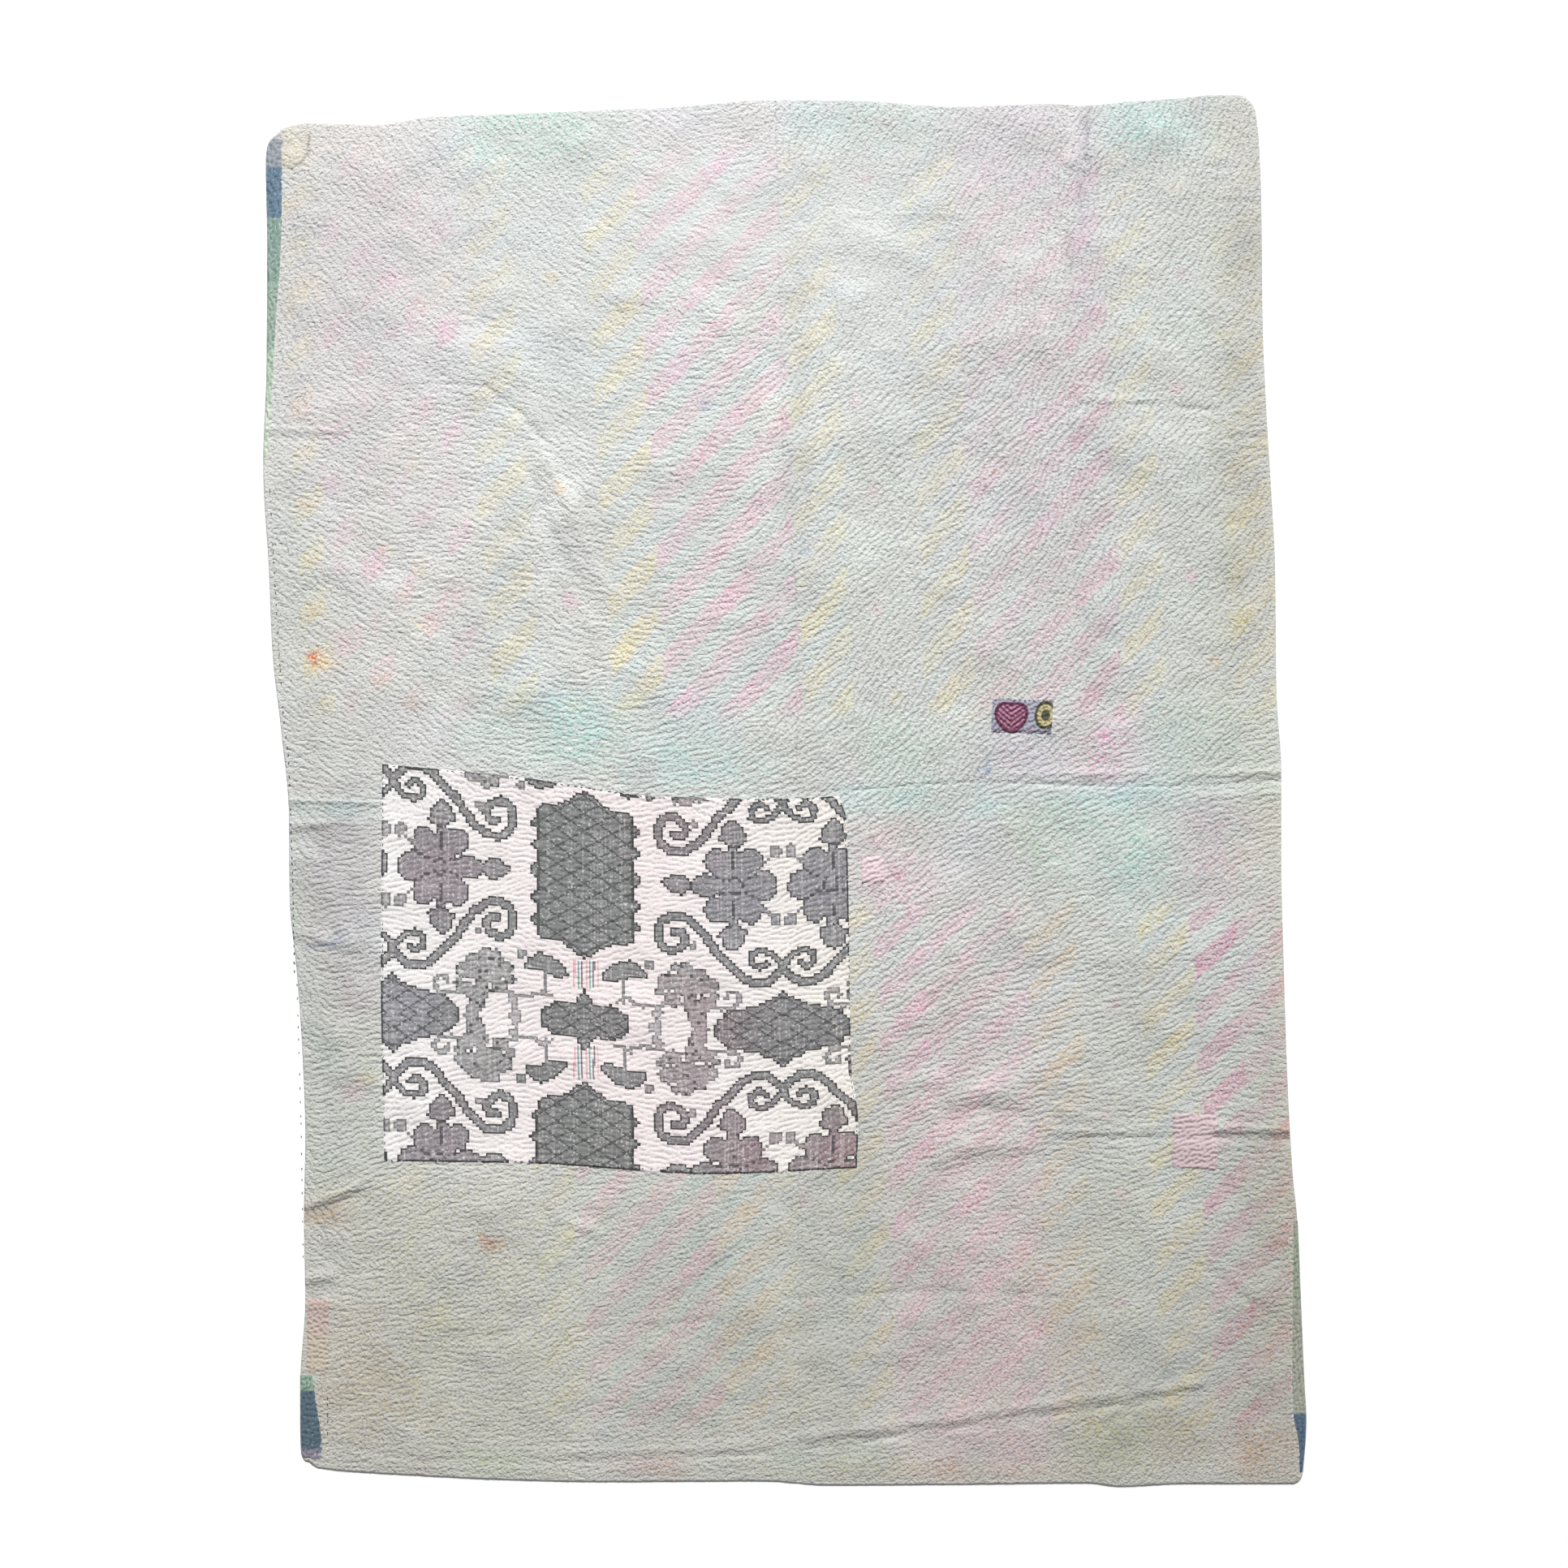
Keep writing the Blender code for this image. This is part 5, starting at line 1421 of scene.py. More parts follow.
class ShaderTree:
    """A material's nodes, added one after the other.

    Attributes:
        material: The material.
        nodes: Its nodes.
        links: Its links.
        shader: Its main shader.
    """

    def __init__(self, name: str, roughness: float, sheen: float) -> None:
        """Starts a matt material.

        Args:
            name: The material's name.
            roughness: How rough it is.
            sheen: How much the fibres at its surface catch the light.
        """
        self.material = bpy.data.materials.new(name)
        self.material.use_nodes = True
        self.nodes = self.material.node_tree.nodes
        self.links = self.material.node_tree.links
        self.shader = self.nodes["Principled BSDF"]
        self.shader.inputs["Roughness"].default_value = roughness
        self.shader.inputs["Sheen Weight"].default_value = sheen
        self.shader.inputs["Sheen Roughness"].default_value = 0.6
        self.shader.inputs["Specular IOR Level"].default_value = 0.2

    def add(self, kind: str, **settings: object) -> bpy.types.Node:
        """Adds a node and sets its properties."""
        node = self.nodes.new(kind)
        for key, value in settings.items():
            setattr(node, key, value)
        return node

    def set(self, socket: bpy.types.NodeSocket, value: object) -> None:
        """Links a socket to another one, or gives it a plain value."""
        if isinstance(value, bpy.types.NodeSocket):
            self.links.new(value, socket)
        else:
            socket.default_value = value

    def kept(self, name: str, colour: bool = False) -> bpy.types.NodeSocket:
        """What a piece keeps under a name for each point or face."""
        node = self.add("ShaderNodeAttribute", attribute_name=name)
        return node.outputs["Color" if colour else "Fac"]

    def math(self, operation: str, first: object, second: object = 0.0) -> bpy.types.NodeSocket:
        """The result of a sum on two numbers."""
        node = self.add("ShaderNodeMath", operation=operation)
        self.set(node.inputs[0], first)
        self.set(node.inputs[1], second)
        return node.outputs[0]

    def ramp(self, value: object, low: float, high: float, start: float, end: float,
             smooth: bool = False) -> bpy.types.NodeSocket:
        """A number drawn from one range to another, and kept within it."""
        kind = "SMOOTHSTEP" if smooth else "LINEAR"
        node = self.add("ShaderNodeMapRange", interpolation_type=kind)
        for socket, given in zip(node.inputs, (value, low, high, start, end)):
            self.set(socket, given)
        return node.outputs[0]

    def grain(self, scale: float, detail: float, stretch: Colour = (1.0, 1.0, 1.0),
              turn: float = 0.0) -> bpy.types.NodeSocket:
        """Noise that lies still on the piece.

        Args:
            scale: Blotches to a metre.
            detail: How many finer steps it has.
            stretch: How much closer it is each way.
            turn: How it is turned about the upright, in degrees.

        Returns:
            The noise, about 0.5.
        """
        place = self.add("ShaderNodeTexCoord").outputs["Object"]
        mapping = self.add("ShaderNodeMapping")
        self.set(mapping.inputs["Vector"], place)
        mapping.inputs["Rotation"].default_value = (0.0, 0.0, math.radians(turn))
        mapping.inputs["Scale"].default_value = stretch
        noise = self.add("ShaderNodeTexNoise")
        self.set(noise.inputs["Vector"], mapping.outputs[0])
        noise.inputs["Scale"].default_value = scale
        noise.inputs["Detail"].default_value = detail
        return noise.outputs["Fac"]

    def faded(self, colour: object, strength: object) -> bpy.types.NodeSocket:
        """A colour with its dye made weaker, or stronger where the strength is above 1."""
        node = self.add("ShaderNodeHueSaturation")
        self.set(node.inputs["Color"], colour)
        self.set(node.inputs["Saturation"], strength)
        return node.outputs[0]

    def scaled(self, colour: object, factor: object) -> bpy.types.NodeSocket:
        """A colour times a number."""
        node = self.add("ShaderNodeVectorMath", operation="SCALE")
        self.set(node.inputs[0], colour)
        self.set(node.inputs["Scale"], factor)
        return node.outputs[0]

    def blend(self, share: object, first: object, second: object) -> bpy.types.NodeSocket:
        """A colour between two."""
        node = self.add("ShaderNodeMix", data_type="RGBA")
        self.set(node.inputs["Factor"], share)
        self.set(node.inputs[6], first)
        self.set(node.inputs[7], second)
        return node.outputs[2]

    def bump(self, height: object, distance: float, strength: float) -> None:
        """Lets a height move the surface's light.

        Args:
            height: The height, in parts of the distance.
            distance: The height of one, in metres.
            strength: How much of it shows.
        """
        node = self.add("ShaderNodeBump")
        node.inputs["Strength"].default_value = strength
        node.inputs["Distance"].default_value = distance
        self.set(node.inputs["Height"], height)
        self.links.new(node.outputs[0], self.shader.inputs["Normal"])


@dataclass(frozen=True)
class WornCotton:
    """Washed, hand-quilted cotton that takes its colour from its points; its sewn valleys are
    darkened, partly as soil and partly as painted shade.

    Attributes:
        name: The material's name.
        roughness: How matt it is.
        sheen: How much its fibres catch the light.
        valley_soil_and_shade: How much darker the sewn valleys are.
        weave_dark: How uneven the weave's tone is.
        crumple: How high its fine crumples are, in metres.
    """

    name: str = "worn_striped_cotton"
    roughness: float = 0.92
    sheen: float = 0.05
    valley_soil_and_shade: float = 0.24
    weave_dark: float = 0.12
    crumple: float = 0.0019

    def material(self) -> bpy.types.Material:
        """Makes the material."""
        tree = ShaderTree(self.name, self.roughness, self.sheen)
        ridges = tree.kept("pucker")
        valley = tree.ramp(ridges, -0.10, -1.05, 0.0, 1.0, smooth=True)
        thread = tree.grain(620.0, 1.0, (1.0, 0.45, 1.0))
        weave = tree.grain(1500.0, 1.0)
        crumple = tree.grain(300.0, 2.0)
        patchy = tree.ramp(crumple, 0.35, 0.65, 0.4, 1.3)
        # Painted shade and soil in the sewn valleys: the colour darkens where the puckers dip
        shade = tree.math("MULTIPLY_ADD", tree.math("MULTIPLY", valley, patchy), -self.valley_soil_and_shade)
        shade.node.inputs[2].default_value = 1.0
        uneven = tree.ramp(weave, 0.25, 0.75, 1.0 - self.weave_dark, 1.0 + self.weave_dark)
        threads = tree.ramp(thread, 0.35, 0.65, 0.97, 1.03)
        mottle = tree.ramp(tree.grain(310.0, 1.0), 0.34, 0.66, 0.15, 2.15)
        dye = tree.faded(tree.kept("dye", colour=True), mottle)
        colour = tree.scaled(dye, shade)
        colour = tree.scaled(colour, uneven)
        colour = tree.scaled(colour, threads)
        tree.set(tree.shader.inputs["Base Color"], colour)
        fine = tree.math("MULTIPLY", weave, 0.25)
        height = tree.math("ADD", crumple, fine)
        height = tree.math("ADD", height, tree.math("MULTIPLY", valley, -0.35))
        height = tree.math("ADD", height, tree.grain(150.0, 1.0))
        tree.bump(height, self.crumple, 0.9)
        return tree.material


@dataclass(frozen=True)
class PlainCotton:
    """Quilted cotton whose colour is kept on its faces, as on the printed and pink patches; its sewn
    valleys are darkened, partly as soil and partly as painted shade.

    Attributes:
        name: The material's name.
        roughness: How matt it is.
        sheen: How much its fibres catch the light.
        valley_soil_and_shade: How much darker the sewn valleys are.
        weave: Threads to a metre.
        weave_dark: How uneven the weave's tone is.
        crumple: How high its fine crumples are, in metres.
    """

    name: str
    roughness: float = 0.90
    sheen: float = 0.04
    valley_soil_and_shade: float = 0.30
    weave: float = 900.0
    weave_dark: float = 0.14
    crumple: float = 0.0006

    def material(self) -> bpy.types.Material:
        """Makes the material."""
        tree = ShaderTree(self.name, self.roughness, self.sheen)
        valley = tree.ramp(tree.kept("pucker"), -0.15, -1.0, 0.0, 1.0, smooth=True)
        # Painted shade and soil in the sewn valleys: the colour darkens where the puckers dip
        shade = tree.math("MULTIPLY_ADD", valley, -self.valley_soil_and_shade)
        shade.node.inputs[2].default_value = 1.0
        weft = tree.grain(self.weave, 1.0, (0.35, 1.0, 1.0))
        warp = tree.grain(self.weave, 1.0, (1.0, 0.35, 1.0))
        crossed = tree.math("ADD", weft, warp)
        uneven = tree.ramp(crossed, 0.7, 1.3, 1.0 - self.weave_dark, 1.0 + self.weave_dark)
        colour = tree.scaled(tree.kept("dye", colour=True), shade)
        colour = tree.scaled(colour, uneven)
        tree.set(tree.shader.inputs["Base Color"], colour)
        crumple = tree.grain(320.0, 2.0)
        height = tree.math("ADD", crumple, tree.math("MULTIPLY", crossed, 0.2))
        height = tree.math("ADD", height, tree.math("MULTIPLY", valley, -0.5))
        tree.bump(height, self.crumple, 0.8)
        return tree.material


@dataclass(frozen=True)
class Thread:
    """Sewing thread of one colour.

    Attributes:
        name: The material's name.
        colour: Its colour, linear.
    """

    name: str
    colour: Colour

    def material(self) -> bpy.types.Material:
        """Makes the material."""
        tree = ShaderTree(self.name, 0.75, 0.1)
        twist = tree.grain(2600.0, 1.0)
        colour = tree.scaled((*self.colour,), tree.ramp(twist, 0.3, 0.7, 0.75, 1.25))
        tree.set(tree.shader.inputs["Base Color"], colour)
        tree.bump(twist, 0.0002, 0.5)
        return tree.material


@dataclass(frozen=True)
class PaleFloor:
    """A plain pale floor.

    Attributes:
        colour: Its colour, linear.
    """

    colour: Colour = (0.95, 0.95, 0.95)

    def material(self) -> bpy.types.Material:
        """Makes the material."""
        tree = ShaderTree("pale_floor", 0.8, 0.0)
        tone = tree.ramp(tree.grain(3.0, 1.0), 0.3, 0.7, 0.99, 1.0)
        tree.set(tree.shader.inputs["Base Color"], tree.scaled((*self.colour,), tone))
        return tree.material


def dress(item: bpy.types.Object, material: bpy.types.Material) -> None:
    """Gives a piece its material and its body.

    Args:
        item: The piece.
        material: Its material.
    """
    item.data.materials.clear()
    item.data.materials.append(material)
    MeshMaker.soften(item)
    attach(item, BODY)
    LOG.info("%s: %d faces", item.name, len(item.data.polygons))


def eased(cells: int, at_start: bool, at_end: bool, length: float) -> Array:
    """Shares from 0 to 1, drawn close together where a cloth turns down over the edge.

    Args:
        cells: How many cells there are.
        at_start: Whether the cloth turns down at the start.
        at_end: Whether it turns down at the end.
        length: The cloth's length, in metres.

    Returns:
        The shares, one more than the cells.
    """
    close = np.array((0.0, 0.00015, 0.0006, 0.0013, 0.0022)) / length
    start = close if at_start else np.array((0.0,))
    end = 1.0 - close[::-1] if at_end else np.array((1.0,))
    middle = np.linspace(start[-1], end[0], cells + 3 - len(start) - len(end))[1:-1]
    return np.concatenate((start, middle, end))


@dataclass(frozen=True)
class Panel:
    """One of the front's four widths of cloth.

    Attributes:
        name: Its name.
        edges: The edges between which it lies.
        columns: Cells across.
        rows: Cells up.
        outer_left: Whether its left edge is the quilt's.
        upper: Whether its top edge is the quilt's, and otherwise its bottom edge is.
    """

    name: str
    edges: Quarter
    columns: int
    rows: int
    outer_left: bool
    upper: bool


PANELS = (
    Panel("front_upper_left", Quarter(CROSS_FOLD, TOP_EDGE, LEFT_EDGE, CENTRE_SEAM),
          250, 396, True, True),
    Panel("front_upper_right", Quarter(CROSS_FOLD, TOP_EDGE, CENTRE_SEAM, RIGHT_EDGE),
          268, 370, False, True),
    Panel("front_lower_right", Quarter(BOTTOM_EDGE, CROSS_FOLD, CENTRE_SEAM, RIGHT_EDGE),
          248, 398, False, False),
    Panel("front_lower_left", Quarter(BOTTOM_EDGE, CROSS_FOLD, LEFT_EDGE, CENTRE_SEAM),
          250, 398, True, False),
)


@dataclass
class FrontCloths:
    """The four widths of striped cotton on the front.

    Attributes:
        shape: How the quilt lies.
        dye: The front's colours, with painted highlights, painted shade and painted light falloff
            among them.
        finish: The cotton.
        covered_in: How far inside the large patch's edge the cloth beneath is left plain.
        covered_low: The height to which the plain cloth there is pressed down.
    """

    shape: QuiltShape
    dye: FrontColours
    finish: WornCotton = WornCotton()
    covered_in: float = 0.012
    covered_low: float = 0.0022

    def build(self) -> list[bpy.types.Object]:
        """Makes the four cloths.

        Returns:
            The pieces.
        """
        material = self.finish.material()
        made = []
        for panel in PANELS:
            item = self.panel(panel)
            dress(item, material)
            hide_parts("quilt_body")
            made.append(item)
        return made

    def panel(self, panel: Panel) -> bpy.types.Object:
        """Makes one cloth, lying on the quilt's folds.

        Args:
            panel: Which one.

        Returns:
            The piece.
        """
        item = MeshMaker.grid(panel.name, panel.columns, panel.rows)
        flat = MeshMaker.points(item)
        column = np.round(flat[:, 0] * panel.columns).astype(int)
        row = np.round(flat[:, 1] * panel.rows).astype(int)
        across = eased(panel.columns, panel.outer_left, not panel.outer_left, 0.74)[column]
        up = eased(panel.rows, not panel.upper, panel.upper, 0.98)[row]
        x, y = panel.edges.place(across, up)
        z = self.shape.height(x, y)
        ridges = self.shape.ridges(x, y)
        colour = self.dye.at(x, y)
        covered = self.covered(x, y)
        z = np.where(covered, self.covered_low, z)
        x, y = self.shape.rounded(x, y)
        MeshMaker.shape(item, x, y, z)
        MeshMaker.number(item, "pucker", ridges)
        # The kept colours carry the painted highlights, painted shade and painted light falloff as
        # well as the dye
        MeshMaker.colours(item, "dye", colour)
        if covered.any():
            self.plain_under_patch(item, covered)
        return item

    def covered(self, x: Array, y: Array) -> Array:
        """Whether each place lies well under the large patch."""
        side = np.minimum(x - LARGE_LEFT.at(y), LARGE_RIGHT.at(y) - x)
        end = np.minimum(LARGE_TOP.at(x) - y, y - LARGE_BOTTOM.at(x))
        return np.minimum(side, end) > self.covered_in

    @staticmethod
    def plain_under_patch(item: bpy.types.Object, covered: Array) -> None:
        """Makes the cloth under the large patch one plain face.

        Args:
            item: The cloth.
            covered: Whether each of its points is under the patch.
        """
        MeshMaker.deselect()
        item.select_set(True)
        bpy.context.view_layer.objects.active = item
        bpy.ops.object.mode_set(mode="EDIT")
        bpy.ops.mesh.select_mode(type="FACE")
        bpy.ops.mesh.select_all(action="DESELECT")
        bpy.ops.object.mode_set(mode="OBJECT")
        corners = np.empty(len(item.data.polygons) * 4, int)
        item.data.polygons.foreach_get("vertices", corners)
        under = covered[corners.reshape(-1, 4)].all(axis=1)
        item.data.polygons.foreach_set("select", under)
        bpy.ops.object.mode_set(mode="EDIT")
        bpy.ops.mesh.dissolve_faces()
        bpy.ops.object.mode_set(mode="OBJECT")


class Chart:
    """The large patch's print, charted in steps as it is woven.

    A quarter of the repeat is drawn, and the rest mirrors it.

    Attributes:
        x: Each step's place across, from the middle of the tall cartouche.
        y: Each step's place along, from the same middle.
        ink: How dark each step is, from 0 to 1.
        line: Whether a step lies on a drawn line.
    """

    def __init__(self, x: Array, y: Array) -> None:
        """Starts an empty chart.

        Args:
            x: Each step's place across, in plan squares.
            y: Each step's place along.
        """
        self.x = x
        self.y = y
        self.ink = np.zeros(x.shape)
        self.line = np.zeros(x.shape, bool)

    def fill(self, inside: Array, ink: float) -> None:
        """Inks the steps inside a shape."""
        self.ink = np.where(inside, np.maximum(self.ink, ink), self.ink)

    def clear(self, inside: Array) -> None:
        """Takes the ink off the steps inside a shape."""
        self.ink = np.where(inside, 0.0, self.ink)

    def oval(self, x: float, y: float, wide: float, long: float, power: float = 2.5) -> Array:
        """The steps inside an oval, which is squarer for a higher power."""
        side, end = np.abs(self.x - x) / wide, np.abs(self.y - y) / long
        return side**power + end**power <= 1.0

    def ring(self, x: float, y: float, wide: float, long: float, width: float = 3.0) -> None:
        """Draws a dark line round an oval, inside it."""
        inner = self.oval(x, y, max(wide - width, 0.1), max(long - width, 0.1))
        self.line |= self.oval(x, y, wide, long) & ~inner

    def shape(self, corners: tuple[tuple[float, float], ...]) -> Array:
        """The steps inside a shape with straight sides."""
        inside = np.zeros(self.x.shape, bool)
        for (x0, y0), (x1, y1) in zip(corners, corners[1:] + corners[:1]):
            if y0 == y1:
                continue
            crosses = (y0 > self.y) != (y1 > self.y)
            inside ^= crosses & (self.x < x0 + (x1 - x0) * (self.y - y0) / (y1 - y0))
        return inside

    def band(self, points: tuple[tuple[float, float], ...], width: float) -> Array:
        """The steps on a band that follows points."""
        off = np.full(self.x.shape, 1e9)
        for start, end in zip(points, points[1:]):
            off = np.minimum(off, off_line(self.x, self.y, start, end))
        return off <= width / 2.0


@dataclass(frozen=True)
class Print:
    """The motifs of the print, in plan squares from the middle of the tall cartouche.

    Attributes:
        half_x: From one upright mirror line to the next.
        half_y: From one level mirror line to the next.
        lattice: The width and the length of the lattices' lozenges.
    """

    half_x: float = 240.0
    half_y: float = 183.0
    lattice: tuple[float, float] = (34.0, 22.0)

    tall: tuple[tuple[float, float], ...] = (
        (0, 107), (8, 101), (16, 96), (25, 89), (32, 86), (50, 85), (60, 79), (60, 0), (0, 0),
    )
    broad: tuple[tuple[float, float], ...] = (
        (241, 131), (232, 140), (226, 145), (212, 149), (211, 152), (197, 153), (190, 157),
        (172, 159), (168, 163), (165, 168), (160, 172), (157, 177), (157, 184), (241, 184),
    )
    short: tuple[tuple[float, float], ...] = (
        (0, 143), (5, 150), (9, 155), (11, 162), (17, 163), (32, 160), (44, 166), (52, 172),
        (55, 176), (53, 184), (0, 184),
    )
    scroll: tuple[tuple[float, float], ...] = (
        (240, 106), (230, 116), (221, 123), (204, 123), (190, 116), (176, 100), (161, 86),
        (150, 69), (139, 55), (124, 43), (107, 40), (93, 48), (88, 63), (93, 79), (105, 86),
        (118, 79), (123, 69), (118, 60), (109, 61),
    )
    curl: tuple[tuple[float, float], ...] = (
        (240, 104), (234, 94), (226, 86), (213, 82), (202, 87), (202, 98), (212, 105), (220, 99),
    )
    bud: tuple[tuple[float, float], ...] = (
        (179, 85), (188, 78), (194, 71), (195, 63), (198, 58), (194, 54), (188, 52), (185, 45),
        (173, 45), (171, 54), (163, 57), (160, 64), (165, 67), (166, 75), (172, 81),
    )
    side_bud: tuple[tuple[float, float], ...] = (
        (91, 0), (98, 6), (106, 12), (117, 14), (124, 10), (127, 4), (127, -4), (124, -10),
        (117, -14), (106, -12), (98, -6),
    )
    umbrella: tuple[tuple[float, float], ...] = (
        (19, 127), (22, 121), (36, 108), (50, 103), (54, 101), (61, 103), (70, 109), (76, 118),
        (74, 124), (66, 124), (52, 125), (38, 131), (26, 132),
    )

    def draw(self, chart: Chart) -> None:
        """Draws every motif on a chart.

        Args:
            chart: The chart.
        """
        self.draw_cartouches(chart)
        self.draw_flower(chart)
        chart.fill(chart.band(self.scroll, 11.6), 0.80)
        chart.fill(chart.band(self.curl, 9.0), 0.80)
        self.draw_small_flower(chart)
        chart.fill(chart.shape(self.umbrella), 0.85)
        chart.fill(chart.band(((48, 124), (47, 155)), 3.6), 0.55)
        chart.fill(chart.band(((56, 148), (38, 156)), 3.6), 0.55)
        chart.fill(chart.oval(132, 77, 5, 5), 0.6)
        chart.fill(chart.oval(79, 105, 6, 6), 0.7)

    def draw_cartouches(self, chart: Chart) -> None:
        """Draws the cartouches, and the teeth and the dark bars on the tall one's sides."""
        inside = chart.shape(self.tall) | chart.shape(self.broad) | chart.shape(self.short)
        teeth = np.zeros_like(inside)
        for middle in (3, 33, 60):
            teeth |= chart.shape(((59, middle - 9), (70, middle), (59, middle + 9)))
        chart.fill(inside | teeth, 0.90)
        side = (chart.x > 56.0) & (chart.x < 62.0) & (chart.y < 78.0) & inside
        chart.line |= side & ~chart.shape(((50, 24), (67, 33), (50, 42)))

    def lattice_lines(self, x: Array, y: Array) -> Array:
        """The places on the cartouches' slanting lattice lines."""
        wide, long = self.lattice
        rising = np.abs((x / wide + y / long) % 1.0 - 0.5)
        falling = np.abs((x / wide - y / long) % 1.0 - 0.5)
        return (rising < 0.055) | (falling < 0.055)

    def draw_flower(self, chart: Chart) -> None:
        """Draws the large flower, its buds and its stems."""
        petals = (
            (160, 31, 16, 17), (201, 30, 15, 19), (148, 2, 20, 13), (218, 3, 16, 16),
            (182, 0, 24, 25), (180, 30, 11, 16), (179, 44, 8, 8),
        )
        for petal in petals:
            chart.fill(chart.oval(*petal, 2.0), 0.74)
        chart.fill(chart.shape(self.bud), 0.74)
        chart.fill(chart.shape(self.side_bud), 0.74)
        chart.clear(chart.oval(169, 49, 3.4, 3.4) | chart.oval(190, 50, 2.4, 2.4))
        chart.ring(182, 0, 10, 11, 2.8)
        for start, end in (
            ((179, 42), (180, 20)), ((148, 16), (170, 7)), ((213, 18), (194, 8)),
            ((128, -9), (128, 9)), ((171, 52), (186, 50)),
        ):
            chart.line |= chart.band((start, end), 2.4)
        chart.fill(chart.band(((213, 26), (222, 34), (228, 40)), 3.6), 0.6)
        chart.fill(chart.oval(231, 44, 7.0, 9.0), 0.6)

    def draw_small_flower(self, chart: Chart) -> None:
        """Draws the ragged flower between the cartouches, its stem, chain and tendrils."""
        leaves = (
            (126, 136, 17, 19), (122, 110, 12, 12), (139, 116, 11, 11), (103, 124, 14, 12),
            (151, 128, 12, 11), (108, 146, 13, 10), (147, 150, 12, 10), (136, 166, 11, 16),
            (110, 106, 5, 6), (92, 138, 7, 6), (128, 156, 8, 8), (158, 142, 6, 6),
        )
        frayed = np.sin(chart.x * 12.99 + chart.y * 78.23) * 43758.5 % 1.0
        for leaf in leaves:
            chart.fill(chart.oval(*leaf, 1.8), 0.58)
        ragged = chart.ink == 0.58
        chart.ink = np.where(ragged, 0.50 + 0.26 * frayed, chart.ink)
        chart.line |= ragged & (frayed > 0.93)
        chart.clear(chart.oval(119, 147, 3, 4) | chart.oval(138, 141, 3, 3))
        curl = ((150, 152), (166, 156), (182, 154), (189, 145), (184, 136), (174, 136), (172, 144))
        chart.fill(chart.band(curl, 6.0), 0.55)
        chart.fill(chart.band(((88, 158), (84, 168), (90, 176), (87, 184)), 5.0), 0.42)
        chart.fill(chart.oval(90, 164, 6, 5) | chart.oval(86, 181, 8, 5), 0.45)
        chart.fill(chart.band(((54, 152), (70, 158), (96, 154)), 5.0), 0.50)
        chart.fill(chart.band(((140, 176), (142, 184)), 18.0), 0.6)


@dataclass(frozen=True)
class InkTint:
    """A tint of the print's ink about a place of the plan, and how far it reaches."""

    x: float
    y: float
    reach: float
    colour: Colour


INK_TINTS = (
    InkTint(544, 1075, 62, (1.06, 0.97, 1.03)), InkTint(718, 1080, 100, (0.985, 1.01, 0.995)),
    InkTint(905, 1100, 70, (0.99, 0.99, 1.03)), InkTint(1028, 1090, 60, (1.01, 0.98, 1.04)),
    InkTint(868, 1250, 50, (1.07, 0.96, 0.99)), InkTint(930, 1425, 50, (1.06, 0.93, 0.96)),
    InkTint(1040, 1420, 50, (1.09, 0.92, 0.95)), InkTint(500, 1245, 56, (1.16, 1.16, 1.20)),
    InkTint(845, 1025, 60, (1.05, 0.97, 1.00)), InkTint(860, 1350, 60, (1.06, 0.97, 1.00)),
    InkTint(545, 1410, 60, (1.04, 0.97, 1.01)), InkTint(735, 1400, 80, (0.985, 1.005, 0.985)),
)


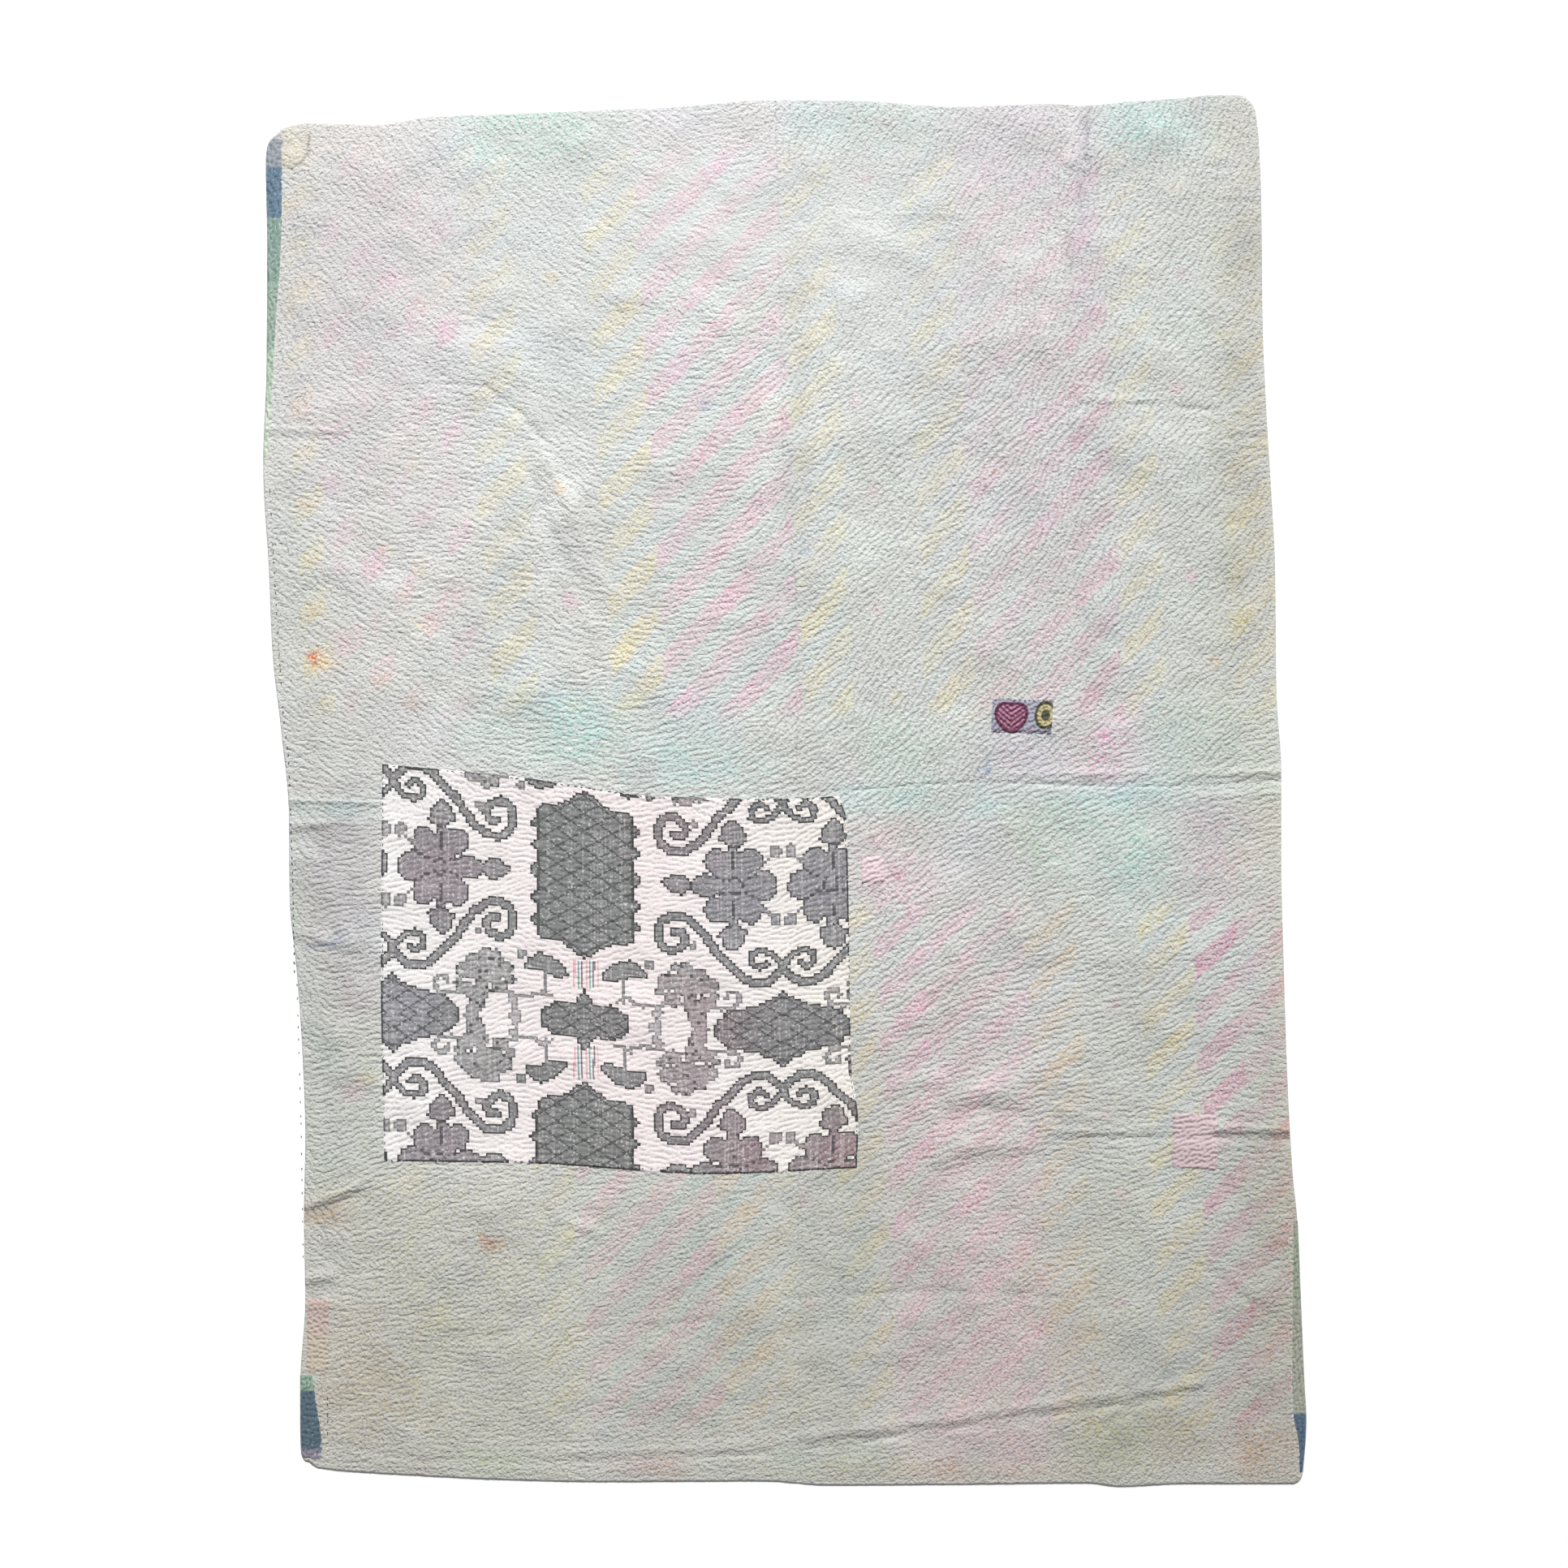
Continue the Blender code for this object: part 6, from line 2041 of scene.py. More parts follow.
@dataclass
class LargePatch:
    """The large printed patch, cut on a slant and sewn over the lower left of the front.

    Attributes:
        shape: How the quilt lies.
        columns: Cells across; each step of the print is two cells.
        rows: Cells up.
        ground: The tone of its unprinted cloth.
        ink: The tone of its ink.
        outline: The tone of the ink's stepped outlines.
        finish: The cotton.
        seed: The seed of its uneven ink.
    """

    shape: QuiltShape
    columns: int = 288
    rows: int = 242
    ground: Colour = (0.895, 0.885, 0.880)
    ink: Colour = (0.500, 0.498, 0.502)
    outline: Colour = (0.240, 0.238, 0.245)
    finish: PlainCotton = PlainCotton("printed_cotton", valley_soil_and_shade=0.22, weave=1100.0)
    seed: int = 23

    def build(self) -> bpy.types.Object:
        """Makes the patch.

        Returns:
            The piece.
        """
        item = MeshMaker.grid("print_patch", self.columns, self.rows)
        flat = MeshMaker.points(item)
        edges = Quarter(LARGE_BOTTOM, LARGE_TOP, LARGE_LEFT, LARGE_RIGHT)
        x, y = edges.place(flat[:, 0], flat[:, 1])
        z = patch_height(self.shape, x, y, flat[:, 0] * 0.69, flat[:, 1] * 0.56, 0.69, 0.56)
        MeshMaker.shape(item, x, y, z)
        MeshMaker.number(item, "pucker", self.shape.puckers.at(x, y))
        centres = np.empty(len(item.data.polygons) * 3)
        item.data.polygons.foreach_get("center", centres)
        centres = centres.reshape(-1, 3)
        order = self.cell_order(item)
        MeshMaker.colours(item, "dye", self.colours(centres, order), "FACE")
        dress(item, self.finish.material())
        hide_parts("print_patch_large")
        return item

    def cell_order(self, item: bpy.types.Object) -> Array:
        """The row and column of each face's cell, as one number."""
        corners = np.empty(len(item.data.polygons) * 4, int)
        item.data.polygons.foreach_get("vertices", corners)
        lowest = corners.reshape(-1, 4).min(axis=1)
        row, column = np.divmod(lowest, self.columns + 1)
        return row * self.columns + column

    def colours(self, centres: Array, order: Array) -> Array:
        """The colour of each face.

        Args:
            centres: The faces' middles.
            order: The cell of each face.

        Returns:
            The colours, linear, one row for each face.
        """
        cells = np.empty((self.rows * self.columns, 2))
        cells[order] = centres[:, :2]
        cells = cells.reshape(self.rows, self.columns, 2)
        across, down = to_plan(cells[..., 0], cells[..., 1])
        ink, edge, line = self.charted(across, down)
        source = np.random.default_rng(self.seed)
        tone = np.ones((self.rows, self.columns, 3)) * np.array(self.ground)
        middle = np.exp(-(((across - 760.0) / 190.0) ** 2))
        tone *= 1.0 + middle[..., None] * np.array((0.005, -0.028, -0.022))
        right = smoothstep(880.0, 1050.0, across)[..., None]
        tone *= 1.0 + right * np.array((0.0, -0.008, -0.030))
        inked = np.ones_like(tone) * np.array(self.ink)
        for tint in INK_TINTS:
            near = np.exp(-(((across - tint.x) ** 2 + (down - tint.y) ** 2) / tint.reach**2))
            inked *= 1.0 + near[..., None] * (np.array(tint.colour) - 1.0)
        streak = np.where(source.random((1, self.columns)) < 0.22, -0.22, 0.04)
        streak = streak + source.standard_normal((self.rows, 1)) * 0.06
        grain = source.standard_normal((self.rows, self.columns)) * 0.14
        share = np.clip(ink * (1.12 + streak + grain) + np.where(line, 0.30, 0.0), 0.0, 1.0)
        tone = mix(tone, inked, share[..., None])
        dark = np.clip(edge * 0.90 + np.where(line, 0.55, 0.0), 0.0, 1.0)
        tone = mix(tone, np.array(self.outline), dark[..., None])
        fleck = (source.random((self.rows, self.columns)) < 0.05) & (share > 0.4)
        tone = np.where(fleck[..., None], mix(tone, 0.85, 0.55), tone)
        tone = self.with_threads(tone, across, down)
        colour = np.ones((len(order), 4))
        colour[:, :3] = linear(tone.reshape(-1, 3))[order]
        return colour

    def charted(self, across: Array, down: Array) -> tuple[Array, Array, Array]:
        """The print at each cell.

        Args:
            across: The cells' places on the plan.
            down: The cells' places on the plan.

        Returns:
            The ink, how much of each cell is outline, and whether a line crosses it.
        """
        design = Print()
        chart = Chart(*self.folded(design, across[::2, ::2] + 1.0, down[::2, ::2] - 1.0))
        design.draw(chart)
        ink = chart.ink.repeat(2, axis=0).repeat(2, axis=1)[: self.rows, : self.columns]
        line = chart.line.repeat(2, axis=0).repeat(2, axis=1)[: self.rows, : self.columns]
        line = line | (design.lattice_lines(*self.folded(design, across, down)) & (ink > 0.85))
        inked = np.pad(ink > 0.0, 1)
        outside = np.ones_like(ink)
        for shift_y, shift_x in ((0, 1), (2, 1), (1, 0), (1, 2)):
            beside = inked[shift_y : shift_y + self.rows, shift_x : shift_x + self.columns]
            outside = np.minimum(outside, beside)
        edge = (ink > 0.0) & (outside < 1.0)
        return ink, np.where(edge, np.where(ink > 0.7, 1.0, 0.40), 0.0), line & (ink > 0.0)

    @staticmethod
    def folded(design: Print, across: Array, down: Array) -> tuple[Array, Array]:
        """Places of the plan, mirrored into the charted quarter of the print.

        Args:
            design: The print.
            across: Places across.
            down: Places down.

        Returns:
            The places from the middle of the tall cartouche, across and along.
        """
        bottom = PLAN_Y - LARGE_BOTTOM.at(from_plan(across, down)[0]) / PLAN_SQUARE
        stretch = 1.0 + 0.037 * (across - 475.0) / 490.0
        along = (bottom - down) * stretch - 2.0 * design.half_y
        side = np.where(across < 720.0, 240.0 / 235.0, 240.0 / 245.0) * (across - 720.0)
        half_x, half_y = design.half_x, design.half_y
        folded_x = np.abs((side + half_x) % (2.0 * half_x) - half_x)
        return folded_x, np.abs((along + half_y) % (2.0 * half_y) - half_y)

    @staticmethod
    def with_threads(tone: Array, across: Array, down: Array) -> Array:
        """Adds the coloured upright threads between the cartouches.

        Args:
            tone: The cells' tones.
            across: The cells' places on the plan.
            down: The cells' places on the plan.

        Returns:
            The tones with the threads.
        """
        between = ((down > 1184) & (down < 1218)) | ((down > 1289) & (down < 1330))
        threads = (
            (708.0, (0.86, 0.62, 0.66)), (713.0, (0.42, 0.56, 0.54)), (717.5, (0.35, 0.35, 0.38)),
            (723.0, (0.86, 0.62, 0.66)), (727.5, (0.42, 0.60, 0.56)), (732.0, (0.40, 0.40, 0.42)),
            (737.0, (0.88, 0.70, 0.72)),
        )
        for place, colour in threads:
            on = (np.abs(across - place) < 1.1) & between
            tone = np.where(on[..., None], mix(tone, np.array(colour), 0.75), tone)
        return tone


def patch_height(shape: QuiltShape, x: Array, y: Array, across: Array, up: Array,
                 width: float, length: float) -> Array:
    """The height of a patch that lies on the quilt and turns down at its edges.

    Args:
        shape: How the quilt lies.
        x: Places across, in metres.
        y: Places up, in metres.
        across: How far each place is from the patch's left edge.
        up: How far it is from its lower edge.
        width: The patch's width.
        length: The patch's length.

    Returns:
        The heights.
    """
    inside = np.minimum(np.minimum(across, width - across), np.minimum(up, length - up))
    turned = np.sqrt(np.clip(inside / 0.0022, 0.0, 1.0))
    fold = 0.35 * np.exp(-(((inside - 0.004) / 0.0025) ** 2))
    return shape.height(x, y) + 0.0001 + SHEET_LIFT * (turned + fold)


class PatchKind(Enum):
    """The cloths of the small patches."""

    PAISLEY = "paisley_cloth"
    PINK = "pink_cloth"
    CREAM = "cream_cloth"


@dataclass(frozen=True)
class SmallPatch:
    """A small four-sided patch.

    Attributes:
        node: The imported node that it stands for.
        name: Its own name.
        left: Its left side.
        right: Its right side.
        bottom: Its lower side.
        top: Its upper side.
        skew: How far it is out of square.
        kind: Its cloth.
        light: Its tone at the top.
        deep: Its tone at the bottom.
        cell: The size of its cells.
    """

    node: str
    name: str
    left: float
    right: float
    bottom: float
    top: float
    skew: float
    kind: PatchKind
    light: Colour
    deep: Colour
    cell: float = 0.0016


SMALL_PATCHES = (
    SmallPatch("print_patch_small", "paisley_patch", 0.301, 0.389, 0.083, 0.132, 0.003,
               PatchKind.PAISLEY, (0.640, 0.640, 0.695), (0.625, 0.625, 0.680), 0.0010),
    SmallPatch("pink_patch_middle", "pink_square", 0.111, 0.144, -0.134, -0.096, -0.002,
               PatchKind.PINK, (0.872, 0.797, 0.818), (0.862, 0.785, 0.806)),
    SmallPatch("pink_patch_right", "pink_oblong", 0.564, 0.629, -0.550, -0.470, 0.003,
               PatchKind.PINK, (0.790, 0.716, 0.729), (0.775, 0.700, 0.712)),
    SmallPatch("cream_patch_left", "cream_oblong", -0.694, -0.663, -0.845, -0.739, 0.002,
               PatchKind.CREAM, (0.742, 0.672, 0.645), (0.735, 0.695, 0.635)),
)


@dataclass
class SmallPatches:
    """The four small patches.

    Attributes:
        shape: How the quilt lies.
    """

    shape: QuiltShape

    def build(self) -> list[bpy.types.Object]:
        """Makes the patches.

        Returns:
            The pieces.
        """
        finishes = {kind: PlainCotton(kind.value, valley_soil_and_shade=0.24).material() for kind in PatchKind}
        made = []
        for patch in SMALL_PATCHES:
            item = self.patch(patch)
            dress(item, finishes[patch.kind])
            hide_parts(patch.node)
            made.append(item)
        return made

    def patch(self, patch: SmallPatch) -> bpy.types.Object:
        """Makes one patch.

        Args:
            patch: Which one.

        Returns:
            The piece.
        """
        width, length = patch.right - patch.left, patch.top - patch.bottom
        columns, rows = round(width / patch.cell), round(length / patch.cell)
        item = MeshMaker.grid(patch.name, columns, rows)
        flat = MeshMaker.points(item)
        across, up = flat[:, 0], flat[:, 1]
        x = mix(patch.left, patch.right, across) + patch.skew * (up - 0.5)
        y = mix(patch.bottom, patch.top, up) - patch.skew * (across - 0.5)
        z = patch_height(self.shape, x, y, across * width, up * length, width, length)
        MeshMaker.shape(item, x, y, z)
        MeshMaker.number(item, "pucker", self.shape.puckers.at(x, y))
        tone = mix(np.array(patch.deep), np.array(patch.light), smoothstep(0.35, 0.7, up)[:, None])
        if patch.kind is PatchKind.PAISLEY:
            tone = self.paisley(tone, across * width / PLAN_SQUARE, up * length / PLAN_SQUARE)
        colour = np.ones((len(tone), 4))
        colour[:, :3] = linear(tone)
        MeshMaker.colours(item, "dye", colour)
        return item

    @staticmethod
    def paisley(tone: Array, across: Array, up: Array) -> Array:
        """The printed patch's maroon heart and its ochre leaf, cut off at the right.

        Args:
            tone: The tones of its ground.
            across: Places from its left side, in plan squares.
            up: Places from its lower side.

        Returns:
            The tones with the print.
        """
        maroon, rose = np.array((0.40, 0.22, 0.31)), np.array((0.70, 0.50, 0.59))
        ochre, olive = np.array((0.72, 0.68, 0.52)), np.array((0.32, 0.32, 0.26))
        dx, dy = np.abs(across - 24.0), up - 20.0
        heart = np.hypot(dx / 19.0, (dy - 0.35 * dx + 3.0) / 18.0)
        chevron = np.cos(2.0 * math.pi * (dy - 0.8 * dx) / 6.4)
        tone = np.where((heart < 1.0)[:, None], np.where((chevron > 0.0)[:, None], maroon, rose), tone)
        tone = np.where((np.abs(heart - 1.0) < 0.10)[:, None], maroon, tone)
        leaf = np.hypot((across - 66.0) / 13.0, (up - 23.0) / 17.0)
        tone = np.where((leaf < 1.0)[:, None], ochre, tone)
        tone = np.where((np.abs(leaf - 0.92) < 0.13)[:, None], olive, tone)
        tone = np.where((leaf < 0.42)[:, None], olive, tone)
        frame_line = (np.abs(up - 3.0) < 1.2) & (across > 2.0)
        return np.where(frame_line[:, None], mix(tone, maroon, 0.45), tone)


@dataclass(frozen=True)
class StripBand:
    """A stripe of the back cloth along the quilt's edge: where it starts and its tone."""

    start: float
    tone: Colour
    flecked: float = 0.0


@dataclass(frozen=True)
class EdgeStrip:
    """A stretch of the back cloth that turns over the quilt's edge.

    Attributes:
        node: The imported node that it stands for.
        name: Its own name.
        edge: The edge that it turns over.
        side: 1 where the quilt lies to the right of the edge, -1 to its left.
        rows: Pairs of the place along the edge and the strip's width there.
        bands: Its stripes, from the bottom up.
    """

    node: str
    name: str
    edge: Curve
    side: float
    rows: Curve
    bands: tuple[StripBand, ...]


EDGE_STRIPS = (
    EdgeStrip("back_edge_left_upper", "turned_edge_upper_left", LEFT_EDGE, 1.0,
              Curve(((0.480, 0.008), (0.560, 0.009), (0.677, 0.013), (0.780, 0.020),
                     (0.913, 0.024), (0.950, 0.018))), (
        StripBand(0.480, (0.800, 0.840, 0.780), 0.3),
        StripBand(0.560, (0.690, 0.770, 0.690), 0.3),
        StripBand(0.640, (0.585, 0.670, 0.620), 0.4),
        StripBand(0.740, (0.530, 0.625, 0.588), 0.4),
        StripBand(0.832, (0.405, 0.495, 0.570), 0.2),
        StripBand(0.906, (0.590, 0.610, 0.640), 0.2),
    )),
    EdgeStrip("back_edge_left_lower", "turned_edge_lower_left", LEFT_EDGE, 1.0,
              Curve(((-0.972, 0.030), (-0.950, 0.031), (-0.880, 0.022), (-0.850, 0.018))), (
        StripBand(-0.972, (0.520, 0.500, 0.545), 0.6),
        StripBand(-0.958, (0.340, 0.412, 0.458)),
        StripBand(-0.872, (0.520, 0.620, 0.540), 0.6),
    )),
    EdgeStrip("back_edge_right_lower", "turned_edge_lower_right", RIGHT_EDGE, -1.0,
              Curve(((-0.992, 0.005), (-0.950, 0.010), (-0.905, 0.019), (-0.780, 0.014),
                     (-0.625, 0.006))), (
        StripBand(-0.992, (0.330, 0.400, 0.480)),
        StripBand(-0.906, (0.585, 0.597, 0.542), 0.3),
        StripBand(-0.740, (0.560, 0.600, 0.530), 0.2),
    )),
)


@dataclass
class EdgeStrips:
    """The three stretches of back cloth on the front.

    Attributes:
        shape: How the quilt lies.
        columns: Cells across.
        cell: The length of a cell.
        lap: How far they stand out past the front's edge.
        seed: The seed of their flecks.
    """

    shape: QuiltShape
    columns: int = 14
    cell: float = 0.0021
    lap: float = 0.0006
    seed: int = 5

    def build(self) -> list[bpy.types.Object]:
        """Makes the strips.

        Returns:
            The pieces.
        """
        material = PlainCotton("back_cotton", valley_soil_and_shade=0.30, weave=700.0).material()
        made = []
        for strip in EDGE_STRIPS:
            item = self.strip(strip)
            dress(item, material)
            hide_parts(strip.node)
            made.append(item)
        return made

    def strip(self, strip: EdgeStrip) -> bpy.types.Object:
        """Makes one strip.

        Args:
            strip: Which one.

        Returns:
            The piece.
        """
        low, high = strip.rows.rows[0][0], strip.rows.rows[-1][0]
        rows = round((high - low) / self.cell)
        item = MeshMaker.grid(strip.name, self.columns, rows)
        flat = MeshMaker.points(item)
        in_from_edge = flat[:, 0] if strip.side > 0.0 else 1.0 - flat[:, 0]
        y = mix(low, high, flat[:, 1])
        width = strip.rows.at(y)
        near = in_from_edge**1.6 * width
        inside = np.clip(near - self.lap, 0.0, None)
        x = strip.edge.at(y) + strip.side * (near - self.lap)
        x_in = strip.edge.at(y) + strip.side * inside
        turned = np.sqrt(np.clip((width - near) / 0.0015, 0.0, 1.0))
        ends = np.minimum(y - low, high - y)
        turned = turned * np.sqrt(np.clip(ends / 0.0020, 0.0, 1.0))
        over = np.sqrt(np.clip(near / 0.0024, 0.0, 1.0))
        z = self.shape.height(x_in, y) * over + RIM_LOW * (1.0 - over)
        z = z + over * (0.0001 + 0.7 * SHEET_LIFT * turned)
        x, y_in = self.shape.rounded(x, y)
        MeshMaker.shape(item, x, y_in, z)
        MeshMaker.number(item, "pucker", self.shape.puckers.at(x, y))
        MeshMaker.colours(item, "dye", self.colours(strip, x, y))
        return item

    def colours(self, strip: EdgeStrip, x: Array, y: Array) -> Array:
        """The strip's stripes.

        Args:
            strip: The strip.
            x: Places across, in metres.
            y: Places up, in metres.

        Returns:
            The colours, linear.
        """
        source = np.random.default_rng(self.seed)
        tone = np.ones((len(y), 3)) * np.array(strip.bands[0].tone)
        flecked = np.full(len(y), strip.bands[0].flecked)
        for band in strip.bands[1:]:
            share = smoothstep(band.start - 0.002, band.start + 0.002, y)
            tone = mix(tone, np.array(band.tone), share[:, None])
            flecked = mix(flecked, band.flecked, share)
        fleck = smoothstep(0.6, 1.4, source.standard_normal(len(y))) * flecked
        tone = mix(tone, 0.86, fleck[:, None])
        streak = np.cos(2.0 * math.pi * (x + 0.15 * y) / 0.0062)
        tone = tone * (1.0 - 0.10 * smoothstep(0.2, 1.0, streak))[:, None]
        colour = np.ones((len(y), 4))
        colour[:, :3] = linear(tone)
        return colour


@dataclass
class BackCloth:
    """The blue and green cloth under the quilt, seen only from below and at the edge.

    Attributes:
        shape: How the quilt lies.
        columns: Cells across.
        rows: Cells up.
        lowest: The height of its lowest points.
        ripple: How high its puckers are.
        band: The length of one repeat of its stripes.
    """

    shape: QuiltShape
    columns: int = 190
    rows: int = 250
    lowest: float = 0.0001
    ripple: float = 0.0008
    band: float = 0.300

    def build(self) -> bpy.types.Object:
        """Makes the cloth.

        Returns:
            The piece.
        """
        item = MeshMaker.grid("back_cloth", self.columns, self.rows)
        flat = MeshMaker.points(item)
        edges = Quarter(BOTTOM_EDGE, TOP_EDGE, LEFT_EDGE, RIGHT_EDGE)
        x, y = edges.place(flat[:, 0], flat[:, 1])
        ridges = self.shape.puckers.at(x, y)
        inside = self.shape.inside(x, y)
        ripple = self.ripple * np.clip(0.5 - 0.5 * ridges, 0.0, 1.0)
        z = self.lowest + ripple * smoothstep(0.0, 0.006, inside)
        lift = np.zeros_like(z)
        for swelling in SWELLINGS:
            lift += swelling.rise(x, y)
        z += np.clip(lift - BACK_SLACK, 0.0, None) * smoothstep(0.0, 0.03, inside)
        z = np.where(inside < 0.001, RIM_LOW, z)
        x, y = self.shape.rounded(x, y)
        MeshMaker.shape(item, x, y, z)
        MeshMaker.number(item, "pucker", -ridges)
        MeshMaker.colours(item, "dye", self.colours(x, y))
        MeshMaker.deselect()
        item.select_set(True)
        bpy.context.view_layer.objects.active = item
        bpy.ops.object.mode_set(mode="EDIT")
        bpy.ops.mesh.select_all(action="SELECT")
        bpy.ops.mesh.flip_normals()
        bpy.ops.object.mode_set(mode="OBJECT")
        finish = PlainCotton("back_striped_cotton", valley_soil_and_shade=0.25, weave=700.0)
        dress(item, finish.material())
        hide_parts("quilt_body")
        return item

    def colours(self, x: Array, y: Array) -> Array:
        """Broad stripes of blue and green with rows of small white dots between them.

        Args:
            x: Places across, in metres.
            y: Places up, in metres.

        Returns:
            The colours, linear.
        """
        blue, green = np.array((0.380, 0.485, 0.610)), np.array((0.570, 0.690, 0.600))
        share = (y / self.band) % 1.0
        is_green = smoothstep(0.36, 0.37, share) * smoothstep(0.97, 0.96, share)
        tone = mix(blue, green, is_green[:, None])
        line = np.minimum(np.abs(share - 0.36), np.abs(share - 0.97)) * self.band
        dots = smoothstep(0.008, 0.004, line) * smoothstep(0.2, 0.6, np.cos(x / 0.0075 * math.pi))
        tone = mix(tone, 0.86, dots[:, None])
        colour = np.ones((len(y), 4))
        colour[:, :3] = linear(tone)
        return colour


@dataclass(frozen=True)
class StitchRow:
    """A row of stitches on the plan: its points, the pitch, and each stitch's length and width."""

    points: tuple[tuple[float, float], ...]
    pitch: float
    length: float
    width: float
    turn: float
    dark: bool


STITCH_ROWS = (
    StitchRow(((347, 856), (351, 895), (356, 935), (358, 990), (361, 1080), (363, 1200)),
              9.5, 3.8, 1.6, 0.0, True),
    StitchRow(((333, 600), (338, 700), (344, 800), (347, 846)), 13.0, 4.2, 1.2, 0.0, True),
    StitchRow(((366, 1210), (371, 1380), (374, 1560)), 16.0, 3.2, 1.2, 0.0, True),
    StitchRow(((404, 1716), (404, 1770)), 11.0, 4.5, 1.5, 4.0, True),
    StitchRow(((347, 205), (349, 330), (346, 420)), 9.0, 4.5, 1.1, 0.0, False),
    StitchRow(((398, 1706), (401, 1740), (404, 1800)), 9.0, 4.5, 1.1, 0.0, False),
    StitchRow(((1590, 1520), (1592, 1740), (1598, 1810)), 9.0, 4.5, 1.1, 0.0, False),
    StitchRow(((474, 944), (539, 949), (635, 959), (722, 971), (800, 983), (878, 987),
               (1032, 983)), 8.0, 4.6, 1.1, 0.0, True),
    StitchRow(((472, 946), (472, 1110), (472, 1290), (475, 1428)), 8.0, 3.6, 1.1, 0.0, True),
    StitchRow(((1036, 988), (1041, 1014), (1046, 1150), (1047, 1315), (1056, 1384),
               (1055, 1436)), 8.0, 3.8, 1.1, 0.0, True),
    StitchRow(((478, 1430), (647, 1431), (740, 1437), (878, 1445), (1050, 1438)),
              8.0, 3.4, 1.0, 0.0, True),
    StitchRow(((1223, 863), (1296, 864)), 6.0, 3.0, 1.0, 0.0, True),
    StitchRow(((1223, 902), (1296, 901)), 6.0, 3.0, 1.0, 0.0, True),
    StitchRow(((1446, 1374), (1446, 1438)), 8.0, 3.4, 1.0, 0.0, False),
    StitchRow(((1499, 1374), (1499, 1438)), 8.0, 3.4, 1.0, 0.0, False),
    StitchRow(((404, 1600), (404, 1688)), 8.0, 3.4, 1.0, 0.0, False),
    StitchRow(((382, 1672), (384, 1680)), 6.0, 6.0, 1.6, 30.0, True),
)


@dataclass
class HandStitches:
    """The separate stitches that can be seen: along the edges and round the patches.

    Attributes:
        shape: How the quilt lies.
        seed: The seed of their uneven places.
    """

    shape: QuiltShape
    seed: int = 31

    def build(self) -> list[bpy.types.Object]:
        """Makes the dark and the pale stitches, each as one piece.

        Returns:
            The pieces.
        """
        dark = Thread("dark_thread", (0.055, 0.060, 0.075))
        pale = Thread("pale_thread", (0.66, 0.65, 0.60))
        made = []
        for name, is_dark, thread in (("dark_stitches", True, dark), ("pale_stitches", False, pale)):
            item = self.stitches(name, [row for row in STITCH_ROWS if row.dark == is_dark])
            dress(item, thread.material())
            made.append(item)
        return made

    def stitches(self, name: str, rows: list[StitchRow]) -> bpy.types.Object:
        """Makes all stitches of some rows from copies of one.

        Args:
            name: The piece's name.
            rows: The rows.

        Returns:
            The piece.
        """
        MeshMaker.deselect()
        bpy.ops.mesh.primitive_uv_sphere_add(segments=8, ring_count=5, radius=0.5)
        item = bpy.context.active_object
        item.name = name
        item.data.name = name
        one = MeshMaker.points(item)
        places = self.places(rows)
        bpy.ops.object.modifier_add(type="ARRAY")
        modifier = item.modifiers[-1]
        modifier.count = len(places)
        modifier.relative_offset_displace = (2.0, 0.0, 0.0)
        bpy.ops.object.modifier_apply(modifier=modifier.name)
        turned = []
        for x, y, turn, length, width in places:
            local_x = one[:, 0] * length
            local_y = one[:, 1] * width
            out_x = x + local_x * math.cos(turn) - local_y * math.sin(turn)
            out_y = y + local_x * math.sin(turn) + local_y * math.cos(turn)
            turned.append(np.stack((out_x, out_y, one[:, 2] * 0.0009), axis=-1))
        points = np.concatenate(turned)
        seat = self.shape.height(points[:, 0], points[:, 1]) + 0.0004
        over_patch = self.on_patch(points[:, 0], points[:, 1])
        seat = seat + np.where(over_patch, SHEET_LIFT, 0.0)
        MeshMaker.shape(item, points[:, 0], points[:, 1], points[:, 2] + seat)
        return item

    @staticmethod
    def on_patch(x: Array, y: Array) -> Array:
        """Whether each place lies on a patch."""
        side = np.minimum(x - LARGE_LEFT.at(y), LARGE_RIGHT.at(y) - x)
        end = np.minimum(LARGE_TOP.at(x) - y, y - LARGE_BOTTOM.at(x))
        found = np.minimum(side, end) > -0.001
        for patch in SMALL_PATCHES:
            across = np.minimum(x - patch.left, patch.right - x)
            found |= np.minimum(across, np.minimum(y - patch.bottom, patch.top - y)) > -0.001
        return found

    def places(self, rows: list[StitchRow]) -> list[tuple[float, float, float, float, float]]:
        """Where each stitch lies.

        Args:
            rows: The rows of stitches.

        Returns:
            For each stitch its middle, its turn, its length and its width, in metres and radians.
        """
        source = np.random.default_rng(self.seed)
        found = []
        for row in rows:
            for (x0, y0), (x1, y1) in zip(row.points, row.points[1:]):
                run = math.hypot(x1 - x0, y1 - y0)
                count = max(1, round(run / row.pitch))
                for index in range(count):
                    share = (index + 0.5 + 0.25 * source.uniform(-1.0, 1.0)) / count
                    if source.random() < 0.12:
                        continue
                    x, y = from_plan(mix(x0, x1, share), mix(y0, y1, share))
                    turn = -math.atan2(y1 - y0, x1 - x0) + math.radians(row.turn)
                    turn += 0.20 * source.standard_normal()
                    length = row.length * source.uniform(0.75, 1.2) * PLAN_SQUARE
                    found.append((x, y, turn, length, row.width * PLAN_SQUARE))
        return found


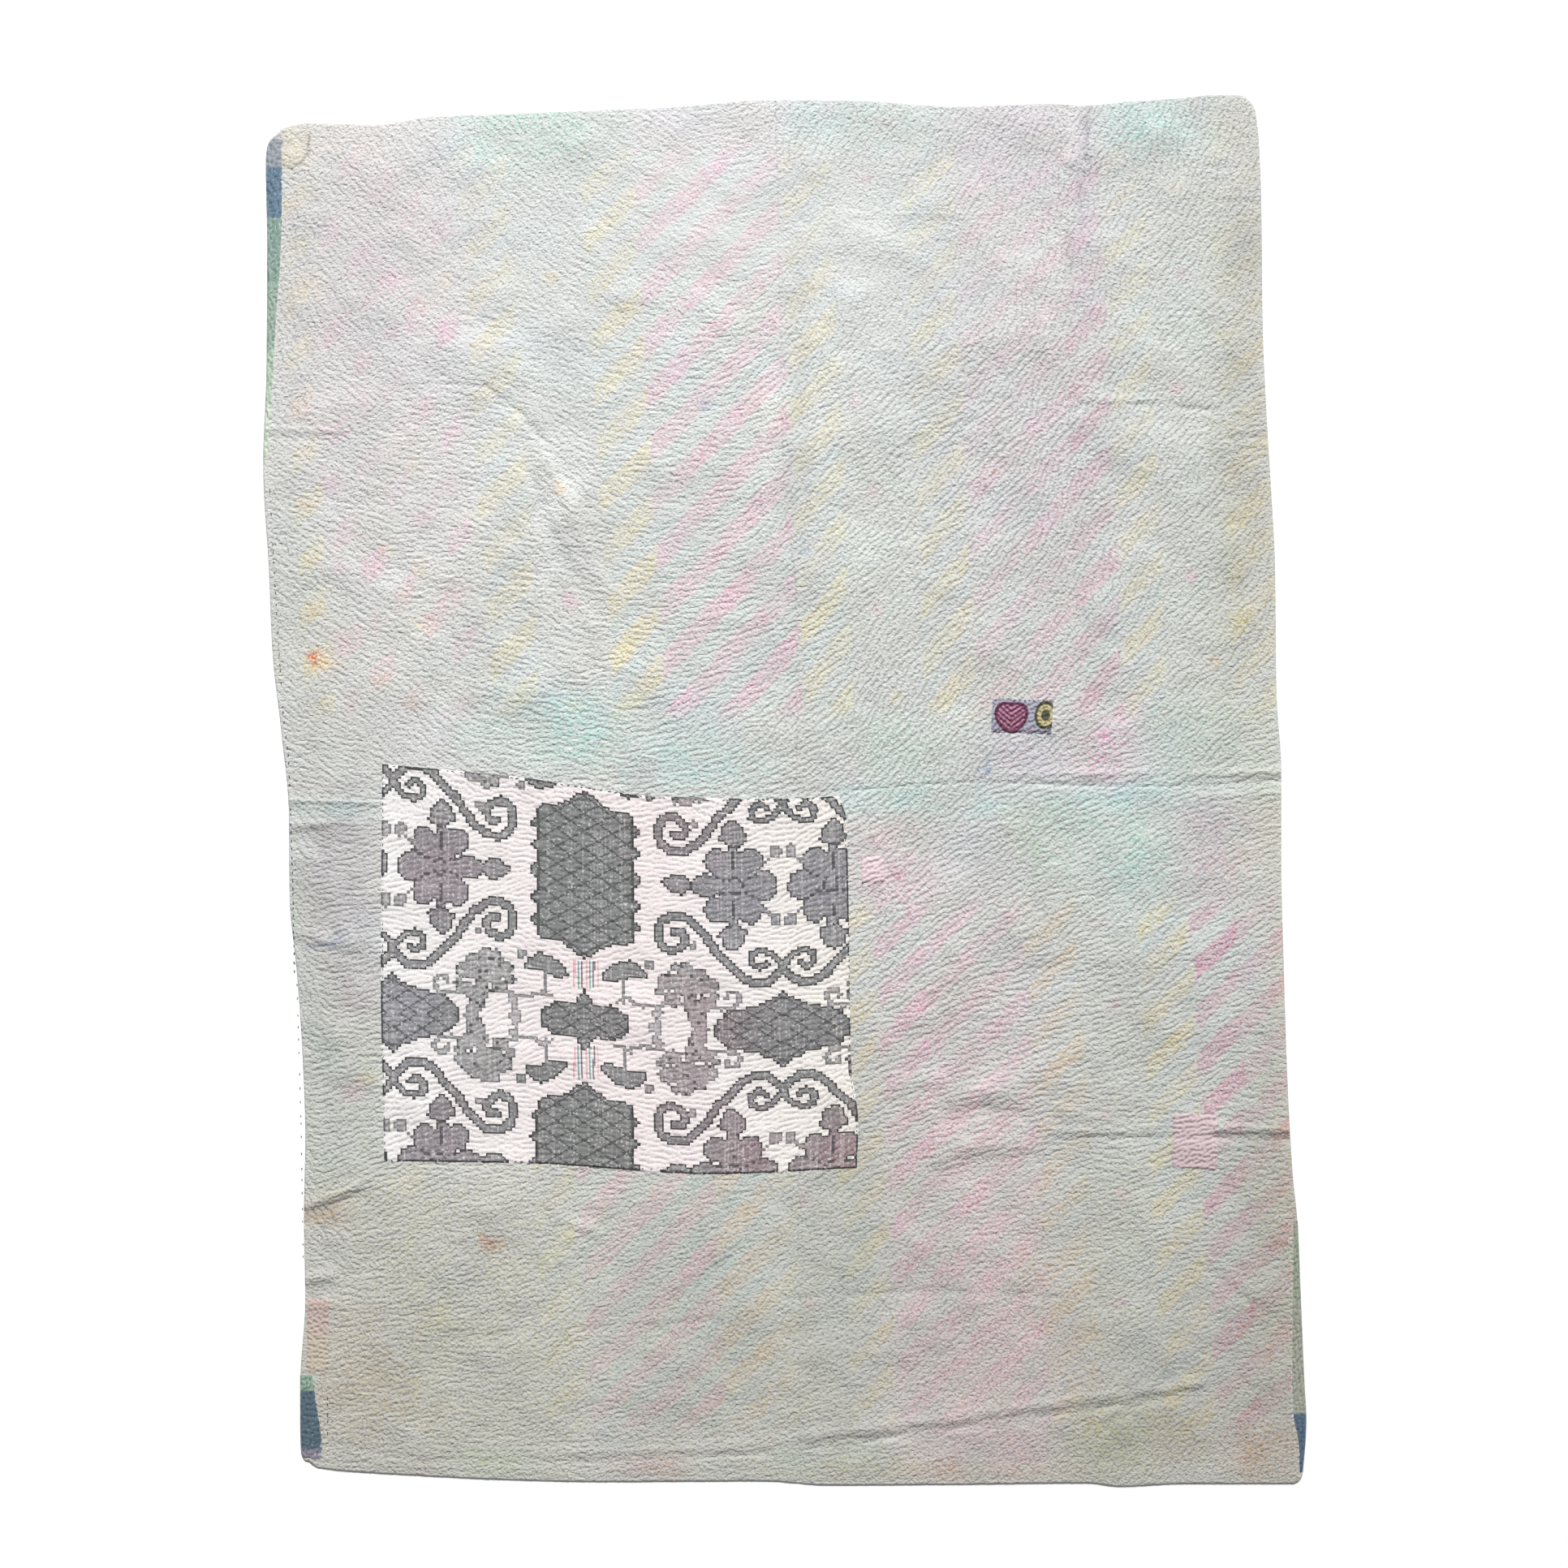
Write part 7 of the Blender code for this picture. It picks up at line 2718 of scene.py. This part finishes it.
@dataclass
class Studio:
    """The floor, the lights and the camera.

    Attributes:
        view_width: The width of what the camera sees on the floor.
        camera_height: How high the camera is.
        middle: The place under the camera.
    """

    view_width: float = 2.280
    camera_height: float = 7.0
    middle: tuple[float, float] = (-0.001, 0.009)

    def build(self) -> None:
        """Makes them."""
        self.floor()
        self.window("window", (-0.5, 3.4, 2.7), (0.0, 0.1, 0.0), 2.4, 62.0)
        self.daylight((4.0, -48.0, -6.0), 12.0, 3.6)
        self.surround()
        self.camera()

    def floor(self) -> None:
        """Makes the plain pale floor."""
        MeshMaker.deselect()
        bpy.ops.mesh.primitive_grid_add(x_subdivisions=8, y_subdivisions=8, size=12.0)
        item = bpy.context.active_object
        item.name = "floor"
        item.data.materials.append(PaleFloor().material())

    @staticmethod
    def daylight(turn: tuple[float, float, float], softness: float, strength: float) -> None:
        """Makes the even daylight that rakes over the puckers from the top of the quilt.

        Args:
            turn: How far it is turned about Y, about X and about Z from straight down, in
                degrees.
            softness: How wide the sky that it comes from looks, in degrees.
            strength: Its strength.
        """
        MeshMaker.deselect()
        bpy.ops.object.light_add(type="SUN", location=(0.0, 3.0, 3.0))
        item = bpy.context.active_object
        item.name = "daylight"
        item.data.angle = math.radians(softness)
        item.data.energy = strength
        item.data.color = (1.0, 0.997, 0.99)
        item.rotation_euler = [math.radians(turn[axis]) for axis in (1, 0, 2)]

    @staticmethod
    def window(name: str, place: Colour, aim: Colour, size: float, power: float) -> None:
        """Makes a soft square light that points at a place.

        Args:
            name: Its name.
            place: Where it is.
            aim: Where it points.
            size: Its side.
            power: Its power in watts.
        """
        MeshMaker.deselect()
        bpy.ops.object.light_add(type="AREA", location=place)
        item = bpy.context.active_object
        item.name = name
        item.data.shape = "SQUARE"
        item.data.size = size
        item.data.energy = power
        away = np.array(place) - np.array(aim)
        level = math.hypot(away[0], away[1])
        item.rotation_euler = (math.atan2(level, away[2]), 0.0, math.atan2(away[0], -away[1]))

    @staticmethod
    def surround() -> None:
        """Makes the pale surround that fills the shadows."""
        world = bpy.data.worlds.new("surround")
        world.use_nodes = True
        shade = world.node_tree.nodes["Background"]
        shade.inputs["Color"].default_value = (0.97, 0.985, 1.0, 1.0)
        shade.inputs["Strength"].default_value = 0.22
        bpy.context.scene.world = world

    def camera(self) -> None:
        """Makes the camera straight above the quilt."""
        bpy.ops.object.camera_add(location=(*self.middle, self.camera_height))
        item = bpy.context.active_object
        item.name = "camera"
        item.data.sensor_width = 36.0
        item.data.lens = 36.0 * self.camera_height / self.view_width
        item.data.clip_end = 60.0
        bpy.context.scene.camera = item
        bpy.context.scene.view_settings.view_transform = "Standard"


class Quilt:
    """The whole quilt, built piece by piece."""

    def __init__(self) -> None:
        """Works out how the quilt lies and how it is dyed."""
        self.shape = QuiltShape(Puckers())
        self.dye = FrontColours()

    def build(self) -> None:
        fronts = FrontCloths(self.shape, self.dye).build()
        back = BackCloth(self.shape).build()
        print_patch = LargePatch(self.shape).build()
        patches = SmallPatches(self.shape).build()
        strips = EdgeStrips(self.shape).build()
        HandStitches(self.shape).build()
        self.declare(fronts, back, print_patch, patches, strips)

    @staticmethod
    def declare(fronts: list[bpy.types.Object], back: bpy.types.Object,
                print_patch: bpy.types.Object, patches: list[bpy.types.Object],
                strips: list[bpy.types.Object]) -> None:
        """Takes the sheets of cloth and does nothing with them.

        Args:
            fronts: The four front cloths. Not used.
            back: The back cloth. Not used.
            print_patch: The large patch. Not used.
            patches: The small patches. Not used.
            strips: The turned stretches of the back cloth. Not used.
        """


def main() -> None:
    """Builds the quilt and the studio in order."""
    logging.basicConfig(level=logging.INFO, format="%(message)s")
    Quilt().build()
    Studio().build()


if __name__ == "__main__":
    main()
